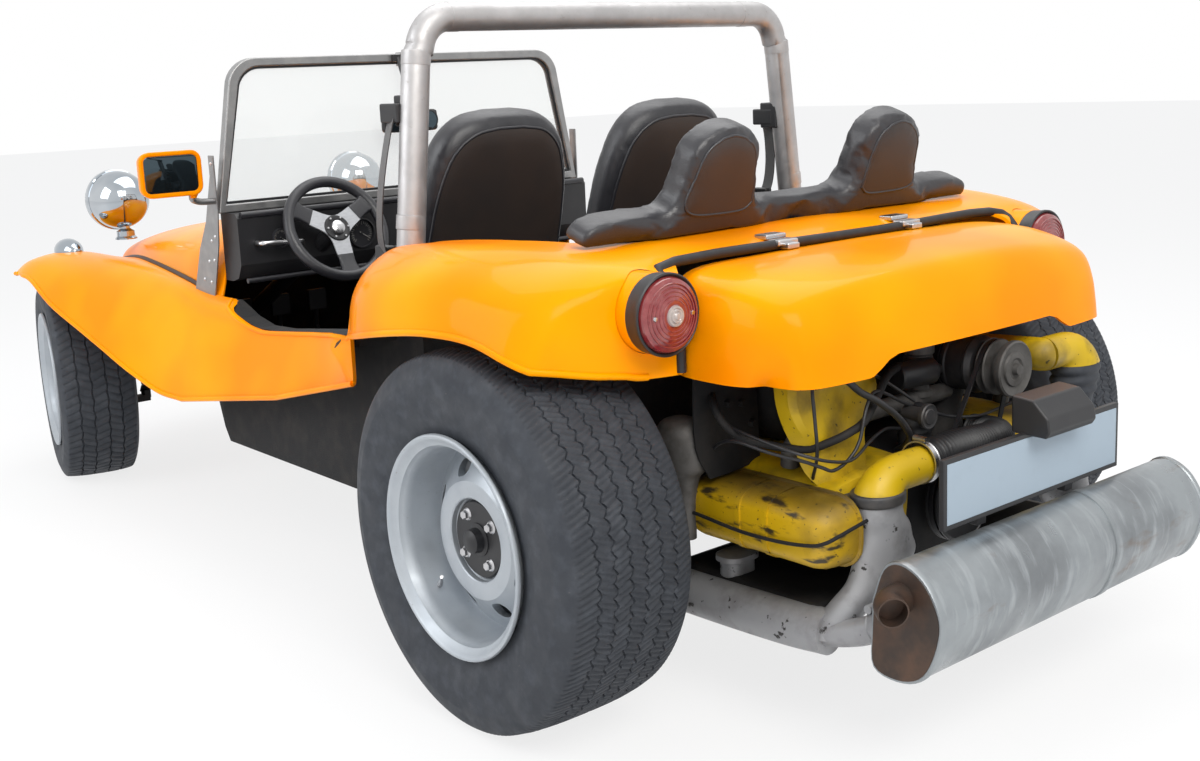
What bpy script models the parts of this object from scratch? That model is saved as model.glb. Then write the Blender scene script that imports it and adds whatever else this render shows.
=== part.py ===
"""Open four-seat dune buggy with a rear engine, as separate closed solids in metres.

The front of the vehicle faces -Y, its left side +X and up is +Z. The ground is at zero height.
"""

import math

import bmesh
import bpy
import numpy as np
from mathutils import Matrix, Vector

for old in list(bpy.data.objects):
    bpy.data.objects.remove(old, do_unlink=True)

# Main driving sizes
WHEELBASE = 2.4
HALF_BASE = WHEELBASE / 2
BODY_HALF_WIDTH = 0.84
DECK_HEIGHT = 0.88
SHELL_WALL = 0.007
SEAT_GAP = 0.0003
PANEL_GAP = 0.004
REAR_END_Y = 1.965
FRONT_END_Y = -1.608
MIDDLE_Y = (REAR_END_Y + FRONT_END_Y) / 2

# Wheels
FRONT_TYRE_RADIUS = 0.316
FRONT_TYRE_WIDTH = 0.222
FRONT_WHEEL_X = 0.622
REAR_TYRE_RADIUS = 0.357
REAR_TYRE_WIDTH = 0.285
REAR_WHEEL_X = 0.690
RIM_RADIUS = 0.1905
RIM_LIP_RADIUS = 0.209
RIM_PROUD = 0.006
TYRE_STEPS = 22
RIM_STEPS = 22
KINGPIN_X = 0.500
STEER_AT_REST = math.radians(-13.0)
FRONT_AXLE_Y = -1.15
REAR_AXLE_Y = HALF_BASE

# Windscreen and roll bar
SCREEN_Y = -0.165
SCREEN_BOTTOM_Z = 0.872
SCREEN_TOP_Z = 1.262
SCREEN_BOTTOM_X = 0.590
SCREEN_TOP_X = 0.522
FRAME_RAIL = 0.028
GLASS_THICK = 0.006
BAR_RADIUS = 0.030
BAR_Y = 0.742
BAR_TOP_Z = 1.312
BAR_TOP_X = 0.530
BAR_FOOT_X = 0.588
BAR_FOOT_Z = 0.815
BAR_BEND = 0.075

# Steering wheel
STEER_HUB = (0.335, -0.008, 0.817)
STEER_RADIUS = 0.133
STEER_GRIP = 0.0145
STEER_TILT = math.radians(27)

SMOOTH_ANGLE = math.radians(38)


def material(name, colour, metallic, roughness, alpha):
    made = bpy.data.materials.new(name)
    made.use_nodes = True
    shader = made.node_tree.nodes["Principled BSDF"]
    shader.inputs["Base Color"].default_value = (*colour, 1)
    shader.inputs["Metallic"].default_value = metallic
    shader.inputs["Roughness"].default_value = roughness
    shader.inputs["Alpha"].default_value = alpha
    return made


# Material columns: base colour, metallic, roughness, alpha
LOOKS = {
    "orange": ((1.0, 0.38, 0.0), 0, 0.25, 1),
    "black": ((0.02, 0.02, 0.022), 0, 0.6, 1),
    "vinyl": ((0.03, 0.03, 0.032), 0, 0.45, 1),
    "rubber": ((0.035, 0.036, 0.038), 0, 0.8, 1),
    "alloy": ((0.6, 0.61, 0.62), 1, 0.35, 1),
    "steel": ((0.5, 0.5, 0.51), 1, 0.3, 1),
    "chrome": ((0.85, 0.86, 0.87), 1, 0.08, 1),
    "glass": ((0.8, 0.9, 0.9), 0, 0.05, 0.35),
    "red_lens": ((0.5, 0.03, 0.02), 0, 0.15, 1),
    "yellow_tin": ((0.75, 0.5, 0.02), 0, 0.5, 1),
    "exhaust": ((0.35, 0.33, 0.31), 1, 0.5, 1),
    "plate": ((0.6, 0.68, 0.74), 0, 0.4, 1),
}


def finish(obj, look):
    """Smooth shading up to a fold angle, and the piece's own material."""
    colour, metallic, roughness, alpha = LOOKS[look]
    obj.data.materials.clear()
    obj.data.materials.append(material(obj.name, colour, metallic, roughness, alpha))
    edit = bmesh.new()
    edit.from_mesh(obj.data)
    for face in edit.faces:
        face.smooth = True
    for edge in edit.edges:
        edge.smooth = edge.is_manifold and edge.calc_face_angle(math.pi) < SMOOTH_ANGLE
    edit.to_mesh(obj.data)
    edit.free()
    return obj


def mesh_object(name, points, faces):
    """A closed mesh with its faces turned outwards."""
    mesh = bpy.data.meshes.new(name)
    mesh.from_pydata([tuple(map(float, point)) for point in points], [], faces)
    edit = bmesh.new()
    edit.from_mesh(mesh)
    bmesh.ops.recalc_face_normals(edit, faces=edit.faces)
    if edit.calc_volume(signed=True) < 0:
        bmesh.ops.reverse_faces(edit, faces=edit.faces)
    edit.to_mesh(mesh)
    edit.free()
    obj = bpy.data.objects.new(name, mesh)
    bpy.context.scene.collection.objects.link(obj)
    return obj


def combine(obj, other, operation):
    """Applies a Boolean and removes the second object."""
    change = obj.modifiers.new(operation, "BOOLEAN")
    change.operation = operation
    change.solver = "EXACT"
    change.object = other
    graph = bpy.context.evaluated_depsgraph_get()
    made = bpy.data.meshes.new_from_object(obj.evaluated_get(graph))
    obj.modifiers.clear()
    obj.data = made
    bpy.data.objects.remove(other, do_unlink=True)
    return obj


def cut(obj, *cutters):
    for cutter in cutters:
        combine(obj, cutter, "DIFFERENCE")
    return obj


def join(obj, *others):
    for other in others:
        combine(obj, other, "UNION")
    return obj


def through(points, steps):
    """A smooth curve through the points, with this many parts between neighbours."""
    points = np.array(points, float)
    before = 2 * points[0] - points[1]
    after = 2 * points[-1] - points[-2]
    whole = np.vstack([before, points, after])
    found = []
    for i in range(len(points) - 1):
        a, b, c, d = whole[i : i + 4]
        for step in range(steps):
            t = step / steps
            found.append(
                (2 * b + (c - a) * t + (2 * a - 5 * b + 4 * c - d) * t**2 + (3 * b - a - 3 * c + d) * t**3)
                / 2
            )
    found.append(points[-1])
    return np.array(found)


def grid_of(rows, across_steps, along_steps):
    """A smooth grid through control rows of equal length."""
    fine = np.array([through(row, across_steps) for row in rows])
    columns = [through(fine[:, i], along_steps) for i in range(fine.shape[1])]
    return np.array(columns).transpose(1, 0, 2)


def skin(name, grid, wall):
    """A closed sheet of this thickness below a grid of points."""
    rows, columns = grid.shape[:2]
    along = np.gradient(grid, axis=0)
    across = np.gradient(grid, axis=1)
    normal = np.cross(across, along)
    normal /= np.linalg.norm(normal, axis=2, keepdims=True)
    if normal[..., 2].sum() < 0:
        normal = -normal
    points = np.vstack([grid.reshape(-1, 3), (grid - wall * normal).reshape(-1, 3)])
    under = rows * columns
    faces = []
    for r in range(rows - 1):
        for c in range(columns - 1):
            a = r * columns + c
            b = a + 1
            for i, j, k in ((a, b, b + columns), (a, b + columns, a + columns)):
                faces.append((i, j, k))
                faces.append((under + i, under + k, under + j))
    edge = [(0, c) for c in range(columns)]
    edge += [(r, columns - 1) for r in range(1, rows)]
    edge += [(rows - 1, c) for c in range(columns - 2, -1, -1)]
    edge += [(r, 0) for r in range(rows - 2, 0, -1)]
    loop = [r * columns + c for r, c in edge]
    for a, b in zip(loop, loop[1:] + loop[:1]):
        faces.append((a, b, under + b, under + a))
    return mesh_object(name, points, faces)


def loft(name, rings):
    """A closed solid through rings of points, with flat ends."""
    rings = [np.array(ring, float) for ring in rings]
    count = len(rings[0])
    points = list(np.vstack(rings))
    faces = []
    for r in range(len(rings) - 1):
        for c in range(count):
            a = r * count + c
            b = r * count + (c + 1) % count
            faces.append((a, b, b + count, a + count))
    for ring, first in ((rings[0], 0), (rings[-1], (len(rings) - 1) * count)):
        middle = len(points)
        points.append(ring.mean(axis=0))
        for c in range(count):
            faces.append((first + c, first + (c + 1) % count, middle))
    return mesh_object(name, points, faces)


def prism(name, outline, axis, low, high):
    """A flat outline pulled along an axis. Its columns are the other two axes in order."""
    other = [i for i in range(3) if i != axis]
    rings = []
    for level in (low, high):
        ring = np.zeros((len(outline), 3))
        ring[:, other] = outline
        ring[:, axis] = level
        rings.append(ring)
    count = len(outline)
    faces = [(i, (i + 1) % count, count + (i + 1) % count, count + i) for i in range(count)]
    faces += [tuple(range(count)), tuple(range(count, 2 * count))]
    return mesh_object(name, np.vstack(rings), faces)


def block(name, low, high, round_off=0.0, plain=False):
    """A box between two corners, with its edges rounded off."""
    low = np.array(low, float)
    high = np.array(high, float)
    corners = [(x, y, z) for x in (low[0], high[0]) for y in (low[1], high[1]) for z in (low[2], high[2])]
    faces = [(0, 1, 3, 2), (4, 5, 7, 6), (0, 1, 5, 4), (2, 3, 7, 6), (0, 2, 6, 4), (1, 3, 7, 5)]
    obj = mesh_object(name, corners, faces)
    if round_off:
        edit = bmesh.new()
        edit.from_mesh(obj.data)
        bmesh.ops.bevel(edit, geom=edit.edges, offset=round_off, segments=1 if plain else 2, profile=0.5, affect="EDGES")
        edit.to_mesh(obj.data)
        edit.free()
    return obj


def turned(name, profile, centre, axis, steps):
    """A turned solid. Profile columns: radius, distance along the axis. Both ends may lie on the axis."""
    axis = Vector(axis).normalized()
    side = Vector((1, 0, 0)) if abs(axis.z) > 0.9 else Vector((0, 0, 1))
    side = (side - axis * side.dot(axis)).normalized()
    up = axis.cross(side)
    on_axis = profile[0][0] == 0 and profile[-1][0] == 0
    inner = profile[1:-1] if on_axis else profile
    points = []
    for step in range(steps):
        angle = 2 * math.pi * step / steps
        out = side * math.cos(angle) + up * math.sin(angle)
        points += [Vector(centre) + axis * along + out * radius for radius, along in inner]
    count = len(inner)
    faces = []
    for step in range(steps):
        a = step * count
        b = (step + 1) % steps * count
        for i in range(count - 1):
            faces.append((a + i, a + i + 1, b + i + 1, b + i))
        if not on_axis:
            faces.append((a + count - 1, a, b, b + count - 1))
    if on_axis:
        for end, i in ((profile[0], 0), (profile[-1], count - 1)):
            middle = len(points)
            points.append(Vector(centre) + axis * end[1])
            for step in range(steps):
                faces.append((step * count + i, (step + 1) % steps * count + i, middle))
    return mesh_object(name, points, faces)


def rod(name, start, end, radius, steps=16):
    """A round bar between two points."""
    start = Vector(start)
    length = (Vector(end) - start).length
    profile = ((0, 0), (radius, 0), (radius, length), (0, length))
    return turned(name, profile, start, Vector(end) - start, steps)


def pipe(name, path, radius, steps=12):
    """A round bar along a path. The radius may be a list, one for each point."""
    path = [Vector(point) for point in path]
    radii = radius if isinstance(radius, (list, tuple, np.ndarray)) else [radius] * len(path)
    ways = []
    for i in range(len(path)):
        ways.append((path[min(i + 1, len(path) - 1)] - path[max(i - 1, 0)]).normalized())
    side = ways[0].orthogonal().normalized()
    rings = []
    for point, way, size in zip(path, ways, radii):
        side = (side - way * side.dot(way)).normalized()
        up = way.cross(side)
        ring = []
        for step in range(steps):
            angle = 2 * math.pi * step / steps
            ring.append(point + (side * math.cos(angle) + up * math.sin(angle)) * size)
        rings.append([tuple(corner) for corner in ring])
    return loft(name, rings)


def mirrored(points):
    return [(-x, y, z) for x, y, z in points]


def hang_on(obj, point):
    """Puts the origin of a moving piece on its joint axis."""
    obj.data.transform(Matrix.Translation(-Vector(point)))
    obj.location = point
    return obj


# Body side columns as shares: station, sweep, inner x, z, crown x, z, shoulder x, z, lip x, z, middle z
BODY_SIDE_SHARES = (
    (-1.245, 0.07, 0.46, 0.660, 0.67, 0.715, 0.81, 0.708, 0.870, 0.680, 0.620),
    (-1.130, 0.02, 0.48, 0.725, 0.68, 0.782, 0.83, 0.770, 0.900, 0.728, 0.700),
    (-1.000, 0.0, 0.51, 0.757, 0.69, 0.800, 0.84, 0.785, 0.912, 0.732, 0.740),
    (-0.833, 0.0, 0.565, 0.779, 0.715, 0.795, 0.845, 0.752, 0.915, 0.668, 0.770),
    (-0.667, 0.0, 0.613, 0.784, 0.728, 0.778, 0.835, 0.700, 0.905, 0.585, 0.790),
    (-0.500, 0.0, 0.650, 0.778, 0.740, 0.750, 0.822, 0.648, 0.887, 0.508, 0.790),
    (-0.333, 0.0, 0.684, 0.767, 0.750, 0.716, 0.810, 0.600, 0.855, 0.440, 0.790),
    (-0.167, 0.0, 0.702, 0.745, 0.756, 0.682, 0.800, 0.580, 0.835, 0.430, 0.790),
    (0.083, 0.0, 0.710, 0.750, 0.745, 0.682, 0.780, 0.591, 0.815, 0.455, 0.790),
    (0.375, 0.0, 0.696, 0.795, 0.738, 0.750, 0.780, 0.660, 0.803, 0.540, 0.850),
    (0.542, 0.0, 0.684, 0.909, 0.762, 0.875, 0.821, 0.773, 0.833, 0.610, 0.940),
    (0.625, 0.0, 0.678, 0.960, 0.786, 0.949, 0.875, 0.864, 0.893, 0.700, 0.980),
    (0.750, 0.0, 0.667, 0.983, 0.821, 0.980, 0.940, 0.909, 0.976, 0.770, 0.990),
    (0.950, 0.0, 0.649, 0.994, 0.821, 0.994, 0.955, 0.935, 1.000, 0.795, 1.000),
    (1.110, 0.01, 0.600, 0.985, 0.790, 0.980, 0.930, 0.915, 0.985, 0.775, 0.990),
    (1.200, 0.04, 0.570, 0.950, 0.755, 0.940, 0.890, 0.885, 0.955, 0.755, 0.955),
    (1.238, 0.07, 0.560, 0.880, 0.740, 0.875, 0.860, 0.830, 0.930, 0.745, 0.890),
    (1.245, 0.085, 0.560, 0.740, 0.735, 0.742, 0.850, 0.745, 0.915, 0.740, 0.740),
)


def body_rows():
    """Control rows of the body from the right lip over the middle to the left lip."""
    rows = []
    for station, sweep, *pairs, middle in BODY_SIDE_SHARES:
        half = [(0, middle)]
        half.append((pairs[0] * 0.5, pairs[1] * 0.5 + middle * 0.5))
        half += list(zip(pairs[0::2], pairs[1::2]))
        last = len(half) - 1
        left = []
        for i, (x, z) in enumerate(half):
            y = station * HALF_BASE - math.copysign(sweep, station) * HALF_BASE * (i / last) ** 2
            left.append((x * BODY_HALF_WIDTH, y, z * DECK_HEIGHT))
        rows.append(mirrored(left)[:0:-1] + left)
    return rows


def body_grid():
    return grid_of(body_rows(), 2, 1)


def y_of(share):
    return share * HALF_BASE


def x_of(share):
    return share * BODY_HALF_WIDTH


def z_of(share):
    return share * DECK_HEIGHT


# Lower edge of the body side, columns as shares: along, height
LOWER_EDGE_SHARES = (
    (-1.30, 0.690),
    (-1.15, 0.722),
    (-1.06, 0.732),
    (-0.96, 0.722),
    (-0.79, 0.645),
    (-0.55, 0.545),
    (-0.40, 0.478),
    (-0.30, 0.445),
    (-0.20, 0.440),
    (0.20, 0.520),
    (0.575, 0.640),
    (0.600, 0.765),
    (0.70, 0.788),
    (0.86, 0.825),
    (0.98, 0.842),
    (1.08, 0.835),
    (1.17, 0.790),
    (1.21, 0.762),
    (1.24, 0.745),
    (1.40, 0.735),
)
# Door cut-out in the side, columns as shares: along, height
DOOR_EDGE_SHARES = (
    (-0.205, 1.10),
    (-0.190, 0.790),
    (-0.120, 0.760),
    (-0.010, 0.705),
    (0.060, 0.686),
    (0.150, 0.690),
    (0.460, 0.735),
    (0.545, 0.755),
    (0.566, 0.800),
    (0.590, 0.880),
    (0.625, 0.945),
    (0.660, 0.980),
    (0.680, 1.10),
)
# Cockpit opening seen from above, columns as shares: along, half-width
COCKPIT_SHARES = (
    (-0.205, 0.700),
    (0.400, 0.690),
    (0.620, 0.668),
    (0.900, 0.650),
    (1.000, 0.620),
    (1.060, 0.560),
    (1.075, 0.500),
)
# Opening under the bonnet seen from above, columns as shares: along, half-width
HOOD_SHARES = (
    (-1.215, 0.440),
    (-1.130, 0.480),
    (-1.000, 0.510),
    (-0.833, 0.565),
    (-0.667, 0.613),
    (-0.500, 0.650),
    (-0.333, 0.684),
    (-0.200, 0.699),
)
# Engine bay opening seen from above, columns as shares: along, half-width
LID_SHARES = (
    (1.175, 0.500),
    (1.190, 0.560),
    (1.230, 0.598),
    (1.60, 0.598),
)


def both_sides(shares):
    """A closed outline across X and Y from half-widths."""
    left = [(x_of(x), y_of(y)) for y, x in shares]
    return left + [(-x, y) for x, y in reversed(left)]


def lower_cutter(name):
    edge = [(y_of(y), z_of(z)) for y, z in LOWER_EDGE_SHARES]
    edge += [(edge[-1][0], -SHELL_WALL), (edge[0][0], -SHELL_WALL)]
    return prism(name, edge, 0, -2 * BODY_HALF_WIDTH, 2 * BODY_HALF_WIDTH)


LAMP_RADIUS = 0.072
LAMP_STEPS = 24
LAMP_SPOT = (0.563, 1.5085, 0.775)


def body_shell():
    shell = skin("body_shell", body_grid(), SHELL_WALL)
    far = 2 * DECK_HEIGHT
    cut(shell, lower_cutter("lower"))
    door = [(y_of(y), z_of(z)) for y, z in DOOR_EDGE_SHARES]
    cut(shell, prism("door", door, 0, -2 * BODY_HALF_WIDTH, 2 * BODY_HALF_WIDTH))
    cut(shell, prism("cockpit", both_sides(COCKPIT_SHARES), 2, 0, far))
    cut(shell, prism("hood", both_sides(HOOD_SHARES), 2, 0, far))
    cut(shell, prism("lid", both_sides(LID_SHARES), 2, 0, far))
    x, y, z = LAMP_SPOT
    for sign in (-1, 1):
        start, end = (sign * x, y - BODY_HALF_WIDTH / 4, z), (sign * x, y + BODY_HALF_WIDTH / 4, z)
        cut(shell, rod("lamp_hole", start, end, LAMP_RADIUS + SEAT_GAP, LAMP_STEPS))
    return finish(shell, "orange")


# Bonnet columns as shares: station, edge half-width, edge height, shoulder height, middle height
BONNET_SHARES = (
    (-1.340, 0.400, 0.560, 0.560, 0.565),
    (-1.290, 0.425, 0.640, 0.655, 0.665),
    (-1.215, 0.440, 0.680, 0.735, 0.750),
    (-1.130, 0.480, 0.718, 0.800, 0.820),
    (-1.000, 0.510, 0.750, 0.838, 0.862),
    (-0.833, 0.565, 0.772, 0.862, 0.888),
    (-0.667, 0.613, 0.777, 0.884, 0.912),
    (-0.500, 0.650, 0.771, 0.906, 0.936),
    (-0.333, 0.684, 0.760, 0.930, 0.962),
    (-0.200, 0.699, 0.745, 0.946, 0.979),
    (-0.1585, 0.699, 0.742, 0.952, 0.986),
)
BONNET_SHOULDER_SHARE = 0.93
BONNET_TOP_SHARE = 0.72


def bonnet_rows():
    rows = []
    for station, edge, low, shoulder, middle in BONNET_SHARES:
        half = edge * BODY_HALF_WIDTH - SEAT_GAP
        high = middle * DECK_HEIGHT
        left = [
            (0, high),
            (half * 0.4, high - (middle - shoulder) * DECK_HEIGHT * 0.25),
            (half * BONNET_TOP_SHARE, shoulder * DECK_HEIGHT),
            (half * BONNET_SHOULDER_SHARE, (shoulder * 0.62 + low * 0.38) * DECK_HEIGHT),
            (half, low * DECK_HEIGHT),
        ]
        left = [(x, station * HALF_BASE, z) for x, z in left]
        rows.append(mirrored(left)[:0:-1] + left)
    return rows


def bonnet_grid():
    return grid_of(bonnet_rows(), 2, 1)


def bonnet():
    return finish(skin("bonnet", bonnet_grid(), SHELL_WALL), "orange")


# Engine lid columns as shares: station, sweep, half-width, bottom, shoulder height, middle height
LID_BODY_SHARES = (
    (1.182, 0.000, 0.570, 0.745, 0.930, 0.950),
    (1.225, 0.000, 0.592, 0.740, 0.935, 0.955),
    (1.300, 0.000, 0.592, 0.738, 0.928, 0.952),
    (1.370, 0.025, 0.580, 0.738, 0.915, 0.944),
    (1.412, 0.060, 0.560, 0.738, 0.890, 0.925),
    (1.436, 0.095, 0.540, 0.738, 0.840, 0.870),
    (1.447, 0.110, 0.530, 0.738, 0.780, 0.800),
    (1.452, 0.115, 0.525, 0.738, 0.741, 0.741),
)


def lid_rows():
    rows = []
    for station, sweep, edge, low, shoulder, middle in LID_BODY_SHARES:
        half = edge * BODY_HALF_WIDTH - PANEL_GAP
        left = [
            (0, middle),
            (half * 0.5, middle * 0.8 + shoulder * 0.2),
            (half * 0.88, shoulder),
            (half * 0.98, shoulder * 0.75 + low * 0.25),
            (half, shoulder * 0.3 + low * 0.7),
            (half, low),
        ]
        last = len(left) - 1
        points = []
        for i, (x, z) in enumerate(left):
            y = station * HALF_BASE - sweep * HALF_BASE * (i / last) ** 2
            points.append((x, y, z * DECK_HEIGHT))
        rows.append(mirrored(points)[:0:-1] + points)
    return rows


# Notch over the pulley, columns as shares: across, height
NOTCH_SHARES = ((-0.345, 0.700), (-0.290, 0.777), (0.285, 0.777), (0.345, 0.700))


def engine_lid():
    lid = skin("engine_lid", grid_of(lid_rows(), 2, 1), SHELL_WALL)
    notch = [(x_of(x), z_of(z)) for x, z in NOTCH_SHARES]
    cut(lid, prism("notch", notch, 1, y_of(1.35), y_of(1.6)))
    # Two hinges stand on the front edge
    for side in (-1, 1):
        low = (side * HINGE_X - HINGE_WIDE / 2, HINGE_Y, HINGE_Z)
        high = (side * HINGE_X + HINGE_WIDE / 2, HINGE_Y + HINGE_REACH, HINGE_Z + HINGE_HIGH)
        join(lid, block("hinge", low, high))
    finish(lid, "orange")
    return hang_on(lid, (0, HINGE_Y + HINGE_PIN_REACH, HINGE_Z + HINGE_PIN_LIFT))


HINGE_X = 0.186
HINGE_WIDE = 0.055
HINGE_REACH = 0.030
HINGE_HIGH = 0.028
HINGE_Y = 1.4103
HINGE_Z = 0.832
HINGE_PIN_REACH = 0.0092
HINGE_PIN_LIFT = 0.028


def shifted_skin(name, grid, lift, far):
    """A closed solid from a grid moved along its normals to a far level."""
    along = np.gradient(grid, axis=0)
    across = np.gradient(grid, axis=1)
    normal = np.cross(across, along)
    normal /= np.linalg.norm(normal, axis=2, keepdims=True)
    if normal[..., 2].sum() < 0:
        normal = -normal
    near = grid + lift * normal
    level = near.copy()
    level[..., 2] = far
    rows, columns = grid.shape[:2]
    points = np.vstack([near.reshape(-1, 3), level.reshape(-1, 3)])
    under = rows * columns
    faces = []
    for r in range(rows - 1):
        for c in range(columns - 1):
            a = r * columns + c
            b = a + 1
            for i, j, k in ((a, b, b + columns), (a, b + columns, a + columns)):
                faces.append((i, j, k))
                faces.append((under + i, under + k, under + j))
    edge = [(0, c) for c in range(columns)]
    edge += [(r, columns - 1) for r in range(1, rows)]
    edge += [(rows - 1, c) for c in range(columns - 2, -1, -1)]
    edge += [(r, 0) for r in range(rows - 2, 0, -1)]
    loop = [r * columns + c for r, c in edge]
    for a, b in zip(loop, loop[1:] + loop[:1]):
        faces.append((a, b, under + b, under + a))
    return mesh_object(name, points, faces)


def under_body(name):
    return shifted_skin(name, body_grid(), -SHELL_WALL - SEAT_GAP, 0)


def below_body(name):
    return shifted_skin(name, body_grid(), SEAT_GAP, 0.3 * DECK_HEIGHT)


def below_bonnet(name):
    return shifted_skin(name, bonnet_grid(), SEAT_GAP, 0.3 * DECK_HEIGHT)


# Floor and tub
FLOOR_Z = 0.255
TUB_WALL = 0.008
TUB_HALF = 0.580
FOOT_HALF = 0.330
REAR_TUB_HALF = 0.500
# Tub seen from above: columns along in metres, half-width by name
TUB_PLAN = (
    (-0.92, FOOT_HALF),
    (-0.74, FOOT_HALF + 0.03),
    (-0.66, REAR_TUB_HALF),
    (-0.26, TUB_HALF),
    (0.76, TUB_HALF),
    (0.80, REAR_TUB_HALF),
    (1.275, REAR_TUB_HALF),
)
TUNNEL_HALF = 0.062
TUNNEL_TOP_Z = 0.365
FOOT_FLOOR_Z = 0.392
FOOT_RISE = (-0.235, -0.330)
REAR_FLOOR_Z = 0.500
KICK_UP_Y = 0.775
LEDGE_DEEP = 0.030


def tub_outline(inset):
    left = [(half - inset, y) for y, half in TUB_PLAN]
    left[0] = (left[0][0], left[0][1] + inset)
    left[-1] = (left[-1][0], left[-1][1] - inset)
    return left + [(-x, y) for x, y in reversed(left)]


def foot_rise(name, lift):
    """The room below the raised footwell."""
    slope = [
        (FOOT_RISE[0] + lift * 0.4, -lift),
        (FOOT_RISE[0] + lift * 0.4, FLOOR_Z + lift),
        (FOOT_RISE[1] + lift * 0.4, FOOT_FLOOR_Z + lift),
        (-HALF_BASE, FOOT_FLOOR_Z + lift),
        (-HALF_BASE, -lift),
    ]
    return prism(name, slope, 0, -2 * BODY_HALF_WIDTH, 2 * BODY_HALF_WIDTH)


def floor_tub():
    far = 1.2 * DECK_HEIGHT
    wide = 2 * BODY_HALF_WIDTH
    tub = prism("floor_tub", tub_outline(0), 2, FLOOR_Z, far)
    hollow = prism("hollow", tub_outline(TUB_WALL), 2, FLOOR_Z + TUB_WALL, far * 2)
    cut(hollow, block("step", (-wide, KICK_UP_Y - TUB_WALL, 0), (wide, wide * 2, REAR_FLOOR_Z + TUB_WALL)))
    tunnel_end = KICK_UP_Y + TUB_WALL
    tunnel = block("tunnel", (-TUNNEL_HALF, -HALF_BASE, 0), (TUNNEL_HALF, tunnel_end, TUNNEL_TOP_Z))
    cut(hollow, tunnel)
    cut(hollow, foot_rise("rise", TUB_WALL))
    cut(tub, hollow)
    cut(tub, foot_rise("under_front", 0))
    cut(tub, block("under", (-wide, KICK_UP_Y, 0), (wide, wide * 2, REAR_FLOOR_Z)))
    side = [(y_of(y), z_of(z)) for y, z in DOOR_EDGE_SHARES[1:-1]]
    ledge = [(y, z + LEDGE_DEEP) for y, z in side] + [(y, z - LEDGE_DEEP) for y, z in reversed(side)]
    for sign in (-1, 1):
        low, high = sorted((sign * (TUB_HALF - TUB_WALL * 0.4), sign * BODY_HALF_WIDTH * 0.8))
        join(tub, prism("ledge", ledge, 0, low, high))
    combine(tub, under_body("under_skin"), "INTERSECT")
    door = [(y_of(y), z_of(z)) for y, z in DOOR_EDGE_SHARES]
    cut(tub, prism("door", door, 0, -wide, wide))
    cut(tub, block("front", (-wide, -wide, SCREEN_BOTTOM_Z - DASH_DEEP - SEAT_GAP), (wide, DASH_FACE_Y, far * 3)))
    return finish(tub, "black")


# Dashboard
DASH_BACK_Y = -0.184
DASH_FACE_Y = -0.090
DASH_DEEP = 0.175
DASH_HALF = 0.572
DASH_LIP = 0.012


def dashboard():
    # Columns: along, height. The lower edge turns in towards the front
    top = SCREEN_BOTTOM_Z - SEAT_GAP
    outline = [
        (DASH_BACK_Y, top),
        (DASH_FACE_Y - DASH_LIP, top),
        (DASH_FACE_Y, top - DASH_LIP),
        (DASH_FACE_Y, top - DASH_DEEP * 0.75),
        (DASH_FACE_Y - DASH_DEEP * 0.12, top - DASH_DEEP * 0.95),
        (DASH_FACE_Y - DASH_DEEP * 0.30, top - DASH_DEEP),
        (DASH_BACK_Y, top - DASH_DEEP),
    ]
    dash = prism("dashboard", outline, 0, -DASH_HALF, DASH_HALF)
    hub = Vector(STEER_HUB)
    way = Vector((0, math.cos(STEER_TILT), math.sin(STEER_TILT)))
    cut(dash, rod("column_hole", hub, hub - way * 0.5, COLUMN_RADIUS + SEAT_GAP, 24))
    return finish(dash, "black")


COLUMN_RADIUS = 0.022
COLUMN_LONG = 0.62


def steering():
    hub = Vector(STEER_HUB)
    way = Vector((0, math.cos(STEER_TILT), math.sin(STEER_TILT)))
    up = Vector((0, -math.sin(STEER_TILT), math.cos(STEER_TILT)))
    across = Vector((1, 0, 0))
    profile = []
    for step in range(5):
        angle = 2 * math.pi * step / 5
        profile.append((STEER_RADIUS + STEER_GRIP * math.cos(angle), STEER_GRIP * math.sin(angle)))
    wheel = turned("steering_wheel", profile, hub, way, 24)
    middle = ((0, -0.030), (0.024, -0.030), (0.030, 0.004), (0.022, 0.012), (0, 0.012))
    join(wheel, turned("boss", middle, hub, way, 12))
    for turn in (math.radians(30), math.radians(150), math.radians(270)):
        out = across * math.cos(turn) + up * math.sin(turn)
        side = way.cross(out)
        ring = []
        for along, half in ((0.005, 0.028), (STEER_RADIUS - 0.004, 0.017)):
            for level in (-0.0025, 0.0025):
                ring.append([hub + out * along + side * half * sign + way * level for sign in (-1, 1)])
        ends = [ring[0] + ring[1][::-1], ring[2] + ring[3][::-1]]
        join(wheel, loft("spoke", ends))
    finish(wheel, "black")
    hang_on(wheel, hub)
    start = hub - way * (0.030 + SEAT_GAP)
    column = rod("steering_column", start, start - way * COLUMN_LONG, COLUMN_RADIUS, 20)
    finish(column, "black")


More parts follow.
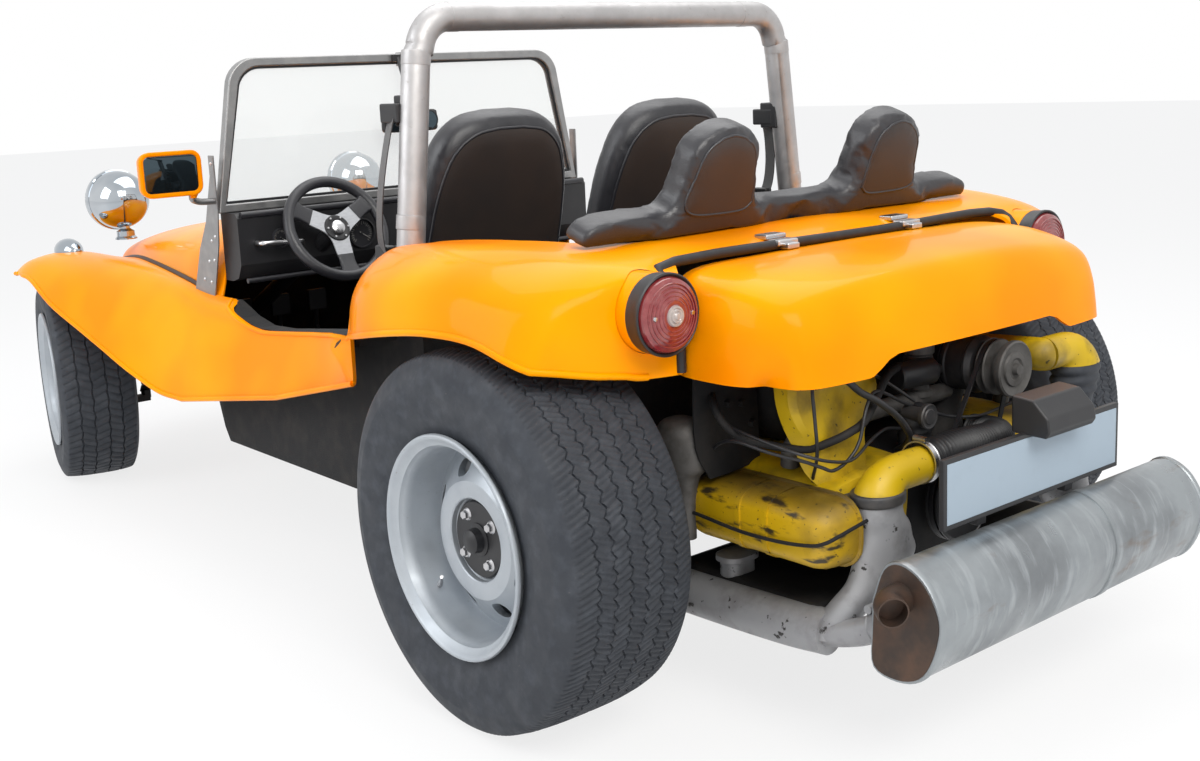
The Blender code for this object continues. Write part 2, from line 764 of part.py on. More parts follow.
def windscreen():
    """Frame with its two side brackets, and the glass in it."""
    half = FRAME_RAIL / 2
    def outline(inset):
        bottom = (SCREEN_BOTTOM_X - inset, SCREEN_BOTTOM_Z + inset)
        bend = 0.07 - inset * 0.6
        top_x = SCREEN_TOP_X - inset
        top_z = SCREEN_TOP_Z - inset
        corner = [
            (top_x + bend * 0.18, top_z - bend),
            (top_x, top_z - bend * 0.42),
            (top_x - bend * 0.35, top_z - bend * 0.1),
            (top_x - bend, top_z),
        ]
        left = [bottom] + corner
        return left + [(-x, z) for x, z in reversed(left)]
    frame = prism("windscreen_frame", outline(0), 1, SCREEN_Y - half, SCREEN_Y + half)
    cut(frame, prism("pane", outline(FRAME_RAIL * 0.8), 1, SCREEN_Y - 2 * half, SCREEN_Y + 2 * half))
    # Bracket columns: along from the screen, height as share of the deck
    bracket = [
        (half, 1.16),
        (half, 1.0),
        (0.000, 0.900),
        (-0.052, 0.735),
        (-0.170, 0.745),
        (-0.115, 0.880),
        (-0.062, 0.965),
        (-half, 1.10),
        (-half, 1.16),
    ]
    plate = [(SCREEN_Y + y, z_of(z)) for y, z in bracket]
    for sign in (-1, 1):
        low, high = sorted((sign * (SCREEN_BOTTOM_X - 0.002), sign * (SCREEN_BOTTOM_X + 0.005)))
        join(frame, prism("bracket", plate, 0, low, high))
    cut(frame, below_body("below"))
    finish(frame, "steel")
    pane = prism(
        "windscreen_glass",
        outline(FRAME_RAIL * 0.8 + SEAT_GAP),
        1,
        SCREEN_Y - GLASS_THICK / 2,
        SCREEN_Y + GLASS_THICK / 2,
    )
    finish(pane, "glass")


def roll_bar():
    foot = (BAR_FOOT_X, BAR_Y, BAR_FOOT_Z - 0.08)
    lean = (BAR_FOOT_X - BAR_TOP_X) / (BAR_TOP_Z - BAR_FOOT_Z)
    path = [foot, (BAR_TOP_X + lean * BAR_BEND, BAR_Y, BAR_TOP_Z - BAR_BEND)]
    for step in range(1, 6):
        angle = math.pi / 2 * step / 6
        x = BAR_TOP_X - BAR_BEND + BAR_BEND * math.cos(angle)
        z = BAR_TOP_Z - BAR_BEND + BAR_BEND * math.sin(angle)
        path.append((x, BAR_Y, z))
    path.append((BAR_TOP_X - BAR_BEND, BAR_Y, BAR_TOP_Z))
    bar = pipe("roll_bar", path + mirrored(path)[::-1], BAR_RADIUS, 12)
    cut(bar, below_body("below"))
    finish(bar, "steel")


def cushion(name, outline, thick, round_off, place):
    """A padded plate with rounded rims. The outline is flat and place gives its point in space."""
    outline = np.array(outline, float)
    middle = outline.mean(axis=0)
    reach = np.abs(outline - middle).max(axis=0)
    rings = []
    for level, inset in (
        (-0.5, 1.0),
        (-0.5 + 0.25 * round_off / thick, 0.45),
        (-0.5 + round_off / thick, 0.0),
        (0.5 - round_off / thick, 0.0),
        (0.5 - 0.25 * round_off / thick, 0.45),
        (0.5, 1.0),
    ):
        ring = middle + (outline - middle) * (1 - inset * round_off / reach)
        rings.append([place(u, v, level * thick) for u, v in ring])
    return loft(name, rings)


SEAT_X = 0.262
# Front seat back: half-width, height along the back, in shares of its height and half its width
SEAT_BACK_SHARES = (
    (0.84, 0.0),
    (0.96, 0.20),
    (1.0, 0.42),
    (0.99, 0.62),
    (0.93, 0.78),
    (0.78, 0.91),
    (0.52, 0.98),
    (0.18, 1.0),
)
SEAT_BACK_HIGH = 0.70
SEAT_BACK_HALF = 0.218
SEAT_LEAN = math.radians(17)
SEAT_BACK_FOOT = (0.445, 0.452)
SEAT_THICK = 0.095
CUSHION_TOP_Z = 0.515


def front_seat(name, centre):
    def lean(u, v, w):
        y = SEAT_BACK_FOOT[0] + v * math.sin(SEAT_LEAN) + w * math.cos(SEAT_LEAN)
        z = SEAT_BACK_FOOT[1] + v * math.cos(SEAT_LEAN) - w * math.sin(SEAT_LEAN)
        return (centre + u, y, z)

    half = [(u * SEAT_BACK_HALF, v * SEAT_BACK_HIGH) for u, v in SEAT_BACK_SHARES]
    outline = half + [(-u, v) for u, v in reversed(half)]
    seat = cushion(name, outline, SEAT_THICK, SEAT_THICK * 0.36, lean)
    low, high = (centre - 0.21, 0.0, 0.375), (centre + 0.21, 0.50, CUSHION_TOP_Z)
    join(seat, block("squab", low, high, 0.035))
    base_low = (centre - 0.15, 0.05, FLOOR_Z + TUB_WALL + SEAT_GAP)
    join(seat, block("base", base_low, (centre + 0.15, 0.44, 0.40)))
    finish(seat, "vinyl")


# Rear bench seen from the front, columns as shares of the half-width and of the height over the deck
BENCH_TOP_SHARES = (
    (1.00, 0.00),
    (0.985, 0.13),
    (0.90, 0.20),
    (0.72, 0.24),
    (0.640, 0.34),
    (0.615, 0.55),
    (0.590, 0.80),
    (0.520, 0.95),
    (0.435, 1.00),
    (0.345, 0.95),
    (0.280, 0.80),
    (0.260, 0.55),
    (0.235, 0.32),
    (0.150, 0.22),
    (0.0, 0.20),
)
BENCH_HALF = 0.572
BENCH_HIGH = 0.235
BENCH_FOOT = (1.262, 0.872)
BENCH_LEAN = math.radians(20)
BENCH_THICK = 0.085


def rear_bench():
    def lean(u, v, w):
        y = BENCH_FOOT[0] + v * math.sin(BENCH_LEAN) + w * math.cos(BENCH_LEAN)
        z = BENCH_FOOT[1] + v * math.cos(BENCH_LEAN) - w * math.sin(BENCH_LEAN)
        return (u, y, z)

    half = [(u * BENCH_HALF, v * BENCH_HIGH) for u, v in BENCH_TOP_SHARES]
    outline = half + [(-u, v) for u, v in reversed(half[:-1])]
    bench = cushion("rear_bench", outline, BENCH_THICK, BENCH_THICK * 0.3, lean)
    cut(bench, below_body("below"))
    back = REAR_TUB_HALF - TUB_WALL - 0.03
    join(bench, block("back", (-back, 1.15, REAR_FLOOR_Z + 0.03), (back, 1.245, BENCH_FOOT[1] + 0.03), 0.02))
    floor = REAR_FLOOR_Z + TUB_WALL + SEAT_GAP
    join(bench, block("squab", (-back, 0.83, floor), (back, 1.20, floor + 0.12), 0.03))
    finish(bench, "vinyl")


def tunnel_controls():
    top = TUNNEL_TOP_Z + SEAT_GAP
    plate = block("tunnel_controls", (-0.045, -0.18, top), (0.045, 0.50, top + 0.006))
    gear = through([(0, -0.02, top), (0, -0.01, top + 0.12), (0, 0.04, top + 0.27)], 2)
    join(plate, pipe("gear", gear, 0.008, 8))
    knob = ((0, -0.022), (0.016, -0.018), (0.021, 0.0), (0.016, 0.018), (0, 0.023))
    join(plate, turned("knob", knob, (0, 0.042, top + 0.285), (0, 0.2, 1), 12))
    join(plate, pipe("brake", [(0, 0.42, top + 0.004), (0, 0.32, top + 0.05), (0, 0.12, top + 0.115)], 0.013, 8))
    cut(plate, block("below", (-1, -1, 0), (1, 1, top)))
    finish(plate, "black")


def pedals():
    floor = FOOT_FLOOR_Z + TUB_WALL + SEAT_GAP
    base = block("pedals", (0.09, -0.50, floor), (0.44, -0.44, floor + 0.006))
    join(base, rod("shaft", (0.10, -0.47, floor + 0.025), (0.43, -0.47, floor + 0.025), 0.010, 8))
    for x in (0.11, 0.42):
        join(base, block("stand", (x - 0.005, -0.485, floor + 0.003), (x + 0.005, -0.455, floor + 0.032)))
    for x in (0.15, 0.27, 0.39):
        lever = [(x, -0.47, floor + 0.025), (x, -0.51, floor + 0.08), (x, -0.50, floor + 0.16)]
        join(base, pipe("lever", lever, 0.008, 6))
        join(base, block("pad", (x - 0.028, -0.506, floor + 0.13), (x + 0.028, -0.488, floor + 0.19)))
    finish(base, "black")


def mirrors():
    x, y, z = 0.030, SCREEN_Y + 0.062, 1.078
    body = block("interior_mirror", (x - 0.088, y - 0.012, z - 0.029), (x + 0.088, y + 0.010, z + 0.029), 0.009)
    top = SCREEN_TOP_Z - FRAME_RAIL * 0.4
    face = SCREEN_Y + FRAME_RAIL / 2 + SEAT_GAP
    join(body, pipe("stem", [(x, y, z), (x, y, z + 0.08), (x, face + 0.008, top)], 0.006, 10))
    join(body, block("foot", (x - 0.016, face, top - 0.010), (x + 0.016, face + 0.012, top + 0.008)))
    finish(body, "black")

    shell = block("side_mirror", (0.640, -0.165, 0.927), (0.802, -0.110, 1.042), 0.020)
    cut(shell, block("recess", (0.652, -0.116, 0.939), (0.790, -0.100, 1.030)))
    edge = SCREEN_BOTTOM_X + 0.005 + SEAT_GAP
    arm = [(edge, SCREEN_Y, 0.905), (edge + 0.012, SCREEN_Y, 0.905), (0.640, -0.150, 0.905), (0.668, -0.140, 0.940)]
    join(shell, pipe("arm", arm, 0.009, 10))
    finish(shell, "orange")


def head_light(name, sign):
    # Columns: radius, distance towards the front
    profile = (
        (0, -0.092),
        (0.036, -0.085),
        (0.067, -0.063),
        (0.088, -0.022),
        (0.093, 0.022),
        (0.097, 0.026),
        (0.097, 0.046),
        (0.086, 0.052),
        (0.050, 0.066),
        (0, 0.072),
    )
    x, y, z = sign * 0.435, -1.217, 0.853
    bowl = turned(name, profile, (x, y, z), (0, -1, 0), 16)
    # Columns: radius, distance down from inside the bowl
    stalk = ((0, 0.0), (0.015, 0.0), (0.015, 0.072), (0.028, 0.078), (0.028, 0.094), (0.019, 0.15), (0, 0.15))
    join(bowl, turned("stalk", stalk, (x, y + 0.02, z - 0.02), (0, 0, -1), 10))
    cut(bowl, below_bonnet("below"))
    finish(bowl, "chrome")


def indicator(name, sign):
    # Columns: distance along, radius
    stations = ((-0.070, 0.006), (-0.058, 0.030), (-0.020, 0.040), (0.020, 0.036), (0.050, 0.020), (0.060, 0.005))
    x, y, z = sign * 0.600, -1.250, 0.700
    path = [(x, y + along, z + 0.004) for along, size in stations]
    bullet = pipe(name, path, [size for along, size in stations], 16)
    cut(bullet, below_body("below"))
    finish(bullet, "chrome")


def tail_light(name, sign):
    x, y, z = LAMP_SPOT
    x = sign * x
    # Columns: radius, distance towards the rear
    profile = ((0, -0.10), (LAMP_RADIUS, -0.10), (LAMP_RADIUS, -0.004), (0.069, 0.000), (0.066, 0.008), (0.045, 0.017), (0, 0.022))
    lamp = turned(name, profile, (x, y, z), (0, 1, 0), LAMP_STEPS)
    finish(lamp, "red_lens")


def kingpin(sign):
    return Vector((sign * KINGPIN_X, FRONT_AXLE_Y, FRONT_TYRE_RADIUS))


def turn_about_kingpin(obj, sign):
    """Turns a piece about its kingpin to the angle in the photograph."""
    pin = Matrix.Translation(kingpin(sign))
    obj.data.transform(pin @ Matrix.Rotation(STEER_AT_REST, 4, "Z") @ pin.inverted())


def front_wheel_centre(sign):
    arm = Vector((sign * (FRONT_WHEEL_X - KINGPIN_X), 0, 0))
    return kingpin(sign) + Matrix.Rotation(STEER_AT_REST, 3, "Z") @ arm


def tyre(name, x, y, radius, width):
    # Columns: share of the wall height over the rim, share of the width
    wall = radius - RIM_RADIUS
    half = (
        (0.0, 0.40),
        (0.16, 0.455),
        (0.50, 0.498),
        (0.80, 0.480),
        (0.95, 0.430),
        (0.99, 0.34),
        (1.0, 0.15),
    )
    profile = [(RIM_RADIUS + SEAT_GAP + rise * (wall - SEAT_GAP), share * width) for rise, share in half]
    profile += [(r, -along) for r, along in reversed(profile)]
    return turned(name, profile, (x, y, radius), (1, 0, 0), TYRE_STEPS)


# Rim columns: radius, depth in from the outer face, both in metres of a rim this wide
def rim(name, x, y, height, width, dish, sign):
    seat = RIM_RADIUS - SEAT_GAP
    half = width / 2
    outer = half + RIM_PROUD
    wall = 0.007
    profile = [
        (0, half - dish + 0.020),
        (0.034, half - dish + 0.018),
        (0.080, half - dish),
        (0.118, half - dish + 0.016),
        (seat - 0.016, half - dish + 0.012),
        (seat - 0.010, outer - 0.030),
        (RIM_LIP_RADIUS - 0.006, outer),
        (RIM_LIP_RADIUS, outer),
        (RIM_LIP_RADIUS, outer - 0.007),
        (seat, half * 0.93 - 0.004),
        (seat, -half * 0.93 + 0.004),
        (RIM_LIP_RADIUS, -half - 0.006),
        (seat - 0.010, -half + 0.020),
        (seat - 0.016, half - dish - 0.006),
        (0.118, half - dish),
        (0.080, half - dish - 0.012),
        (0.0, half - dish - 0.012),
    ]
    made = turned(name, profile, (x, y, height), (sign, 0, 0), RIM_STEPS)
    for i in range(8):
        angle = 2 * math.pi * (i + 0.5) / 8
        near = (x + sign * (half - dish - 0.03), y + 0.108 * math.cos(angle), height + 0.108 * math.sin(angle))
        far = (x + sign * (half - dish + 0.05), y + 0.142 * math.cos(angle), height + 0.142 * math.sin(angle))
        slot = slot_cutter(near[0], far[0], y, height, angle)
        cut(made, slot)
    return made


def slot_cutter(low_x, high_x, y, z, angle):
    """A bean-shaped slot across a wheel."""
    outline = []
    for reach, turn in ((0.108, 0.16), (0.142, 0.19), (0.142, -0.19), (0.108, -0.16)):
        outline.append((y + reach * math.cos(angle + turn), z + reach * math.sin(angle + turn)))
    low, high = sorted((low_x, high_x))
    return prism("slot", outline, 0, low, high)


def wheels():
    for side, sign in (("left", 1), ("right", -1)):
        front = tyre(f"tyre_front_{side}", sign * FRONT_WHEEL_X, FRONT_AXLE_Y, FRONT_TYRE_RADIUS, FRONT_TYRE_WIDTH)
        rim_front = rim(
            f"rim_front_{side}",
            sign * FRONT_WHEEL_X,
            FRONT_AXLE_Y,
            FRONT_TYRE_RADIUS,
            FRONT_TYRE_WIDTH * 0.97,
            0.075,
            sign,
        )
        for obj, look in ((front, "rubber"), (rim_front, "alloy")):
            turn_about_kingpin(obj, sign)
            finish(obj, look)
            hang_on(obj, front_wheel_centre(sign))
        x, y, z = sign * REAR_WHEEL_X, REAR_AXLE_Y, REAR_TYRE_RADIUS
        rear = tyre(f"tyre_rear_{side}", x, y, z, REAR_TYRE_WIDTH)
        rim_rear = rim(f"rim_rear_{side}", x, y, z, REAR_TYRE_WIDTH * 0.98, 0.135, sign)
        for obj, look in ((rear, "rubber"), (rim_rear, "alloy")):
            finish(obj, look)
            hang_on(obj, (x, y, z))


DRUM_RADIUS = 0.118


def knuckle(name, sign):
    """Upright with its stub axle and brake drum."""
    x = sign * KINGPIN_X
    z = FRONT_TYRE_RADIUS
    inner = FRONT_WHEEL_X + FRONT_TYRE_WIDTH * 0.485 - 0.075 - 0.012
    face = sign * (inner - SEAT_GAP)
    drum = ((0, 0), (DRUM_RADIUS * 0.6, 0), (DRUM_RADIUS, -0.006), (DRUM_RADIUS, -0.065), (DRUM_RADIUS * 0.5, -0.075), (0, -0.075))
    made = turned(name, drum, (face, FRONT_AXLE_Y, z), (sign, 0, 0), 16)
    low, high = sorted((x - sign * 0.018, face - sign * 0.06))
    join(made, block("stub", (low, FRONT_AXLE_Y - 0.022, z - 0.022), (high, FRONT_AXLE_Y + 0.022, z + 0.022)))
    join(made, block("pillar", (x - 0.018, FRONT_AXLE_Y - 0.018, z - 0.090), (x + 0.018, FRONT_AXLE_Y + 0.018, z + 0.090)))
    turn_about_kingpin(made, sign)
    finish(made, "black")
    hang_on(made, kingpin(sign))


BEAM_Y = FRONT_AXLE_Y - 0.16
BEAM_HALF = 0.385
BEAM_RADIUS = 0.030


def front_beam():
    z = FRONT_TYRE_RADIUS
    beam = rod("front_beam", (-BEAM_HALF, BEAM_Y, z + 0.075), (BEAM_HALF, BEAM_Y, z + 0.075), BEAM_RADIUS, 10)
    join(beam, rod("lower", (-BEAM_HALF, BEAM_Y, z - 0.075), (BEAM_HALF, BEAM_Y, z - 0.075), BEAM_RADIUS, 10))
    for x in (-0.30, 0.30):
        join(beam, block("web", (x - 0.012, BEAM_Y - 0.024, z - 0.07), (x + 0.012, BEAM_Y + 0.024, z + 0.07)))
    join(beam, block("head", (-0.09, BEAM_Y + 0.01, z - 0.06), (0.09, TUB_PLAN[0][0] - SEAT_GAP, z + 0.12)))
    for sign in (-1, 1):
        for level in (-0.075, 0.075):
            # Arm from the tube end to just short of the kingpin
            root = Vector((sign * (BEAM_HALF - 0.01), BEAM_Y, z + level))
            tip = Vector((sign * (KINGPIN_X - 0.055), FRONT_AXLE_Y, z + level))
            join(beam, pipe("arm", [root, root + Vector((0, 0.03, 0)), tip], 0.017, 6))
            low, high = sorted((tip.x - sign * 0.01, sign * (KINGPIN_X + 0.006)))
            lift = math.copysign(0.0903, level)
            near, over = sorted((z + lift, z + lift + math.copysign(0.020, level)))
            join(beam, block("eye", (low, FRONT_AXLE_Y - 0.016, near), (high, FRONT_AXLE_Y + 0.016, over)))
            step_low, step_high = sorted((tip.x - sign * 0.012, tip.x + sign * 0.008))
            rise = sorted((z + level, z + lift + math.copysign(0.010, level)))
            y_low, y_high = FRONT_AXLE_Y - 0.016, FRONT_AXLE_Y + 0.016
            join(beam, block("drop", (step_low, y_low, rise[0]), (step_high, y_high, rise[1])))
    finish(beam, "black")


def rear_axle():
    z = REAR_TYRE_RADIUS
    box = block("rear_axle", (-0.13, 0.90, z - 0.08), (0.13, 1.29, z + 0.08), 0.03, True)
    reach = REAR_WHEEL_X + REAR_TYRE_WIDTH * 0.49 - 0.135 - 0.012 - SEAT_GAP
    join(box, rod("tube", (-reach + 0.05, REAR_AXLE_Y, z), (reach - 0.05, REAR_AXLE_Y, z), 0.036, 10))
    join(box, rod("torsion", (-0.50, 0.86, z - 0.03), (0.50, 0.86, z - 0.03), 0.045, 10))
    join(box, block("neck", (-0.06, KICK_UP_Y + SEAT_GAP, z - 0.06), (0.06, 0.95, z + 0.03)))
    for x in (-0.31, 0.31):
        join(box, block("horn", (x - 0.025, 0.84, z), (x + 0.025, 0.88, REAR_FLOOR_Z - SEAT_GAP)))
    for sign in (-1, 1):
        low, high = sorted((sign * 0.475, sign * 0.490))
        plate = [(0.84, z - 0.07), (0.84, z + 0.01), (1.22, z + 0.045), (1.22, z - 0.045)]
        join(box, prism("spring", plate, 0, low, high))
        drum = ((0, 0), (DRUM_RADIUS, 0), (DRUM_RADIUS, -0.05), (0.05, -0.06), (0, -0.06))
        join(box, turned("drum", drum, (sign * reach, REAR_AXLE_Y, z), (sign, 0, 0), 16))
    finish(box, "black")


def engine():
    z = 0.365
    case = block("engine_case", (-0.135, 1.2903, 0.225), (0.135, 1.66, 0.470), 0.02, True)
    join(case, rod("pulley_hub", (0, 1.60, z), (0, 1.70, z), 0.03, 16))
    pulley = ((0, 0), (0.085, 0), (0.085, 0.008), (0.070, 0.014), (0.085, 0.020), (0.085, 0.028), (0, 0.028))
    join(case, turned("pulley", pulley, (0, 1.675, z), (0, 1, 0), 20))
    finish(case, "black")

    shroud = block("fan_shroud", (-0.31, 1.33, 0.4703), (0.31, SHROUD_REAR_Y, 0.735), 0.03, True)
    finish(shroud, "black")

    for side, sign in (("left", 1), ("right", -1)):
        low, high = sorted((sign * 0.1353, sign * 0.36))
        bank = block(f"cylinder_bank_{side}", (low, 1.34, 0.285), (high, 1.68, 0.450), 0.012, True)
        low, high = sorted((sign * 0.355, sign * 0.440))
        cover = block("cover", (low, 1.365, 0.300), (high, 1.705, 0.425), 0.03)
        join(bank, cover)
        low, high = sorted((sign * 0.17, sign * 0.30))
        join(bank, block("tin", (low, 1.5203, 0.42), (high, 1.655, 0.60 if sign > 0 else 0.53), 0.01, True))
        finish(bank, "yellow_tin")

        # Heater duct: the left one leads to the middle, the right one up and forward to the shroud
        if sign > 0:
            top = RISER_TOP_Z
            path = [
                (0.262, 1.735, 0.440),
                (0.262, 1.735, 0.480),
                (0.235, 1.735, 0.500),
                (0.190, 1.728, 0.500),
                (0.10, 1.715, 0.480),
                (0.045, 1.715, 0.470),
            ]
        else:
            top = RISER_TOP_Z + RIGHT_RISE
            path = [
                (-0.275, 1.735, top - 0.02),
                (-0.275, 1.735, top + 0.025),
                (-0.268, 1.715, top + 0.060),
                (-0.262, 1.670, top + 0.075),
                (-0.262, 1.47, top + 0.075),
            ]
        duct = pipe(f"heater_duct_{side}", through(path, 2), 0.036, 10)
        cut(duct, block("seat", (-1, 1, 0), (1, 2, top + SEAT_GAP)))
        cut(duct, block("shroud_side", (-1, 1, 0), (1, SHROUD_REAR_Y + SEAT_GAP, 1)))
        finish(duct, "yellow_tin")

        # Heat pipe along the bottom, with its riser to the duct
        path = [(sign * 0.395, 1.02, 0.195), (sign * 0.395, 1.40, 0.195), (sign * 0.385, 1.70, 0.205)]
        heat = pipe(f"heat_pipe_{side}", through(path, 1), 0.042, 10)
        x = 0.262 if sign > 0 else 0.275
        riser = [(sign * 0.375, 1.69, 0.21), (sign * 0.345, 1.735, 0.26), (sign * 0.29, 1.735, 0.34), (sign * x, 1.735, 0.430), (sign * x, 1.735, top + 0.02)]
        join(heat, pipe("riser", through(riser, 2), [0.03] * 3 + [0.036] * 6, 10))
        path = [(sign * 0.385, 1.68, 0.205), (sign * 0.37, 1.76, 0.225), (sign * 0.36, MUFFLER_FRONT_Y + 0.02, 0.25)]
        join(heat, pipe("link", path, 0.024, 8))
        low, high = sorted((sign * 0.315, sign * 0.385))
        join(heat, block("stub", (low, 1.42, 0.20), (high, 1.47, 0.285 - SEAT_GAP)))
        cut(heat, block("top", (-1, 1, top), (1, 2, 1)))
        cut(heat, block("rear", (-1, MUFFLER_FRONT_Y - SEAT_GAP, 0), (1, 2, 1)))
        finish(heat, "exhaust")

    # Alternator on its pedestal
    alternator = rod("alternator", (-0.10, 1.5003, 0.578), (-0.10, 1.69, 0.578), 0.056, 16)
    join(alternator, rod("fan_disc", (-0.10, 1.68, 0.578), (-0.10, 1.755, 0.578), 0.020, 12))
    grooved = ((0, 0), (0.050, 0), (0.036, 0.012), (0.050, 0.024), (0, 0.024))
    join(alternator, turned("pulley", grooved, (-0.10, 1.722, 0.578), (0, 1, 0), 16))
    finish(alternator, "black")


RISER_TOP_Z = 0.460
RIGHT_RISE = 0.055
SHROUD_REAR_Y = 1.50
MUFFLER_HALF = 0.42
# Muffler section, columns: along, height
MUFFLER_SECTION = (
    (1.825, 0.315),
    (1.822, 0.250),
    (1.826, 0.192),
    (1.875, 0.180),
    (1.922, 0.195),
    (1.950, 0.235),
    (1.965, 0.290),
    (1.957, 0.330),
    (1.928, 0.371),
    (1.885, 0.390),
    (1.850, 0.375),
)
MUFFLER_FRONT_Y = 1.822


def muffler():
    body = prism("muffler", MUFFLER_SECTION, 0, -MUFFLER_HALF, MUFFLER_HALF)
    tail = [(MUFFLER_HALF - 0.01, 1.885, 0.33), (MUFFLER_HALF + 0.035, 1.892, 0.33), (MUFFLER_HALF + 0.055, 1.915, 0.325)]
    join(body, pipe("tail", tail, 0.026, 16))
    finish(body, "exhaust")


PLATE_HALF = 0.271
PLATE_Z = 0.465
PLATE_HIGH = 0.1245
PLATE_Y = 1.870


def number_plate():
    x = 0.0155
    board = block(
        "number_plate",
        (x - PLATE_HALF, PLATE_Y - 0.012, PLATE_Z - PLATE_HIGH / 2),
        (x + PLATE_HALF, PLATE_Y, PLATE_Z + PLATE_HIGH / 2),
        0.003,
        True,
    )
    join(board, block("lamp", (-0.115, PLATE_Y - 0.04, 0.520), (0.115, PLATE_Y + 0.05, 0.600), 0.012, True))
    for side in (-0.12, 0.15):
        join(board, block("leg", (side, PLATE_Y - 0.030, 0.37), (side + 0.025, PLATE_Y - 0.008, 0.45)))
    cut(board, prism("seat", MUFFLER_SECTION, 0, -MUFFLER_HALF, MUFFLER_HALF))
    finish(board, "plate")


body_shell()
bonnet()
engine_lid()
floor_tub()
dashboard()
steering()
windscreen()
roll_bar()
front_seat("seat_left", SEAT_X)
front_seat("seat_right", -SEAT_X)
rear_bench()
tunnel_controls()
pedals()
mirrors()
for side_name, side_sign in (("left", 1), ("right", -1)):
    head_light(f"headlight_{side_name}", side_sign)
    indicator(f"indicator_{side_name}", side_sign)
    tail_light(f"tail_light_{side_name}", side_sign)
    knuckle(f"knuckle_{side_name}", side_sign)
wheels()
front_beam()
rear_axle()
engine()
muffler()
number_plate()
for obj in bpy.context.scene.objects:
    obj.location.y -= MIDDLE_Y
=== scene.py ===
"""Looks of the open dune buggy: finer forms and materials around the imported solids.

The front of the vehicle faces -Y, its left side +X and up is +Z. Sizes are metres.
"""

import math

import bmesh
import bpy
import numpy as np
from mathutils import Matrix, Vector
from mathutils.bvhtree import BVHTree


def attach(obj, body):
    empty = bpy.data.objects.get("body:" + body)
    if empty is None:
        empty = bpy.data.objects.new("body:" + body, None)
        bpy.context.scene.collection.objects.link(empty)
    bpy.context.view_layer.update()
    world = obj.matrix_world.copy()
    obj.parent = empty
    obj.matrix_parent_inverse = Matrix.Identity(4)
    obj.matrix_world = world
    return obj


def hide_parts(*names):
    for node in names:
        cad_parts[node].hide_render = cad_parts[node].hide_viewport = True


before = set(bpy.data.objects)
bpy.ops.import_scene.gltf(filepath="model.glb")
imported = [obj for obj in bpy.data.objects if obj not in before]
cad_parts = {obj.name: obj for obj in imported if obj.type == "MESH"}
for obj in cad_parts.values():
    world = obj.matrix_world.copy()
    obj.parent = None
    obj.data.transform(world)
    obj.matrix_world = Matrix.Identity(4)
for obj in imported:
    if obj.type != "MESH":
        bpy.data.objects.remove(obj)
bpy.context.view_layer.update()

# Main driving sizes, the same as those of the solids
HALF_BASE = 1.2
BODY_HALF_WIDTH = 0.84
DECK_HEIGHT = 0.88
SHELL_WALL = 0.007
MIDDLE_Y = 0.1785
EPS = 0.0003
SIDES = (("left", 1), ("right", -1))

# Camera of the photograph
PHOTO_WIDE, PHOTO_HIGH = 1200, 761
CAMERA_SPOT = (2.1463, 3.2433, 1.1786)
CAMERA_YAW, CAMERA_PITCH, CAMERA_ROLL = 0.6910, -0.1873, -0.0441
CAMERA_FOCUS = 1405.35
CAMERA_MIDDLE = (601.60, 341.82)
SENSOR = 36
CLIP = 0.05, 100


# Materials


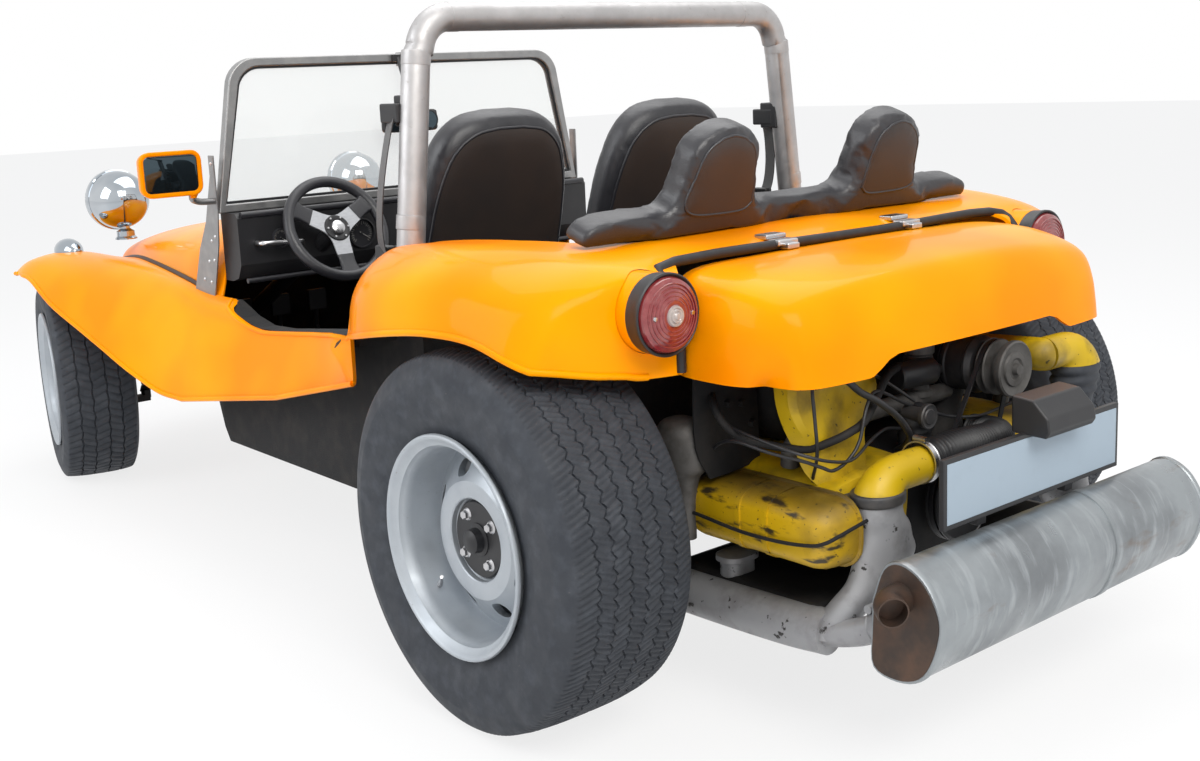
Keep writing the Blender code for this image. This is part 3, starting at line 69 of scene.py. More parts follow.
class Look:
    """A Principled material that can be given colour variation, dirt and bumps."""

    def __init__(self, name, colour, rough, metal=0.0, **more):
        self.made = bpy.data.materials.new(name)
        self.made.use_nodes = True
        self.nodes = self.made.node_tree.nodes
        self.links = self.made.node_tree.links
        self.bsdf = self.nodes["Principled BSDF"]
        self.bsdf.inputs["Base Color"].default_value = (*colour, 1)
        self.bsdf.inputs["Roughness"].default_value = rough
        self.bsdf.inputs["Metallic"].default_value = metal
        for key, value in more.items():
            self.bsdf.inputs[key.replace("_", " ")].default_value = value
        self.coords = self.nodes.new("ShaderNodeTexCoord").outputs["Object"]

    def noise(self, scale, detail=4.0, stretch=(1, 1, 1), rough=0.55):
        """A noise value in object space, stretched along the axes."""
        source = self.coords
        if stretch != (1, 1, 1):
            turn = self.nodes.new("ShaderNodeMapping")
            turn.inputs["Scale"].default_value = stretch
            self.links.new(source, turn.inputs["Vector"])
            source = turn.outputs["Vector"]
        node = self.nodes.new("ShaderNodeTexNoise")
        node.inputs["Scale"].default_value = scale
        node.inputs["Detail"].default_value = detail
        node.inputs["Roughness"].default_value = rough
        self.links.new(source, node.inputs["Vector"])
        return node.outputs["Fac"]

    def cells(self, scale, stretch=(1, 1, 1)):
        turn = self.nodes.new("ShaderNodeMapping")
        turn.inputs["Scale"].default_value = stretch
        self.links.new(self.coords, turn.inputs["Vector"])
        node = self.nodes.new("ShaderNodeTexVoronoi")
        node.inputs["Scale"].default_value = scale
        self.links.new(turn.outputs["Vector"], node.inputs["Vector"])
        return node.outputs["Distance"]

    def height(self):
        """The height over the ground."""
        node = self.nodes.new("ShaderNodeSeparateXYZ")
        self.links.new(self.coords, node.inputs["Vector"])
        return node.outputs["Z"]

    def band(self, value, low, high, to_low=0.0, to_high=1.0):
        """The value mapped from one span to another and held inside it."""
        node = self.nodes.new("ShaderNodeMapRange")
        for key, number in (("From Min", low), ("From Max", high), ("To Min", to_low), ("To Max", to_high)):
            node.inputs[key].default_value = number
        self.links.new(value, node.inputs["Value"])
        return node.outputs["Result"]

    def mix(self, share, colour):
        """Blends a second colour over the present base colour."""
        node = self.nodes.new("ShaderNodeMix")
        node.data_type = "RGBA"
        base = self.bsdf.inputs["Base Color"]
        if base.is_linked:
            self.links.new(base.links[0].from_socket, node.inputs["A"])
        else:
            node.inputs["A"].default_value = base.default_value
        node.inputs["B"].default_value = (*colour, 1)
        self.links.new(share, node.inputs["Factor"])
        self.links.new(node.outputs["Result"], base)
        return self

    def rough(self, value, low, high):
        self.links.new(self.band(value, 0.3, 0.7, low, high), self.bsdf.inputs["Roughness"])
        return self

    def bump(self, value, strength, distance):
        node = self.nodes.new("ShaderNodeBump")
        node.inputs["Strength"].default_value = strength
        node.inputs["Distance"].default_value = distance
        self.links.new(value, node.inputs["Height"])
        last = self.bsdf.inputs["Normal"]
        if last.is_linked:
            self.links.new(last.links[0].from_socket, node.inputs["Normal"])
        self.links.new(node.outputs["Normal"], last)
        return self


def make_looks():
    looks = {}
    gel = Look("gelcoat", (1.0, 0.27, 0.0), 0.32, Coat_Weight=0.30, Coat_Roughness=0.05, Coat_IOR=1.25)
    gel.bsdf.inputs["Specular IOR Level"].default_value = 0.03
    # Random lemon-yellow patches: painted highlight standing in for the lemon reflections on the glossy body
    gel.mix(gel.band(gel.noise(2.6, 2), 0.40, 0.68, 0.0, 0.9), (1.0, 0.38, 0.0))
    gel.mix(gel.band(gel.noise(240, 3), 0.73, 0.78, 0.0, 0.35), (0.30, 0.10, 0.005))
    gel.bump(gel.noise(18, 2), 0.05, 0.002)
    looks["gelcoat"] = gel

    vinyl = Look("vinyl", (0.020, 0.020, 0.024), 0.36, Specular_IOR_Level=0.6)
    vinyl.rough(vinyl.noise(9, 3), 0.28, 0.46)
    vinyl.bump(vinyl.cells(520), 0.35, 0.0007)
    vinyl.bump(vinyl.noise(26, 3), 0.25, 0.004)
    looks["vinyl"] = vinyl

    brown = Look("seat_back_cloth", (0.036, 0.024, 0.019), 0.5)
    brown.mix(brown.band(brown.noise(5, 3), 0.4, 0.65, 0, 0.7), (0.022, 0.018, 0.017))
    brown.bump(brown.cells(700), 0.3, 0.0005)
    looks["brown"] = brown

    rubber = Look("tyre_rubber", (0.028, 0.032, 0.040), 0.75)
    rubber.mix(rubber.band(rubber.noise(34, 5), 0.48, 0.72, 0, 0.6), (0.055, 0.062, 0.075))
    rubber.mix(rubber.band(rubber.noise(150, 3), 0.72, 0.76, 0, 0.5), (0.14, 0.13, 0.12))
    rubber.rough(rubber.noise(22, 3), 0.6, 0.85)
    rubber.bump(rubber.noise(300, 3), 0.25, 0.0006)
    looks["rubber"] = rubber

    black = Look("satin_black", (0.014, 0.014, 0.016), 0.45)
    black.mix(black.band(black.noise(14, 4), 0.5, 0.8, 0, 0.5), (0.035, 0.034, 0.033))
    black.bump(black.noise(260, 2), 0.15, 0.0004)
    looks["black"] = black

    dirty = Look("grimy_black", (0.008, 0.008, 0.009), 0.72, Specular_IOR_Level=0.3)
    dirty.mix(dirty.band(dirty.noise(11, 6), 0.45, 0.75, 0, 0.7), (0.030, 0.026, 0.022))
    dirty.bump(dirty.noise(70, 5), 0.5, 0.002)
    looks["dirty"] = dirty

    alloy = Look("rim_alloy", (0.44, 0.47, 0.50), 0.45, 0.55)
    alloy.mix(alloy.band(alloy.noise(16, 5), 0.45, 0.7, 0, 0.5), (0.34, 0.37, 0.41))
    alloy.mix(alloy.band(alloy.noise(130, 4), 0.68, 0.76, 0, 0.5), (0.24, 0.22, 0.20))
    alloy.rough(alloy.noise(20, 4), 0.36, 0.56)
    alloy.bump(alloy.noise(300, 3), 0.10, 0.0004)
    looks["alloy"] = alloy

    steel = Look("brushed_steel", (0.60, 0.60, 0.61), 0.3, 1.0)
    steel.mix(steel.band(steel.noise(6, 5, (1, 1, 6)), 0.4, 0.7, 0, 0.5), (0.42, 0.41, 0.42))
    steel.rough(steel.noise(30, 4), 0.2, 0.42)
    looks["steel"] = steel

    brushed = Look("brushed_plate", (0.50, 0.51, 0.53), 0.35, 0.7)
    brushed.mix(brushed.band(brushed.noise(60, 4, (1, 6, 1)), 0.42, 0.66, 0, 0.5), (0.38, 0.39, 0.41))
    brushed.rough(brushed.noise(80, 4), 0.28, 0.46)
    looks["brushed_plate"] = brushed

    frame_grey = Look("frame_grey", (0.30, 0.30, 0.30), 0.42, 0.85)
    frame_grey.mix(frame_grey.band(frame_grey.noise(25, 4), 0.45, 0.7, 0, 0.5), (0.42, 0.41, 0.40))
    frame_grey.rough(frame_grey.noise(40, 3), 0.34, 0.55)
    looks["frame_grey"] = frame_grey

    tube = Look("galvanised_tube", (0.42, 0.41, 0.41), 0.46, 0.75)
    tube.mix(tube.band(tube.noise(18, 5), 0.42, 0.70, 0, 0.6), (0.54, 0.53, 0.53))
    tube.mix(tube.band(tube.noise(90, 4), 0.66, 0.74, 0, 0.5), (0.25, 0.22, 0.20))
    tube.rough(tube.noise(40, 3), 0.38, 0.56)
    tube.bump(tube.noise(160, 3), 0.12, 0.0005)
    looks["tube"] = tube

    # Chrome: the bluish tint and the darker bluish patches are painted reflection of a grey-blue sky
    chrome = Look("chrome", (0.52, 0.55, 0.58), 0.05, 1.0)
    chrome.mix(chrome.band(chrome.noise(5, 3), 0.45, 0.62, 0, 0.7), (0.34, 0.38, 0.42))
    chrome.rough(chrome.noise(50, 3), 0.03, 0.09)
    looks["chrome"] = chrome

    cover = Look("rocker_cover_yellow", (0.56, 0.34, 0.002), 0.34)
    cover.mix(cover.band(cover.noise(8, 6), 0.46, 0.70, 0, 0.75), (0.20, 0.12, 0.01))
    # Darker towards the top and towards the bottom by height: painted shade of the shadowed engine bay,
    # together with soot along the top flange
    cover.mix(cover.band(cover.height(), 0.418, 0.450, 0, 0.85), (0.030, 0.020, 0.010))
    cover.mix(cover.band(cover.height(), 0.352, 0.318, 0, 0.6), (0.060, 0.040, 0.012))
    cover.mix(cover.band(cover.noise(26, 6, (1, 0.5, 2)), 0.56, 0.66, 0, 0.95), (0.014, 0.011, 0.008))
    cover.mix(cover.band(cover.noise(150, 3), 0.66, 0.70, 0, 0.9), (0.010, 0.008, 0.006))
    cover.rough(cover.noise(12, 4), 0.28, 0.62)
    cover.bump(cover.noise(70, 4), 0.25, 0.001)
    looks["cover"] = cover

    tin = Look("yellow_tin", (0.58, 0.38, 0.002), 0.42)
    tin.mix(tin.band(tin.noise(9, 6), 0.48, 0.70, 0, 0.85), (0.10, 0.065, 0.01))
    tin.mix(tin.band(tin.noise(70, 4), 0.66, 0.70, 0, 0.9), (0.012, 0.010, 0.008))
    tin.rough(tin.noise(12, 4), 0.35, 0.7)
    tin.bump(tin.noise(60, 4), 0.25, 0.0012)
    looks["tin"] = tin

    pipe_grey = Look("aluminised_pipe", (0.34, 0.34, 0.35), 0.55, 0.35)
    pipe_grey.mix(pipe_grey.band(pipe_grey.noise(14, 6), 0.48, 0.7, 0, 0.7), (0.16, 0.15, 0.15))
    pipe_grey.mix(pipe_grey.band(pipe_grey.noise(38, 5), 0.64, 0.67, 0, 0.95), (0.018, 0.014, 0.013))
    pipe_grey.bump(pipe_grey.noise(90, 4), 0.3, 0.001)
    looks["pipe_grey"] = pipe_grey

    muffler = Look("muffler_steel", (0.33, 0.355, 0.37), 0.36, 0.8)
    muffler.mix(muffler.band(muffler.noise(5, 6), 0.46, 0.7, 0, 0.75), (0.17, 0.18, 0.19))
    muffler.mix(muffler.band(muffler.noise(16, 6, (3, 0.6, 0.6)), 0.52, 0.68, 0, 0.55), (0.46, 0.49, 0.51))
    muffler.mix(muffler.band(muffler.noise(20, 6, (0.4, 1, 1)), 0.60, 0.72, 0, 0.6), (0.20, 0.14, 0.10))
    muffler.rough(muffler.noise(14, 5), 0.27, 0.55)
    muffler.bump(muffler.noise(22, 3), 0.12, 0.003)
    looks["muffler"] = muffler

    burnt = Look("burnt_steel", (0.060, 0.045, 0.038), 0.5, 0.6)
    burnt.mix(burnt.band(burnt.noise(16, 6), 0.45, 0.7, 0, 0.8), (0.13, 0.075, 0.05))
    burnt.bump(burnt.noise(60, 4), 0.3, 0.001)
    looks["burnt"] = burnt

    casting = Look("grey_casting", (0.11, 0.105, 0.10), 0.6, 0.4)
    casting.mix(casting.band(casting.noise(30, 6), 0.45, 0.72, 0, 0.8), (0.05, 0.045, 0.04))
    casting.bump(casting.noise(120, 4), 0.4, 0.001)
    looks["casting"] = casting

    dark_casting = Look("alternator_grey", (0.055, 0.054, 0.056), 0.5, 0.5)
    dark_casting.mix(dark_casting.band(dark_casting.noise(24, 5), 0.45, 0.7, 0, 0.7), (0.11, 0.10, 0.09))
    dark_casting.bump(dark_casting.noise(140, 4), 0.3, 0.0008)
    looks["casting_dark"] = dark_casting

    marks = Look("gauge_marks", (0.62, 0.60, 0.55), 0.5)
    marks.mix(marks.band(marks.noise(60, 3), 0.5, 0.8, 0, 0.4), (0.35, 0.33, 0.30))
    looks["marks"] = marks

    webbing = Look("belt_webbing", (0.016, 0.016, 0.018), 0.6, Sheen_Weight=0.3)
    webbing.mix(webbing.band(webbing.noise(30, 4), 0.45, 0.75, 0, 0.5), (0.035, 0.033, 0.033))
    webbing.bump(webbing.cells(900, (1, 1, 0.4)), 0.5, 0.0005)
    looks["webbing"] = webbing

    seal = Look("rubber_seal", (0.012, 0.012, 0.014), 0.55)
    seal.mix(seal.band(seal.noise(40, 4), 0.45, 0.75, 0, 0.5), (0.032, 0.030, 0.030))
    seal.bump(seal.noise(220, 3), 0.2, 0.0005)
    looks["rubber_seal"] = seal

    glass = Look("clear_glass", (0.80, 0.86, 0.84), 0.02, 0.0, Alpha=0.16, Specular_IOR_Level=0.8)
    glass.rough(glass.noise(30, 3), 0.01, 0.05)
    looks["glass"] = glass

    silvered = Look("mirror_glass", (0.06, 0.085, 0.10), 0.04, 0.9)
    silvered.rough(silvered.noise(30, 3), 0.02, 0.06)
    looks["silvered"] = silvered

    lens = Look("lens_red", (0.22, 0.016, 0.020), 0.14, Coat_Weight=1.0, Coat_Roughness=0.04)
    lens.mix(lens.band(lens.noise(60, 2), 0.4, 0.7, 0, 0.4), (0.34, 0.10, 0.09))
    looks["lens"] = lens

    clear = Look("lens_clear", (0.42, 0.36, 0.33), 0.12, Coat_Weight=1.0)
    clear.mix(clear.band(clear.noise(60, 2), 0.4, 0.7, 0, 0.4), (0.26, 0.20, 0.19))
    looks["lens_clear"] = clear

    # Headlight lens: the bluish tint and the darker bluish patches are painted reflection of a grey-blue sky
    lamp = Look("lamp_glass", (0.60, 0.63, 0.66), 0.10, 0.5, Coat_Weight=1.0)
    lamp.mix(lamp.band(lamp.noise(60, 2), 0.4, 0.7, 0, 0.4), (0.46, 0.49, 0.52))
    looks["lamp_glass"] = lamp

    plate = Look("blank_plate", (0.32, 0.395, 0.465), 0.42)
    plate.mix(plate.band(plate.noise(40, 4), 0.55, 0.8, 0, 0.25), (0.27, 0.33, 0.39))
    looks["plate"] = plate

    carpet = Look("floor_mat", (0.010, 0.010, 0.011), 0.9)
    carpet.mix(carpet.band(carpet.noise(20, 5), 0.45, 0.75, 0, 0.6), (0.035, 0.030, 0.026))
    carpet.bump(carpet.noise(420, 3), 0.6, 0.002)
    looks["carpet"] = carpet

    bead = Look("beading", (0.030, 0.014, 0.010), 0.5)
    bead.mix(bead.band(bead.noise(30, 3), 0.4, 0.7, 0, 0.5), (0.012, 0.009, 0.009))
    looks["bead"] = bead
    return {key: look.made for key, look in looks.items()}


# Geometry helpers


def added(name, data):
    """A new object in the scene."""
    obj = bpy.data.objects.new(name, data)
    bpy.context.scene.collection.objects.link(obj)
    return obj


def turns(count):
    """The angles of an even division of the circle."""
    return [2 * math.pi * step / count for step in range(count)]


def mesh_of(name, points, faces, fold=40.0):
    """A mesh object with faces turned outwards, smooth up to the fold angle."""
    mesh = bpy.data.meshes.new(name)
    mesh.from_pydata([tuple(map(float, point)) for point in points], [], [tuple(face) for face in faces])
    edit = bmesh.new()
    edit.from_mesh(mesh)
    bmesh.ops.recalc_face_normals(edit, faces=edit.faces)
    edit.to_mesh(mesh)
    edit.free()
    return folded(added(name, mesh), fold)


def folded(obj, fold=40.0):
    """Smooth shading, with edges sharp over the fold angle."""
    limit = math.radians(fold)
    edit = bmesh.new()
    edit.from_mesh(obj.data)
    for face in edit.faces:
        face.smooth = True
    for edge in edit.edges:
        edge.smooth = not edge.is_manifold or edge.calc_face_angle(math.pi) < limit
    edit.to_mesh(obj.data)
    edit.free()
    return obj


def baked(obj):
    """Turns the modifiers of an object into its mesh."""
    graph = bpy.context.evaluated_depsgraph_get()
    made = bpy.data.meshes.new_from_object(obj.evaluated_get(graph))
    obj.modifiers.clear()
    obj.data = made
    return obj


def soften(obj, width, segments=3, angle=35.0):
    """Rounds the sharp edges."""
    change = obj.modifiers.new("soften", "BEVEL")
    change.width = width
    change.segments = segments
    change.limit_method = "ANGLE"
    change.angle_limit = math.radians(angle)
    change.harden_normals = True
    return baked(obj)


def combine(obj, other, operation):
    change = obj.modifiers.new(operation, "BOOLEAN")
    change.operation = operation
    change.solver = "EXACT"
    change.object = other
    baked(obj)
    bpy.data.objects.remove(other, do_unlink=True)
    return obj


def cut(obj, *cutters):
    for cutter in cutters:
        combine(obj, cutter, "DIFFERENCE")
    return obj


def merged(name, *parts):
    """Several meshes as one object, each keeping its own closed surface."""
    edit = bmesh.new()
    for part in parts:
        mesh = part.data.copy()
        mesh.transform(part.matrix_world)
        edit.from_mesh(mesh)
        bpy.data.meshes.remove(mesh)
        bpy.data.objects.remove(part, do_unlink=True)
    mesh = bpy.data.meshes.new(name)
    edit.to_mesh(mesh)
    edit.free()
    return added(name, mesh)


def through(points, steps):
    """A smooth curve through the points, with this many parts between neighbours."""
    points = np.array(points, float)
    whole = np.vstack([2 * points[0] - points[1], points, 2 * points[-1] - points[-2]])
    found = []
    for i in range(len(points) - 1):
        a, b, c, d = whole[i : i + 4]
        for step in range(steps):
            t = step / steps
            curve = 2 * b + (c - a) * t + (2 * a - 5 * b + 4 * c - d) * t**2 + (3 * b - a - 3 * c + d) * t**3
            found.append(curve / 2)
    found.append(points[-1])
    return np.array(found)


def grid_of(rows, across_steps, along_steps):
    """A smooth grid through control rows of equal length."""
    fine = np.array([through(row, across_steps) for row in rows])
    columns = [through(fine[:, i], along_steps) for i in range(fine.shape[1])]
    return np.array(columns).transpose(1, 0, 2)


def normals_of(grid):
    normal = np.cross(np.gradient(grid, axis=1), np.gradient(grid, axis=0))
    normal /= np.linalg.norm(normal, axis=2, keepdims=True)
    return -normal if normal[..., 2].sum() < 0 else normal


def skin(name, grid, wall):
    """A closed sheet of this thickness below a grid of points."""
    rows, columns = grid.shape[:2]
    normal = normals_of(grid)
    points = np.vstack([grid.reshape(-1, 3), (grid - wall * normal).reshape(-1, 3)])
    under = rows * columns
    faces = []
    for r in range(rows - 1):
        for c in range(columns - 1):
            a = r * columns + c
            faces.append((a, a + 1, a + columns + 1, a + columns))
            faces.append((under + a, under + a + columns, under + a + columns + 1, under + a + 1))
    edge = [(0, c) for c in range(columns)]
    edge += [(r, columns - 1) for r in range(1, rows)]
    edge += [(rows - 1, c) for c in range(columns - 2, -1, -1)]
    edge += [(r, 0) for r in range(rows - 2, 0, -1)]
    loop = [r * columns + c for r, c in edge]
    for a, b in zip(loop, loop[1:] + loop[:1]):
        faces.append((a, b, under + b, under + a))
    return mesh_of(name, points, faces, 60)


def loft(name, rings, fold=40.0, capped=True, closed=True):
    """A surface through rings of points."""
    rings = [np.array(ring, float) for ring in rings]
    count = len(rings[0])
    faces = []
    last = count if closed else count - 1
    for r in range(len(rings) - 1):
        for c in range(last):
            a = r * count + c
            b = r * count + (c + 1) % count
            faces.append((a, b, b + count, a + count))
    if capped:
        faces.append(tuple(range(count)))
        first = (len(rings) - 1) * count
        faces.append(tuple(range(first, first + count)))
    return mesh_of(name, np.vstack(rings), faces, fold)


def prism(name, outline, axis, low, high, fold=40.0):
    """A flat outline pulled along an axis. Its columns are the other two axes in order."""
    other = [i for i in range(3) if i != axis]
    rings = []
    for level in (low, high):
        ring = np.zeros((len(outline), 3))
        ring[:, other] = outline
        ring[:, axis] = level
        rings.append(ring)
    return loft(name, rings, fold)


def block(name, low, high, round_off=0.0, segments=3):
    low, high = np.minimum(low, high), np.maximum(low, high)
    outline = [(low[0], low[1]), (high[0], low[1]), (high[0], high[1]), (low[0], high[1])]
    obj = prism(name, outline, 2, low[2], high[2])
    return soften(obj, round_off, segments) if round_off else obj


def around(axis):
    """Two unit directions across an axis."""
    axis = Vector(axis).normalized()
    side = Vector((1, 0, 0)) if abs(axis.z) > 0.9 else Vector((0, 0, 1))
    side = (side - axis * side.dot(axis)).normalized()
    return axis, side, axis.cross(side)


def turned(name, profile, centre, axis, steps=48, fold=35.0):
    """A turned solid. Profile columns: radius, distance along the axis."""
    axis, side, up = around(axis)
    centre = Vector(centre)
    on_axis = profile[0][0] == 0 and profile[-1][0] == 0
    inner = profile[1:-1] if on_axis else profile
    count = len(inner)
    points = []
    for angle in turns(steps):
        out = side * math.cos(angle) + up * math.sin(angle)
        points += [centre + axis * along + out * radius for radius, along in inner]
    faces = []
    for step in range(steps):
        a = step * count
        b = (step + 1) % steps * count
        faces += [(a + i, a + i + 1, b + i + 1, b + i) for i in range(count - 1)]
        if not on_axis:
            faces.append((a + count - 1, a, b, b + count - 1))
    if on_axis:
        for end, i in ((profile[0], 0), (profile[-1], count - 1)):
            if end[1] == inner[i][1]:
                faces.append(tuple(step * count + i for step in range(steps)))
                continue
            points.append(centre + axis * end[1])
            faces += [(s * count + i, (s + 1) % steps * count + i, len(points) - 1) for s in range(steps)]
    return mesh_of(name, points, faces, fold)


def pipe(name, path, radius, sides=16, fold=40.0, closed=False):
    """A round bar along a path. The radius may be a list, one for each point."""
    path = [Vector(point) for point in path]
    count = len(path)
    radii = list(radius) if isinstance(radius, (list, tuple, np.ndarray)) else [radius] * count
    ways = []
    for i in range(count):
        after = path[(i + 1) % count] if closed else path[min(i + 1, count - 1)]
        before = path[(i - 1) % count] if closed else path[max(i - 1, 0)]
        ways.append((after - before).normalized())
    side = ways[0].orthogonal().normalized()
    rings = []
    for point, way, size in zip(path, ways, radii):
        side = (side - way * side.dot(way)).normalized()
        up = way.cross(side)
        rings.append([tuple(point + (side * math.cos(a) + up * math.sin(a)) * size) for a in turns(sides)])
    if closed:
        rings.append(rings[0])
    return loft(name, rings, fold, not closed)


def spiral(name, points, radius, ridge, pitch, sides=18, steps=10):
    """A corrugated hose: a pipe whose radius rises and falls along its length."""
    path = through(points, steps * 4)
    lengths = np.concatenate([[0], np.cumsum(np.linalg.norm(np.diff(path, axis=0), axis=1))])
    count = max(int(lengths[-1] / pitch * 6), 8)
    even = np.linspace(0, lengths[-1], count)
    path = np.array([np.interp(even, lengths, path[:, i]) for i in range(3)]).T
    radii = radius + ridge * np.cos(2 * math.pi * even / pitch)
    return pipe(name, path, list(radii), sides, 70)


def mirrored(points):
    return [(-x, y, z) for x, y, z in points]


def moved(obj, name, offset):
    mesh = obj.data.copy()
    mesh.transform(Matrix.Translation(offset))
    return added(name, mesh)


def piece(obj, look, stands_for=(), body="chassis"):
    """Gives a piece its material, moves it to the shared frame and lets it ride on its body."""
    obj.data.materials.clear()
    obj.data.materials.append(LOOKS[look])
    obj.data.transform(Matrix.Translation((0, -MIDDLE_Y, 0)))
    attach(obj, body)
    if stands_for:
        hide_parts(*stands_for)
    return obj


# Body

# Body side columns as shares: station, sweep, inner x, z, crown x, z, shoulder x, z, lip x, z, middle z
BODY_SIDE_SHARES = (
    (-1.245, 0.07, 0.46, 0.660, 0.67, 0.715, 0.81, 0.708, 0.870, 0.680, 0.620),
    (-1.130, 0.02, 0.48, 0.725, 0.68, 0.782, 0.83, 0.770, 0.900, 0.728, 0.700),
    (-1.000, 0.0, 0.51, 0.757, 0.69, 0.800, 0.84, 0.785, 0.912, 0.732, 0.740),
    (-0.833, 0.0, 0.565, 0.779, 0.715, 0.795, 0.845, 0.752, 0.915, 0.668, 0.770),
    (-0.667, 0.0, 0.613, 0.784, 0.728, 0.778, 0.835, 0.700, 0.905, 0.585, 0.790),
    (-0.500, 0.0, 0.650, 0.778, 0.740, 0.750, 0.822, 0.648, 0.887, 0.508, 0.790),
    (-0.333, 0.0, 0.684, 0.767, 0.750, 0.716, 0.810, 0.600, 0.855, 0.440, 0.790),
    (-0.167, 0.0, 0.702, 0.745, 0.756, 0.682, 0.800, 0.580, 0.835, 0.430, 0.790),
    (0.083, 0.0, 0.710, 0.750, 0.745, 0.682, 0.780, 0.591, 0.815, 0.455, 0.790),
    (0.375, 0.0, 0.696, 0.795, 0.738, 0.750, 0.780, 0.660, 0.803, 0.540, 0.850),
    (0.542, 0.0, 0.684, 0.909, 0.762, 0.875, 0.821, 0.773, 0.833, 0.610, 0.940),
    (0.625, 0.0, 0.678, 0.960, 0.786, 0.949, 0.875, 0.864, 0.893, 0.700, 0.980),
    (0.750, 0.0, 0.667, 0.983, 0.821, 0.980, 0.940, 0.909, 0.976, 0.770, 0.990),
    (0.950, 0.0, 0.649, 0.994, 0.821, 0.994, 0.955, 0.935, 1.000, 0.795, 1.000),
    (1.110, 0.01, 0.600, 0.985, 0.790, 0.980, 0.930, 0.915, 0.985, 0.775, 0.990),
    (1.200, 0.04, 0.570, 0.962, 0.755, 0.958, 0.890, 0.900, 0.955, 0.755, 0.955),
    (1.238, 0.07, 0.560, 0.915, 0.740, 0.912, 0.860, 0.855, 0.930, 0.745, 0.890),
    (1.245, 0.085, 0.560, 0.740, 0.735, 0.742, 0.850, 0.745, 0.915, 0.740, 0.740),
)
# Lower edge of the body side in three runs, columns as shares: along, height
ARCH_FRONT_SHARES = (
    (-1.30, 0.690), (-1.15, 0.722), (-1.06, 0.732), (-0.96, 0.722), (-0.79, 0.645), (-0.55, 0.545),
    (-0.40, 0.478), (-0.30, 0.445), (-0.20, 0.440),
)
SILL_SHARES = ((0.20, 0.520), (0.560, 0.635), (0.575, 0.648), (0.597, 0.750))
ARCH_REAR_SHARES = (
    (0.600, 0.765), (0.70, 0.788), (0.86, 0.825), (0.98, 0.842), (1.08, 0.835), (1.17, 0.790),
    (1.21, 0.762), (1.24, 0.745), (1.40, 0.735),
)
DOOR_EDGE_SHARES = (
    (-0.205, 1.10), (-0.190, 0.790), (-0.120, 0.760), (-0.010, 0.705), (0.060, 0.686), (0.150, 0.690),
    (0.460, 0.735), (0.545, 0.755), (0.566, 0.800), (0.590, 0.880), (0.625, 0.945), (0.660, 0.980),
    (0.680, 1.10),
)
COCKPIT_SHARES = (
    (-0.205, 0.700), (0.400, 0.690), (0.620, 0.668), (0.900, 0.650), (1.000, 0.620), (1.060, 0.560),
    (1.075, 0.500),
)
HOOD_SHARES = (
    (-1.215, 0.440), (-1.130, 0.480), (-1.000, 0.510), (-0.833, 0.565), (-0.667, 0.613),
    (-0.500, 0.650), (-0.333, 0.684), (-0.200, 0.699),
)
LID_SHARES = ((1.175, 0.500), (1.190, 0.560), (1.230, 0.598), (1.60, 0.598))
LAMP_RADIUS = 0.072
LAMP_SPOT = (0.563, 1.5085, 0.775)
FINE = 6


def x_of(share):
    return share * BODY_HALF_WIDTH


def y_of(share):
    return share * HALF_BASE


def z_of(share):
    return share * DECK_HEIGHT


def body_grid():
    rows = []
    for station, sweep, *pairs, middle in BODY_SIDE_SHARES:
        half = [(0, middle), (pairs[0] * 0.5, pairs[1] * 0.5 + middle * 0.5)]
        half += list(zip(pairs[0::2], pairs[1::2]))
        last = len(half) - 1
        left = []
        for i, (x, z) in enumerate(half):
            y = y_of(station) - math.copysign(sweep, station) * HALF_BASE * (i / last) ** 2
            left.append((x_of(x), y, z_of(z)))
        rows.append(mirrored(left)[:0:-1] + left)
    return grid_of(rows, FINE, FINE)


def both_sides(shares):
    left = [(x_of(x), y_of(y)) for y, x in shares]
    return left + [(-x, y) for x, y in reversed(left)]


def edge_points(shares, steps):
    return [tuple(point) for point in through([(y_of(y), z_of(z)) for y, z in shares], steps)]


def tree_of(grid):
    rows, columns = grid.shape[:2]
    faces = []
    for r in range(rows - 1):
        for c in range(columns - 1):
            a = r * columns + c
            faces.append((a, a + 1, a + columns + 1, a + columns))
    return BVHTree.FromPolygons([tuple(point) for point in grid.reshape(-1, 3)], faces)


def dropped(tree, x, y, lift=0.0):
    """The point of a surface under or over this spot."""
    hit = tree.ray_cast(Vector((x, y, 3)), Vector((0, 0, -1)))[0]
    if hit is None:
        hit = tree.find_nearest(Vector((x, y, DECK_HEIGHT)))[0]
    return (x, y, hit.z + lift)


def from_side(tree, sign, y, z):
    hit = tree.ray_cast(Vector((sign * 3, y, z)), Vector((-sign, 0, 0)))[0]
    if hit is None:
        hit = tree.find_nearest(Vector((sign * BODY_HALF_WIDTH, y, z)))[0]
    return tuple(hit)


# Rounded edges of the moulding, its rolled lips and the beading of the bonnet
EDGE_ROUND = 0.0025
ROLLED_EDGE, ROLLED_DOOR, ROLLED_RISE = 0.0065, 0.0055, 0.004
BEAD_RADIUS, BEAD_LIFT = 0.0065, 0.002
LAMP_BORE = 0.4


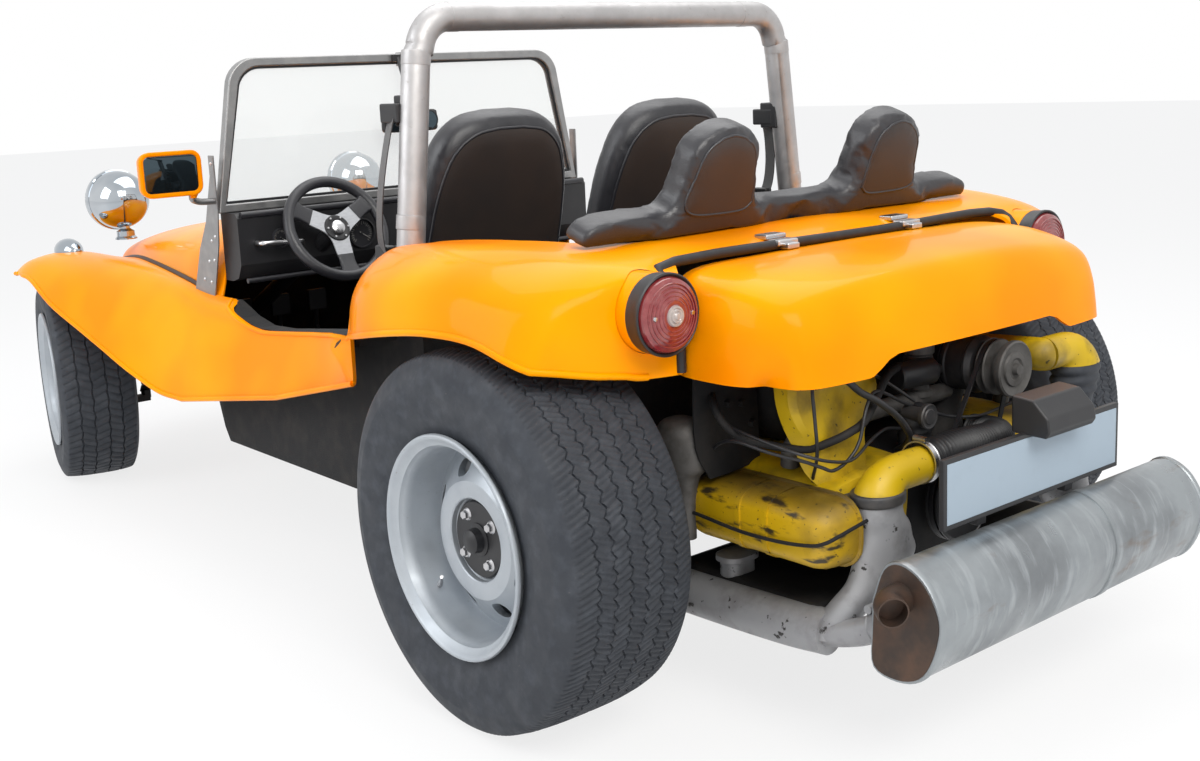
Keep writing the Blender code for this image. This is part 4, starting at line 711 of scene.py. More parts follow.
def body_shell():
    grid = body_grid()
    tree = tree_of(grid)
    shell = skin("body_skin", grid, SHELL_WALL)
    wide, far = 2 * BODY_HALF_WIDTH, 2 * DECK_HEIGHT
    front = edge_points(ARCH_FRONT_SHARES, FINE)
    sill = [(y_of(y), z_of(z)) for y, z in SILL_SHARES]
    rear = edge_points(ARCH_REAR_SHARES, FINE)
    lower = front + sill + rear
    lower += [(lower[-1][0], -SHELL_WALL), (lower[0][0], -SHELL_WALL)]
    door = edge_points(DOOR_EDGE_SHARES[1:-1], 4)
    door = [(y_of(DOOR_EDGE_SHARES[0][0]), far)] + door + [(y_of(DOOR_EDGE_SHARES[-1][0]), far)]
    cut(shell, prism("lower", lower, 0, -wide, wide), prism("door", door, 0, -wide, wide))
    for shares in (COCKPIT_SHARES, HOOD_SHARES, LID_SHARES):
        cut(shell, prism("opening", both_sides(shares), 2, 0, far))
    x, y, z = LAMP_SPOT
    bore = ((0, 0), (LAMP_RADIUS, 0), (LAMP_RADIUS, LAMP_BORE), (0, LAMP_BORE))
    for sign in (-1, 1):
        cut(shell, turned("hole", bore, (sign * x, y - BODY_HALF_WIDTH / 4, z), (0, 1, 0), 48))
    folded(shell, 50)
    soften(shell, EDGE_ROUND, 2, 50)
    piece(shell, "gelcoat", ("body_shell",))
    lips, beads = [], []
    for sign in (-1, 1):
        for run in (front[10:] + sill[:2], rear[2:-8]):
            path = [from_side(tree, sign, y, z + ROLLED_RISE) for y, z in run]
            lips.append(pipe("lip", path, ROLLED_EDGE, 10))
        path = [from_side(tree, sign, y, z - ROLLED_RISE) for y, z in door[6:-12]]
        lips.append(pipe("lip", path, ROLLED_DOOR, 10))
        run = through([(sign * x_of(x), y_of(y)) for y, x in HOOD_SHARES], FINE)
        beads.append(pipe("bead", [dropped(tree, x, y, BEAD_LIFT) for x, y in run], BEAD_RADIUS, 10))
    piece(merged("body_rolled_edges", *lips), "gelcoat", ())
    piece(merged("fender_beading", *beads), "bead")
    return tree


# Bonnet columns as shares: station, edge half-width, edge height, shoulder height, middle height
BONNET_SHARES = (
    (-1.340, 0.400, 0.560, 0.560, 0.565), (-1.290, 0.425, 0.640, 0.655, 0.665),
    (-1.215, 0.440, 0.680, 0.735, 0.750), (-1.130, 0.480, 0.718, 0.800, 0.820),
    (-1.000, 0.510, 0.750, 0.838, 0.862), (-0.833, 0.565, 0.772, 0.862, 0.888),
    (-0.667, 0.613, 0.777, 0.884, 0.912), (-0.500, 0.650, 0.771, 0.906, 0.936),
    (-0.333, 0.684, 0.760, 0.930, 0.962), (-0.200, 0.699, 0.745, 0.946, 0.979),
    (-0.1585, 0.699, 0.742, 0.952, 0.986),
)


def bonnet_grid():
    rows = []
    for station, edge, low, shoulder, middle in BONNET_SHARES:
        half = x_of(edge) - 2 * EPS
        left = [
            (0, z_of(middle)),
            (half * 0.4, z_of(middle - (middle - shoulder) * 0.25)),
            (half * 0.72, z_of(shoulder)),
            (half * 0.93, z_of(shoulder * 0.62 + low * 0.38)),
            (half, z_of(low)),
        ]
        left = [(x, y_of(station), z) for x, z in left]
        rows.append(mirrored(left)[:0:-1] + left)
    return grid_of(rows, FINE, FINE)


def bonnet():
    obj = skin("bonnet_skin", bonnet_grid(), SHELL_WALL)
    soften(obj, EDGE_ROUND, 2, 60)
    piece(obj, "gelcoat", ("bonnet",))


# Engine lid columns as shares: station, sweep, half-width, bottom, shoulder height, middle height
LID_BODY_SHARES = (
    (1.182, 0.000, 0.570, 0.745, 0.942, 0.953), (1.225, 0.000, 0.594, 0.740, 0.944, 0.958),
    (1.300, 0.000, 0.594, 0.738, 0.936, 0.955), (1.370, 0.032, 0.582, 0.738, 0.915, 0.944),
    (1.412, 0.064, 0.568, 0.738, 0.890, 0.925), (1.436, 0.084, 0.556, 0.738, 0.842, 0.870),
    (1.447, 0.092, 0.550, 0.738, 0.785, 0.800), (1.452, 0.095, 0.547, 0.738, 0.741, 0.741),
)
PANEL_GAP = 0.004
NOTCH_SHARES = (
    (-0.420, 0.700), (-0.385, 0.737), (-0.355, 0.743), (-0.330, 0.755), (-0.305, 0.769),
    (-0.275, 0.777), (0.275, 0.777), (0.305, 0.769), (0.330, 0.755), (0.355, 0.743), (0.385, 0.737),
    (0.420, 0.700),
)
HINGE_X, HINGE_WIDE, HINGE_Y, HINGE_Z = 0.186, 0.055, 1.4103, 0.832


# Leaves of the hinges, measured from the hinge line: low and high corners
LID_LEAF = ((-HINGE_WIDE / 2, 0, 0.016), (HINGE_WIDE / 2, 0.030, 0.0275))
LID_STEP = ((-0.016, 0.004, 0.010), (0.016, 0.044, 0.022))
DECK_LEAF = ((-HINGE_WIDE / 2, -0.035, -0.002), (HINGE_WIDE / 2, -0.001, 0.008))
LEAF_ROUND, DECK_LEAF_BACK = 0.003, 0.021
NOTCH_SPAN = (1.35, 1.6)


def engine_lid(body):
    rows = []
    for station, sweep, edge, low, shoulder, middle in LID_BODY_SHARES:
        half = x_of(edge) - PANEL_GAP
        left = [
            (0, middle),
            (half * 0.5, middle * 0.8 + shoulder * 0.2),
            (half * 0.88, shoulder),
            (half * 0.98, shoulder * 0.75 + low * 0.25),
            (half, shoulder * 0.3 + low * 0.7),
            (half, low),
        ]
        last = len(left) - 1
        points = []
        for i, (x, z) in enumerate(left):
            points.append((x, y_of(station) - sweep * HALF_BASE * (i / last) ** 2, z_of(z)))
        rows.append(mirrored(points)[:0:-1] + points)
    lid = skin("lid_skin", grid_of(rows, FINE, FINE), SHELL_WALL)
    notch = [(x_of(x), z_of(z)) for x, z in NOTCH_SHARES]
    cut(lid, prism("notch", notch, 1, y_of(NOTCH_SPAN[0]), y_of(NOTCH_SPAN[1])))
    folded(lid, 50)
    soften(lid, EDGE_ROUND, 2, 50)
    piece(lid, "gelcoat", ("engine_lid",), "engine_lid")
    leaves, fixed = [], []
    for sign in (-1, 1):
        root = Vector((sign * HINGE_X, HINGE_Y, HINGE_Z))
        for name, (low, high) in (("leaf", LID_LEAF), ("step", LID_STEP)):
            leaves.append(block(name, root + Vector(low), root + Vector(high), LEAF_ROUND))
        root = Vector(dropped(body, sign * HINGE_X, HINGE_Y - DECK_LEAF_BACK))
        root.y = HINGE_Y
        fixed.append(block("leaf", root + Vector(DECK_LEAF[0]), root + Vector(DECK_LEAF[1]), LEAF_ROUND))
    piece(merged("lid_hinge_leaves", *leaves), "steel", body="engine_lid")
    piece(merged("deck_hinge_leaves", *fixed), "steel")


# Wheels

FRONT_TYRE_RADIUS = 0.316
FRONT_TYRE_WIDTH = 0.222
FRONT_WHEEL_X = 0.622
FRONT_DISH = 0.055
REAR_TYRE_RADIUS = 0.357
REAR_TYRE_WIDTH = 0.285
REAR_WHEEL_X = 0.690
REAR_DISH = 0.060
RIM_RADIUS = 0.1905
RIM_LIP_RADIUS = 0.209
RIM_PROUD = 0.006
KINGPIN_X = 0.500
FRONT_AXLE_Y = -1.15
STEER_AT_REST = math.radians(-13.0)
# Tyre side, columns as shares: rise over the rim, distance from the middle plane
TYRE_SIDE_SHARES = (
    (0.0, 0.400), (0.04, 0.432), (0.07, 0.448), (0.10, 0.446), (0.16, 0.458), (0.34, 0.486),
    (0.50, 0.498), (0.66, 0.497), (0.70, 0.499), (0.73, 0.492), (0.82, 0.478), (0.89, 0.460),
    (0.93, 0.446),
)
TREAD_SHARE = 0.430
CROWN_SHARE = 0.050
GROOVE_TOP = 0.0026
GROOVE_FOOT = 0.0012


def tyre(name, centre, radius, width, steps, grooves, depth, wave, sipes):
    """A tyre whose tread lines run in waves round it. Sipes columns: spacing in steps, depth."""
    wall = radius - RIM_RADIUS
    side = [(RIM_RADIUS + EPS + rise * (wall - EPS), share * width) for rise, share in TYRE_SIDE_SHARES]
    half = TREAD_SHARE * width
    edges = [half] + [g * half for g in grooves] + [-half]
    tread = []
    for rib, (left, right) in enumerate(zip(edges, edges[1:])):
        start = left - (GROOVE_TOP if rib else 0)
        end = right + (GROOVE_TOP if rib < len(grooves) else 0)
        for i in range(5):
            tread.append((start + (end - start) * i / 4, 0, rib, i))
        if rib < len(grooves):
            tread.append((right + GROOVE_FOOT, depth, -1, 0))
            tread.append((right - GROOVE_FOOT, depth, -1, 0))
    count = 2 * len(side) + len(tread)
    spacing, sipe = sipes
    points = []
    for step in range(steps):
        angle = 2 * math.pi * step / steps
        swing = abs((step / wave[0]) % 1 - 0.5) * 4 - 1
        ring = list(side)
        for across, deep, rib, i in tread:
            sunk = deep
            slant = i if rib % 2 else 4 - i
            if rib >= 0 and (step + slant) % spacing == 0:
                sunk = sipe
            fade = min(1, (1 - abs(across) / half) * 4)
            at = across + wave[1] * swing * fade
            ring.append((radius - CROWN_SHARE * wall * abs(across / half) ** 3 - sunk, at))
        ring += [(r, -a) for r, a in reversed(side)]
        for r, a in ring:
            points.append((a, r * math.cos(angle), r * math.sin(angle)))
    faces = []
    for step in range(steps):
        a, b = step * count, (step + 1) % steps * count
        faces += [(a + i, a + (i + 1) % count, b + (i + 1) % count, b + i) for i in range(count)]
    obj = mesh_of(name, points, faces, 50)
    obj.data.transform(Matrix.Translation(centre))
    return obj


SLOTS = 8
SLOT_LOW, SLOT_HIGH = 0.119, 0.151
SLOT_HALF_TURN = 0.155
SLOT_FIRST = math.radians(20)


# Rim columns: radius, measured from (face, outer edge or inner edge), distance
RIM_SECTION = (
    (0.030, "face", -0.012),
    (0.074, "face", -0.010),
    (0.0775, "face", -0.006),
    (0.078, "face", 0.004),
    (0.080, "face", 0.006),
    (0.098, "face", 0.009),
    (0.111, "face", 0.007),
    (0.118, "face", 0.001),
    (0.150, "face", -0.022),
    (0.166, "face", -0.034),
    (0.1765, "face", -0.040),
    (0.1785, "face", -0.034),
    (0.1800, "outer", -0.040),
    (0.1810, "outer", -0.026),
    (0.1835, "outer", -0.022),
    (0.1860, "outer", -0.014),
    (0.1930, "outer", -0.010),
    (0.1980, "outer", -0.004),
    (0.2010, "outer", -0.001),
    (0.2045, "outer", 0),
    (0.2075, "outer", -0.001),
    (RIM_LIP_RADIUS, "outer", -0.004),
    (RIM_LIP_RADIUS, "outer", -0.007),
    (RIM_RADIUS - EPS, "seat", -0.004),
    (RIM_RADIUS - EPS, "well", 0.004),
    (RIM_LIP_RADIUS, "back", -0.006),
    (0.2030, "back", -0.002),
    (0.1830, "back", 0.020),
    (0.1765, "face", -0.054),
    (0.164, "face", -0.048),
    (0.148, "face", -0.036),
    (0.118, "face", -0.016),
    (0.080, "face", -0.016),
    (0.030, "face", -0.022),
)
SEAT_SHARE = 0.93
SLOT_CUT = (-0.08, 0.05)


def rim(name, width, dish):
    """A slotted deep wheel round the X axis, with its outer face towards +X."""
    half = width / 2
    face = half - dish
    seat = half * SEAT_SHARE
    bases = {"face": face, "outer": half + RIM_PROUD, "seat": seat, "well": -seat, "back": -half}
    profile = [(radius, bases[base] + along) for radius, base, along in RIM_SECTION]
    made = turned(name, profile, (0, 0, 0), (1, 0, 0), 96, 28)
    for middle in turns(SLOTS):
        outline = []
        for turn in turns(16):
            reach = (SLOT_LOW + SLOT_HIGH) / 2 + (SLOT_HIGH - SLOT_LOW) / 2 * math.sin(turn)
            swing = SLOT_HALF_TURN * math.copysign(abs(math.cos(turn)) ** 0.7, math.cos(turn))
            swing += SLOT_FIRST + middle
            outline.append((reach * math.cos(swing), reach * math.sin(swing)))
        combine(made, prism("slot", outline, 0, face + SLOT_CUT[0], face + SLOT_CUT[1]), "DIFFERENCE")
    folded(made, 30)
    return made


# Turned forms of the wheel centre, columns: radius, distance along the axis
HUB_PLATE = ((0, 0.002), (0.070, 0.002), (0.0735, -0.003), (0.0735, -0.010), (0, -0.010))
HUB_CAP = ((0, 0.026), (0.014, 0.025), (0.022, 0.019), (0.0235, 0.004), (0.031, 0.002), (0.031, 0), (0, 0))
HUB_BACK = ((0, -0.010), (0.064, -0.010), (0.066, -0.014))
HUB_SUNK, CAP_SUNK = 0.004, 0.002


def hub(name, width, dish, spacer):
    """Black centre with its cap and the spacer behind it."""
    face = width / 2 - dish
    back = HUB_BACK + ((HUB_BACK[-1][0], -spacer), (0, -spacer))
    parts = [turned("plate", HUB_PLATE, (face - HUB_SUNK, 0, 0), (1, 0, 0), 64)]
    parts.append(turned("cap", HUB_CAP, (face - CAP_SUNK, 0, 0), (1, 0, 0), 40))
    parts.append(turned("spacer", back, (face - HUB_SUNK, 0, 0), (1, 0, 0), 48))
    return merged(name, *parts)


NUT = ((0, 0.011), (0.0070, 0.011), (0.0085, 0.009), (0.0090, 0), (0, 0))
NUT_SEAT = ((0, 0.003), (0.010, 0.003), (0.0125, 0), (0, 0))
NUT_REACH, NUT_FIRST = 0.0525, 0.42
VALVE = ((0, 0), (0.0055, 0), (0.0045, 0.016), (0.0030, 0.030), (0.0036, 0.032), (0.0036, 0.040), (0, 0.040))
VALVE_TURN, VALVE_REACH, VALVE_OUT, VALVE_SLANT = math.radians(222), 0.1765, 0.004, 0.35


def bolts(name, width, dish):
    face = width / 2 - dish
    parts = []
    for i in range(4):
        turn = math.pi / 2 * (i + NUT_FIRST)
        spot = (face - CAP_SUNK, NUT_REACH * math.cos(turn), NUT_REACH * math.sin(turn))
        parts.append(turned("nut", NUT, spot, (1, 0, 0), 6, 20))
        parts.append(turned("seat", NUT_SEAT, spot, (1, 0, 0), 20))
    out = Vector((0, math.cos(VALVE_TURN), math.sin(VALVE_TURN)))
    root = out * VALVE_REACH + Vector((face + VALVE_OUT, 0, 0))
    parts.append(turned("valve", VALVE, root, Vector((VALVE_SLANT, 0, 0)) - out, 14))
    return merged(name, *parts)


def place_wheel(obj, sign, front):
    """Puts a wheel piece made round the origin at its place in the vehicle."""
    if sign < 0:
        obj.data.transform(Matrix.Rotation(math.pi, 4, "Z"))
    if front:
        obj.data.transform(Matrix.Translation((sign * (FRONT_WHEEL_X - KINGPIN_X), 0, 0)))
        obj.data.transform(Matrix.Rotation(STEER_AT_REST, 4, "Z"))
        obj.data.transform(Matrix.Translation((sign * KINGPIN_X, FRONT_AXLE_Y, FRONT_TYRE_RADIUS)))
    else:
        obj.data.transform(Matrix.Translation((sign * REAR_WHEEL_X, HALF_BASE, REAR_TYRE_RADIUS)))
    return obj


REAR_GROOVES = (0.70, 0.42, 0.14, -0.14, -0.42, -0.70)
FRONT_GROOVES = (0.62, 0.22, -0.22, -0.62)


# Axle columns: radius, width and dish, rim width as a share, spacer, parts round, grooves, their depth,
# wave (steps, swing), sipes (steps apart, depth)
AXLES = {
    "front": (
        (FRONT_TYRE_RADIUS, FRONT_TYRE_WIDTH, FRONT_DISH, 0.97, 0.024),
        (560, FRONT_GROOVES, 0.006, (14, 0.002), (7, 0.004)),
    ),
    "rear": (
        (REAR_TYRE_RADIUS, REAR_TYRE_WIDTH, REAR_DISH, 0.98, 0.078),
        (720, REAR_GROOVES, 0.0045, (9, 0.0050), (4, 0.0036)),
    ),
}


def wheels():
    for axle, ((radius, width, dish, share, spacer), tread) in AXLES.items():
        kinds = (
            ("tyre", tyre("tyre", (0, 0, 0), radius, width, *tread), "rubber", ("tyre",)),
            ("rim", rim("rim", width * share, dish), "alloy", ("rim",)),
            ("hub", hub("hub", width * share, dish, spacer), "black", ()),
            ("bolts", bolts("bolts", width * share, dish), "steel", ()),
        )
        for side, sign in SIDES:
            for kind, model, look, stands_for in kinds:
                obj = moved(model, f"{axle}_{side}_{kind}_look", (0, 0, 0))
                place_wheel(obj, sign, axle == "front")
                nodes = [f"{node}_{axle}_{side}" for node in stands_for]
                piece(obj, look, nodes, body=f"wheel_{axle}_{side}")
        for kind, model, look, stands_for in kinds:
            bpy.data.objects.remove(model, do_unlink=True)


# Seats


def swelled(obj, voxel, most, pressure=4.0, last=20):
    """Fills a soft piece by cloth simulation. No point moves further than most."""
    change = obj.modifiers.new("remesh", "REMESH")
    change.mode = "VOXEL"
    change.voxel_size = voxel
    baked(obj)
    count = len(obj.data.vertices)
    start = np.empty(count * 3)
    obj.data.vertices.foreach_get("co", start)
    cloth = obj.modifiers.new("cloth", "CLOTH")
    cloth.settings.use_pressure = True
    cloth.settings.uniform_pressure_force = pressure
    cloth.settings.effector_weights.gravity = 0
    cloth.settings.quality = 4
    cloth.collision_settings.use_collision = False
    cloth.point_cache.frame_start = 1
    cloth.point_cache.frame_end = last
    for number in range(1, last + 1):
        bpy.context.scene.frame_set(number)
    baked(obj)
    bpy.context.scene.frame_set(1)
    end = np.empty(count * 3)
    obj.data.vertices.foreach_get("co", end)
    move = (end - start).reshape(-1, 3)
    far = np.linalg.norm(move, axis=1, keepdims=True)
    move *= np.minimum(1, most / np.maximum(far, 1e-9))
    obj.data.vertices.foreach_set("co", (start.reshape(-1, 3) + move).ravel())
    change = obj.modifiers.new("fine", "SUBSURF")
    change.levels = 1
    change.render_levels = 1
    baked(obj)
    for face in obj.data.polygons:
        face.use_smooth = True
    return obj


PAD_SHARES = (0.25, 0.5, 0.75)


def pad(name, outline, thick, round_off, crown, place):
    """A padded plate. Its flat outline is placed in space by place(u, v, w)."""
    outline = np.array(outline, float)
    middle = outline.mean(axis=0)
    reach = np.abs(outline - middle).max(axis=0)
    rings = []
    for sign in (-1, 1):
        half = []
        for share in PAD_SHARES:
            height = sign * (0.5 * thick + crown * (1 - share**2))
            half.append((middle + (outline - middle) * (1 - round_off / reach) * share, height))
        for step in range(5):
            turn = math.pi / 2 * step / 4
            inset = round_off * (1 - math.sin(turn))
            height = sign * (0.5 * thick - round_off * (1 - math.cos(turn)))
            half.append((middle + (outline - middle) * (1 - inset / reach), height))
        rings += half if sign < 0 else half[::-1]
    return loft(name, [[place(u, v, height) for u, v in ring] for ring, height in rings], 60)


SEAT_X = 0.262
# Front seat back as shares of half its width and of its height
SEAT_BACK_SHARES = (
    (0.84, 0.0), (0.96, 0.20), (1.0, 0.42), (0.99, 0.62), (0.93, 0.78), (0.78, 0.91), (0.52, 0.98),
    (0.18, 1.0),
)
SEAT_BACK_HIGH = 0.70
SEAT_BACK_HALF = 0.218
SEAT_LEAN = math.radians(17)
SEAT_BACK_FOOT = (0.445, 0.452)
SEAT_THICK = 0.095
CUSHION_TOP_Z = 0.515


def leaning(foot, lean, centre=0.0):
    def place(u, v, w):
        y = foot[0] + v * math.sin(lean) + w * math.cos(lean)
        z = foot[1] + v * math.cos(lean) - w * math.sin(lean)
        return (centre + u, y, z)

    return place


def tree_on(obj):
    """A search tree of the surface of a mesh object."""
    edit = bmesh.new()
    edit.from_mesh(obj.data)
    tree = BVHTree.FromBMesh(edit)
    edit.free()
    return tree


def seam_on(obj, name, points, radius):
    """A thin welt lying on the surface of a soft piece."""
    tree = tree_on(obj)
    path = [tuple(tree.find_nearest(Vector(point))[0]) for point in points]
    return pipe(name, path, radius, 8, 60, True)


PANEL_LIFT, PANEL_DEEP = 0.0014, 0.0035
PANEL_SHARES = (0.08, 0.30, 0.50, 0.68, 0.84, 0.94, 1.0)


def panel_on(obj, name, outline, place, level):
    """A thin panel sewn onto a soft piece, inside a flat outline at this level of its frame."""
    tree = tree_on(obj)
    outline = np.array(outline, float)
    middle = outline.mean(axis=0)
    top, under = [], []
    for share in PANEL_SHARES:
        over, below = [], []
        for u, v in middle + (outline - middle) * share:
            near, normal = tree.find_nearest(Vector(place(u, v, level)))[:2]
            over.append(near + normal * PANEL_LIFT)
            below.append(near - normal * PANEL_DEEP)
        top.append(over)
        under.append(below)
    return loft(name, top + under[::-1], 50)


def smoothed_outline(half, steps):
    fine = [tuple(point) for point in through(half, steps)]
    return fine + [(-u, v) for u, v in reversed(fine) if u > 1e-6]


# Padding of the front seats: what filling takes up, rounding, crown, largest move, cell of the surface
SEAT_FILL, SEAT_ROUND, SQUAB_ROUND, SEAT_CROWN = 0.012, 0.034, 0.030, 0.004
SQUAB_FILL, SEAT_SWELL, SEAT_CELL = 0.014, 0.010, 0.009
SQUAB_HALF, SQUAB_FOOT_Z, SQUAB_BACK, SQUAB_SUNK = 0.20, 0.375, 0.005, 0.006
# Squab seen from above, columns: share of its half-width, distance back
SQUAB_SHARES = ((0.93, 0.0), (1.0, 0.10), (1.0, 0.36), (0.96, 0.46))
# Seams, columns: share of the width, foot of the seam, share of the height
BACK_SEAM, FRONT_SEAM = (0.86, 0.030, 0.905), (0.80, 0.05, 0.86)
TOP_SEAM_MIDDLE = 0.24
WELT_RADIUS, FINE_WELT_RADIUS = 0.0038, 0.0028
SEAT_BASE = ((-0.15, 0.05, 0.264), (0.15, 0.44, 0.385))
BASE_ROUND = 0.008


def seam_of(outline, seam):
    wide, foot, high = seam
    return [(u * wide, foot + v * high) for u, v in outline]


def front_seats():
    half = [(u * SEAT_BACK_HALF, v * SEAT_BACK_HIGH) for u, v in SEAT_BACK_SHARES]
    outline = smoothed_outline(half, 4)
    place = leaning(SEAT_BACK_FOOT, SEAT_LEAN)
    back = pad("seat_back", outline, SEAT_THICK - SEAT_FILL, SEAT_ROUND, SEAT_CROWN, place)
    swelled(back, SEAT_CELL, SEAT_SWELL)
    plan = smoothed_outline([(u * SQUAB_HALF, v) for u, v in SQUAB_SHARES], 4)
    high = CUSHION_TOP_Z - SQUAB_FOOT_Z

    def lie(u, v, w):
        return (u, v + SQUAB_BACK, CUSHION_TOP_Z - high / 2 + w - SQUAB_SUNK)

    squab = pad("squab", plan, high - SQUAB_FILL, SQUAB_ROUND, SEAT_CROWN, lie)
    swelled(squab, SEAT_CELL, SEAT_SWELL)
    level = SEAT_THICK * 0.5
    edge = seam_of(outline, BACK_SEAM)
    welt = seam_on(back, "welt", [place(u, v, level) for u, v in edge], WELT_RADIUS)
    panel = panel_on(back, "back_panel", edge, place, level)
    fore = [place(u, v, -level) for u, v in seam_of(outline, FRONT_SEAM)]
    welt_front = seam_on(back, "welt_front", fore, FINE_WELT_RADIUS)
    middle, share = TOP_SEAM_MIDDLE, BACK_SEAM[0]
    top = [(u * share, middle + (v - middle) * share, CUSHION_TOP_Z) for u, v in plan]
    welt_top = seam_on(squab, "welt_top", top, FINE_WELT_RADIUS)
    kinds = (
        ("back", back, "vinyl", True),
        ("squab", squab, "vinyl", True),
        ("back_panel", panel, "brown", True),
        ("welts", merged("welts", welt, welt_front, welt_top), "vinyl", False),
        ("base", block("base", *SEAT_BASE, BASE_ROUND), "black", False),
    )
    for side, sign in SIDES:
        for kind, model, look, soft in kinds:
            obj = moved(model, f"seat_{side}_{kind}", (sign * SEAT_X, 0, 0))
            stands_for = (f"seat_{side}",) if kind == "back" else ()
            piece(obj, look, stands_for)
            if soft:
                for face in obj.data.polygons:
                    face.use_smooth = True
    for kind, model, look, soft in kinds:
        bpy.data.objects.remove(model, do_unlink=True)


# Rear bench seen from the front, columns as shares of the half-width and of the height over the deck
BENCH_TOP_SHARES = (
    (1.00, 0.00), (0.985, 0.13), (0.90, 0.20), (0.72, 0.24), (0.640, 0.34), (0.615, 0.55),
    (0.590, 0.80), (0.520, 0.95), (0.435, 1.00), (0.345, 0.95), (0.280, 0.80), (0.260, 0.55),
    (0.235, 0.32), (0.150, 0.22), (0.0, 0.20),
)
BENCH_PANEL_SHARES = (
    (0.290, 0.300), (0.300, 0.550), (0.322, 0.760), (0.372, 0.870), (0.435, 0.905), (0.498, 0.870),
    (0.550, 0.760), (0.576, 0.550), (0.600, 0.340), (0.560, 0.250), (0.440, 0.230), (0.330, 0.240),
    (0.290, 0.300),
)
BENCH_HALF = 0.572
BENCH_HIGH = 0.235
BENCH_FOOT = (1.262, 0.872)
BENCH_LEAN = math.radians(20)
BENCH_THICK = 0.085
REAR_FLOOR_Z = 0.500


BENCH_SHRUNK, BENCH_ROUND, BENCH_CELL, BENCH_SWELL, BENCH_WELT = 0.012, 0.022, 0.008, 0.012, 0.0032
REAR_SEAT_HALF, REAR_SEAT_CELL, REAR_SEAT_SWELL = 0.462, 0.016, 0.010
# Rear seat: back and squab, columns: low and high corner, rounding
REAR_SEAT_BACK = (
    (-REAR_SEAT_HALF, 1.15, REAR_FLOOR_Z + 0.03),
    (REAR_SEAT_HALF, 1.238, BENCH_FOOT[1] + 0.02),
    0.02,
)
REAR_SQUAB = (
    (-REAR_SEAT_HALF, 0.83, REAR_FLOOR_Z + 0.012),
    (REAR_SEAT_HALF, 1.148, REAR_FLOOR_Z + 0.125),
    0.03,
)


def rear_bench():
    half = [(u * BENCH_HALF, v * BENCH_HIGH) for u, v in BENCH_TOP_SHARES]
    fine = [tuple(point) for point in through(half, 4)]
    outline = fine + [(-u, v) for u, v in reversed(fine[:-1])]
    place = leaning(BENCH_FOOT, BENCH_LEAN)
    thick = BENCH_THICK / 2 - BENCH_SHRUNK
    low = prism("rear_bench_look", outline, 1, -thick, thick)
    soften(low, BENCH_ROUND, 4, 50)
    for point in low.data.vertices:
        u, w, v = point.co
        point.co = place(u, v, w)
    swelled(low, BENCH_CELL, BENCH_SWELL)
    panels, welts = [], []
    level = BENCH_THICK * 0.5
    for sign in (-1, 1):
        edge = [(sign * u * BENCH_HALF, v * BENCH_HIGH) for u, v in through(BENCH_PANEL_SHARES, 5)]
        panels.append(panel_on(low, "panel", edge, place, level))
        welts.append(seam_on(low, "welt", [place(u, v, level) for u, v in edge], BENCH_WELT))
    piece(low, "vinyl", ("rear_bench",))
    backs = piece(merged("bench_back_panels", *panels), "brown")
    piece(merged("bench_welts", *welts), "vinyl")
    for name, sizes in (("rear_seat_back", REAR_SEAT_BACK), ("rear_squab", REAR_SQUAB)):
        seat = block(name, *sizes, 4)
        swelled(seat, REAR_SEAT_CELL, REAR_SEAT_SWELL)
        piece(seat, "vinyl")


# Windscreen and roll bar

SCREEN_Y = -0.165
SCREEN_BOTTOM_Z = 0.872
SCREEN_TOP_Z = 1.262
SCREEN_BOTTOM_X = 0.590
SCREEN_TOP_X = 0.522
FRAME_RAIL = 0.028
BAR_RADIUS = 0.030
BAR_Y = 0.742
BAR_TOP_Z = 1.312
BAR_TOP_X = 0.530
BAR_FOOT_X = 0.588
BAR_FOOT_Z = 0.815
BAR_BEND = 0.075
# Bracket columns: along from the screen, height as share of the deck
BRACKET_SHARES = (
    (0.014, 1.16), (0.014, 1.0), (0.000, 0.900), (-0.052, 0.735), (-0.170, 0.745), (-0.115, 0.880),
    (-0.062, 0.965), (-0.014, 1.10), (-0.014, 1.16),
)
# Rivets on the bracket, columns: along from the screen, height
RIVETS = (
    (-0.036, 0.800), (-0.014, 0.812), (-0.062, 0.745), (-0.030, 0.750), (-0.100, 0.695),
    (-0.060, 0.690), (0.0, 1.000),
)


SCREEN_BEND, BEND_LOSS, BEND_DRAFT = 0.07, 0.6, 0.16


def screen_outline(inset):
    bottom = (SCREEN_BOTTOM_X - inset, SCREEN_BOTTOM_Z + inset)
    bend = SCREEN_BEND - inset * BEND_LOSS
    draft = bend * BEND_DRAFT
    top_x = SCREEN_TOP_X - inset
    top_z = SCREEN_TOP_Z - inset
    left = [bottom, (top_x + draft, top_z - bend)]
    for step in range(1, 8):
        turn = math.pi / 2 * step / 8
        x = top_x - bend + bend * math.cos(turn) + draft * (1 - step / 8)
        left.append((x, top_z - bend + bend * math.sin(turn)))
    left.append((top_x - bend, top_z))
    return left + [(-x, z) for x, z in reversed(left)]


PANE_INSET = FRAME_RAIL * 0.8
RAIL_ROUND, BRACKET_ROUND, CLAMP_ROUND = 0.004, 0.0012, 0.002
BRACKET_GAP, BRACKET_OUT = 0.0005, 0.005
RIVET = ((0, 0.0030), (0.0030, 0.0025), (0.0046, 0.0010), (0.0048, 0.0), (0, 0.0))
# Seal and glass between two levels round the middle plane, columns: inset from the rail, half-thickness
SEAL_WIDE, SEAL_HALF, SEAL_CUT = 0.006, 0.006, 0.02
GLASS_SUNK, GLASS_HALF = 0.005, 0.002
# Mirror clamp on the top rail: half-width, proud of the rail, below and above the top edge
CLAMP_HALF, CLAMP_PROUD, CLAMP_LOW, CLAMP_HIGH = 0.013, 0.004, 0.034, 0.0035


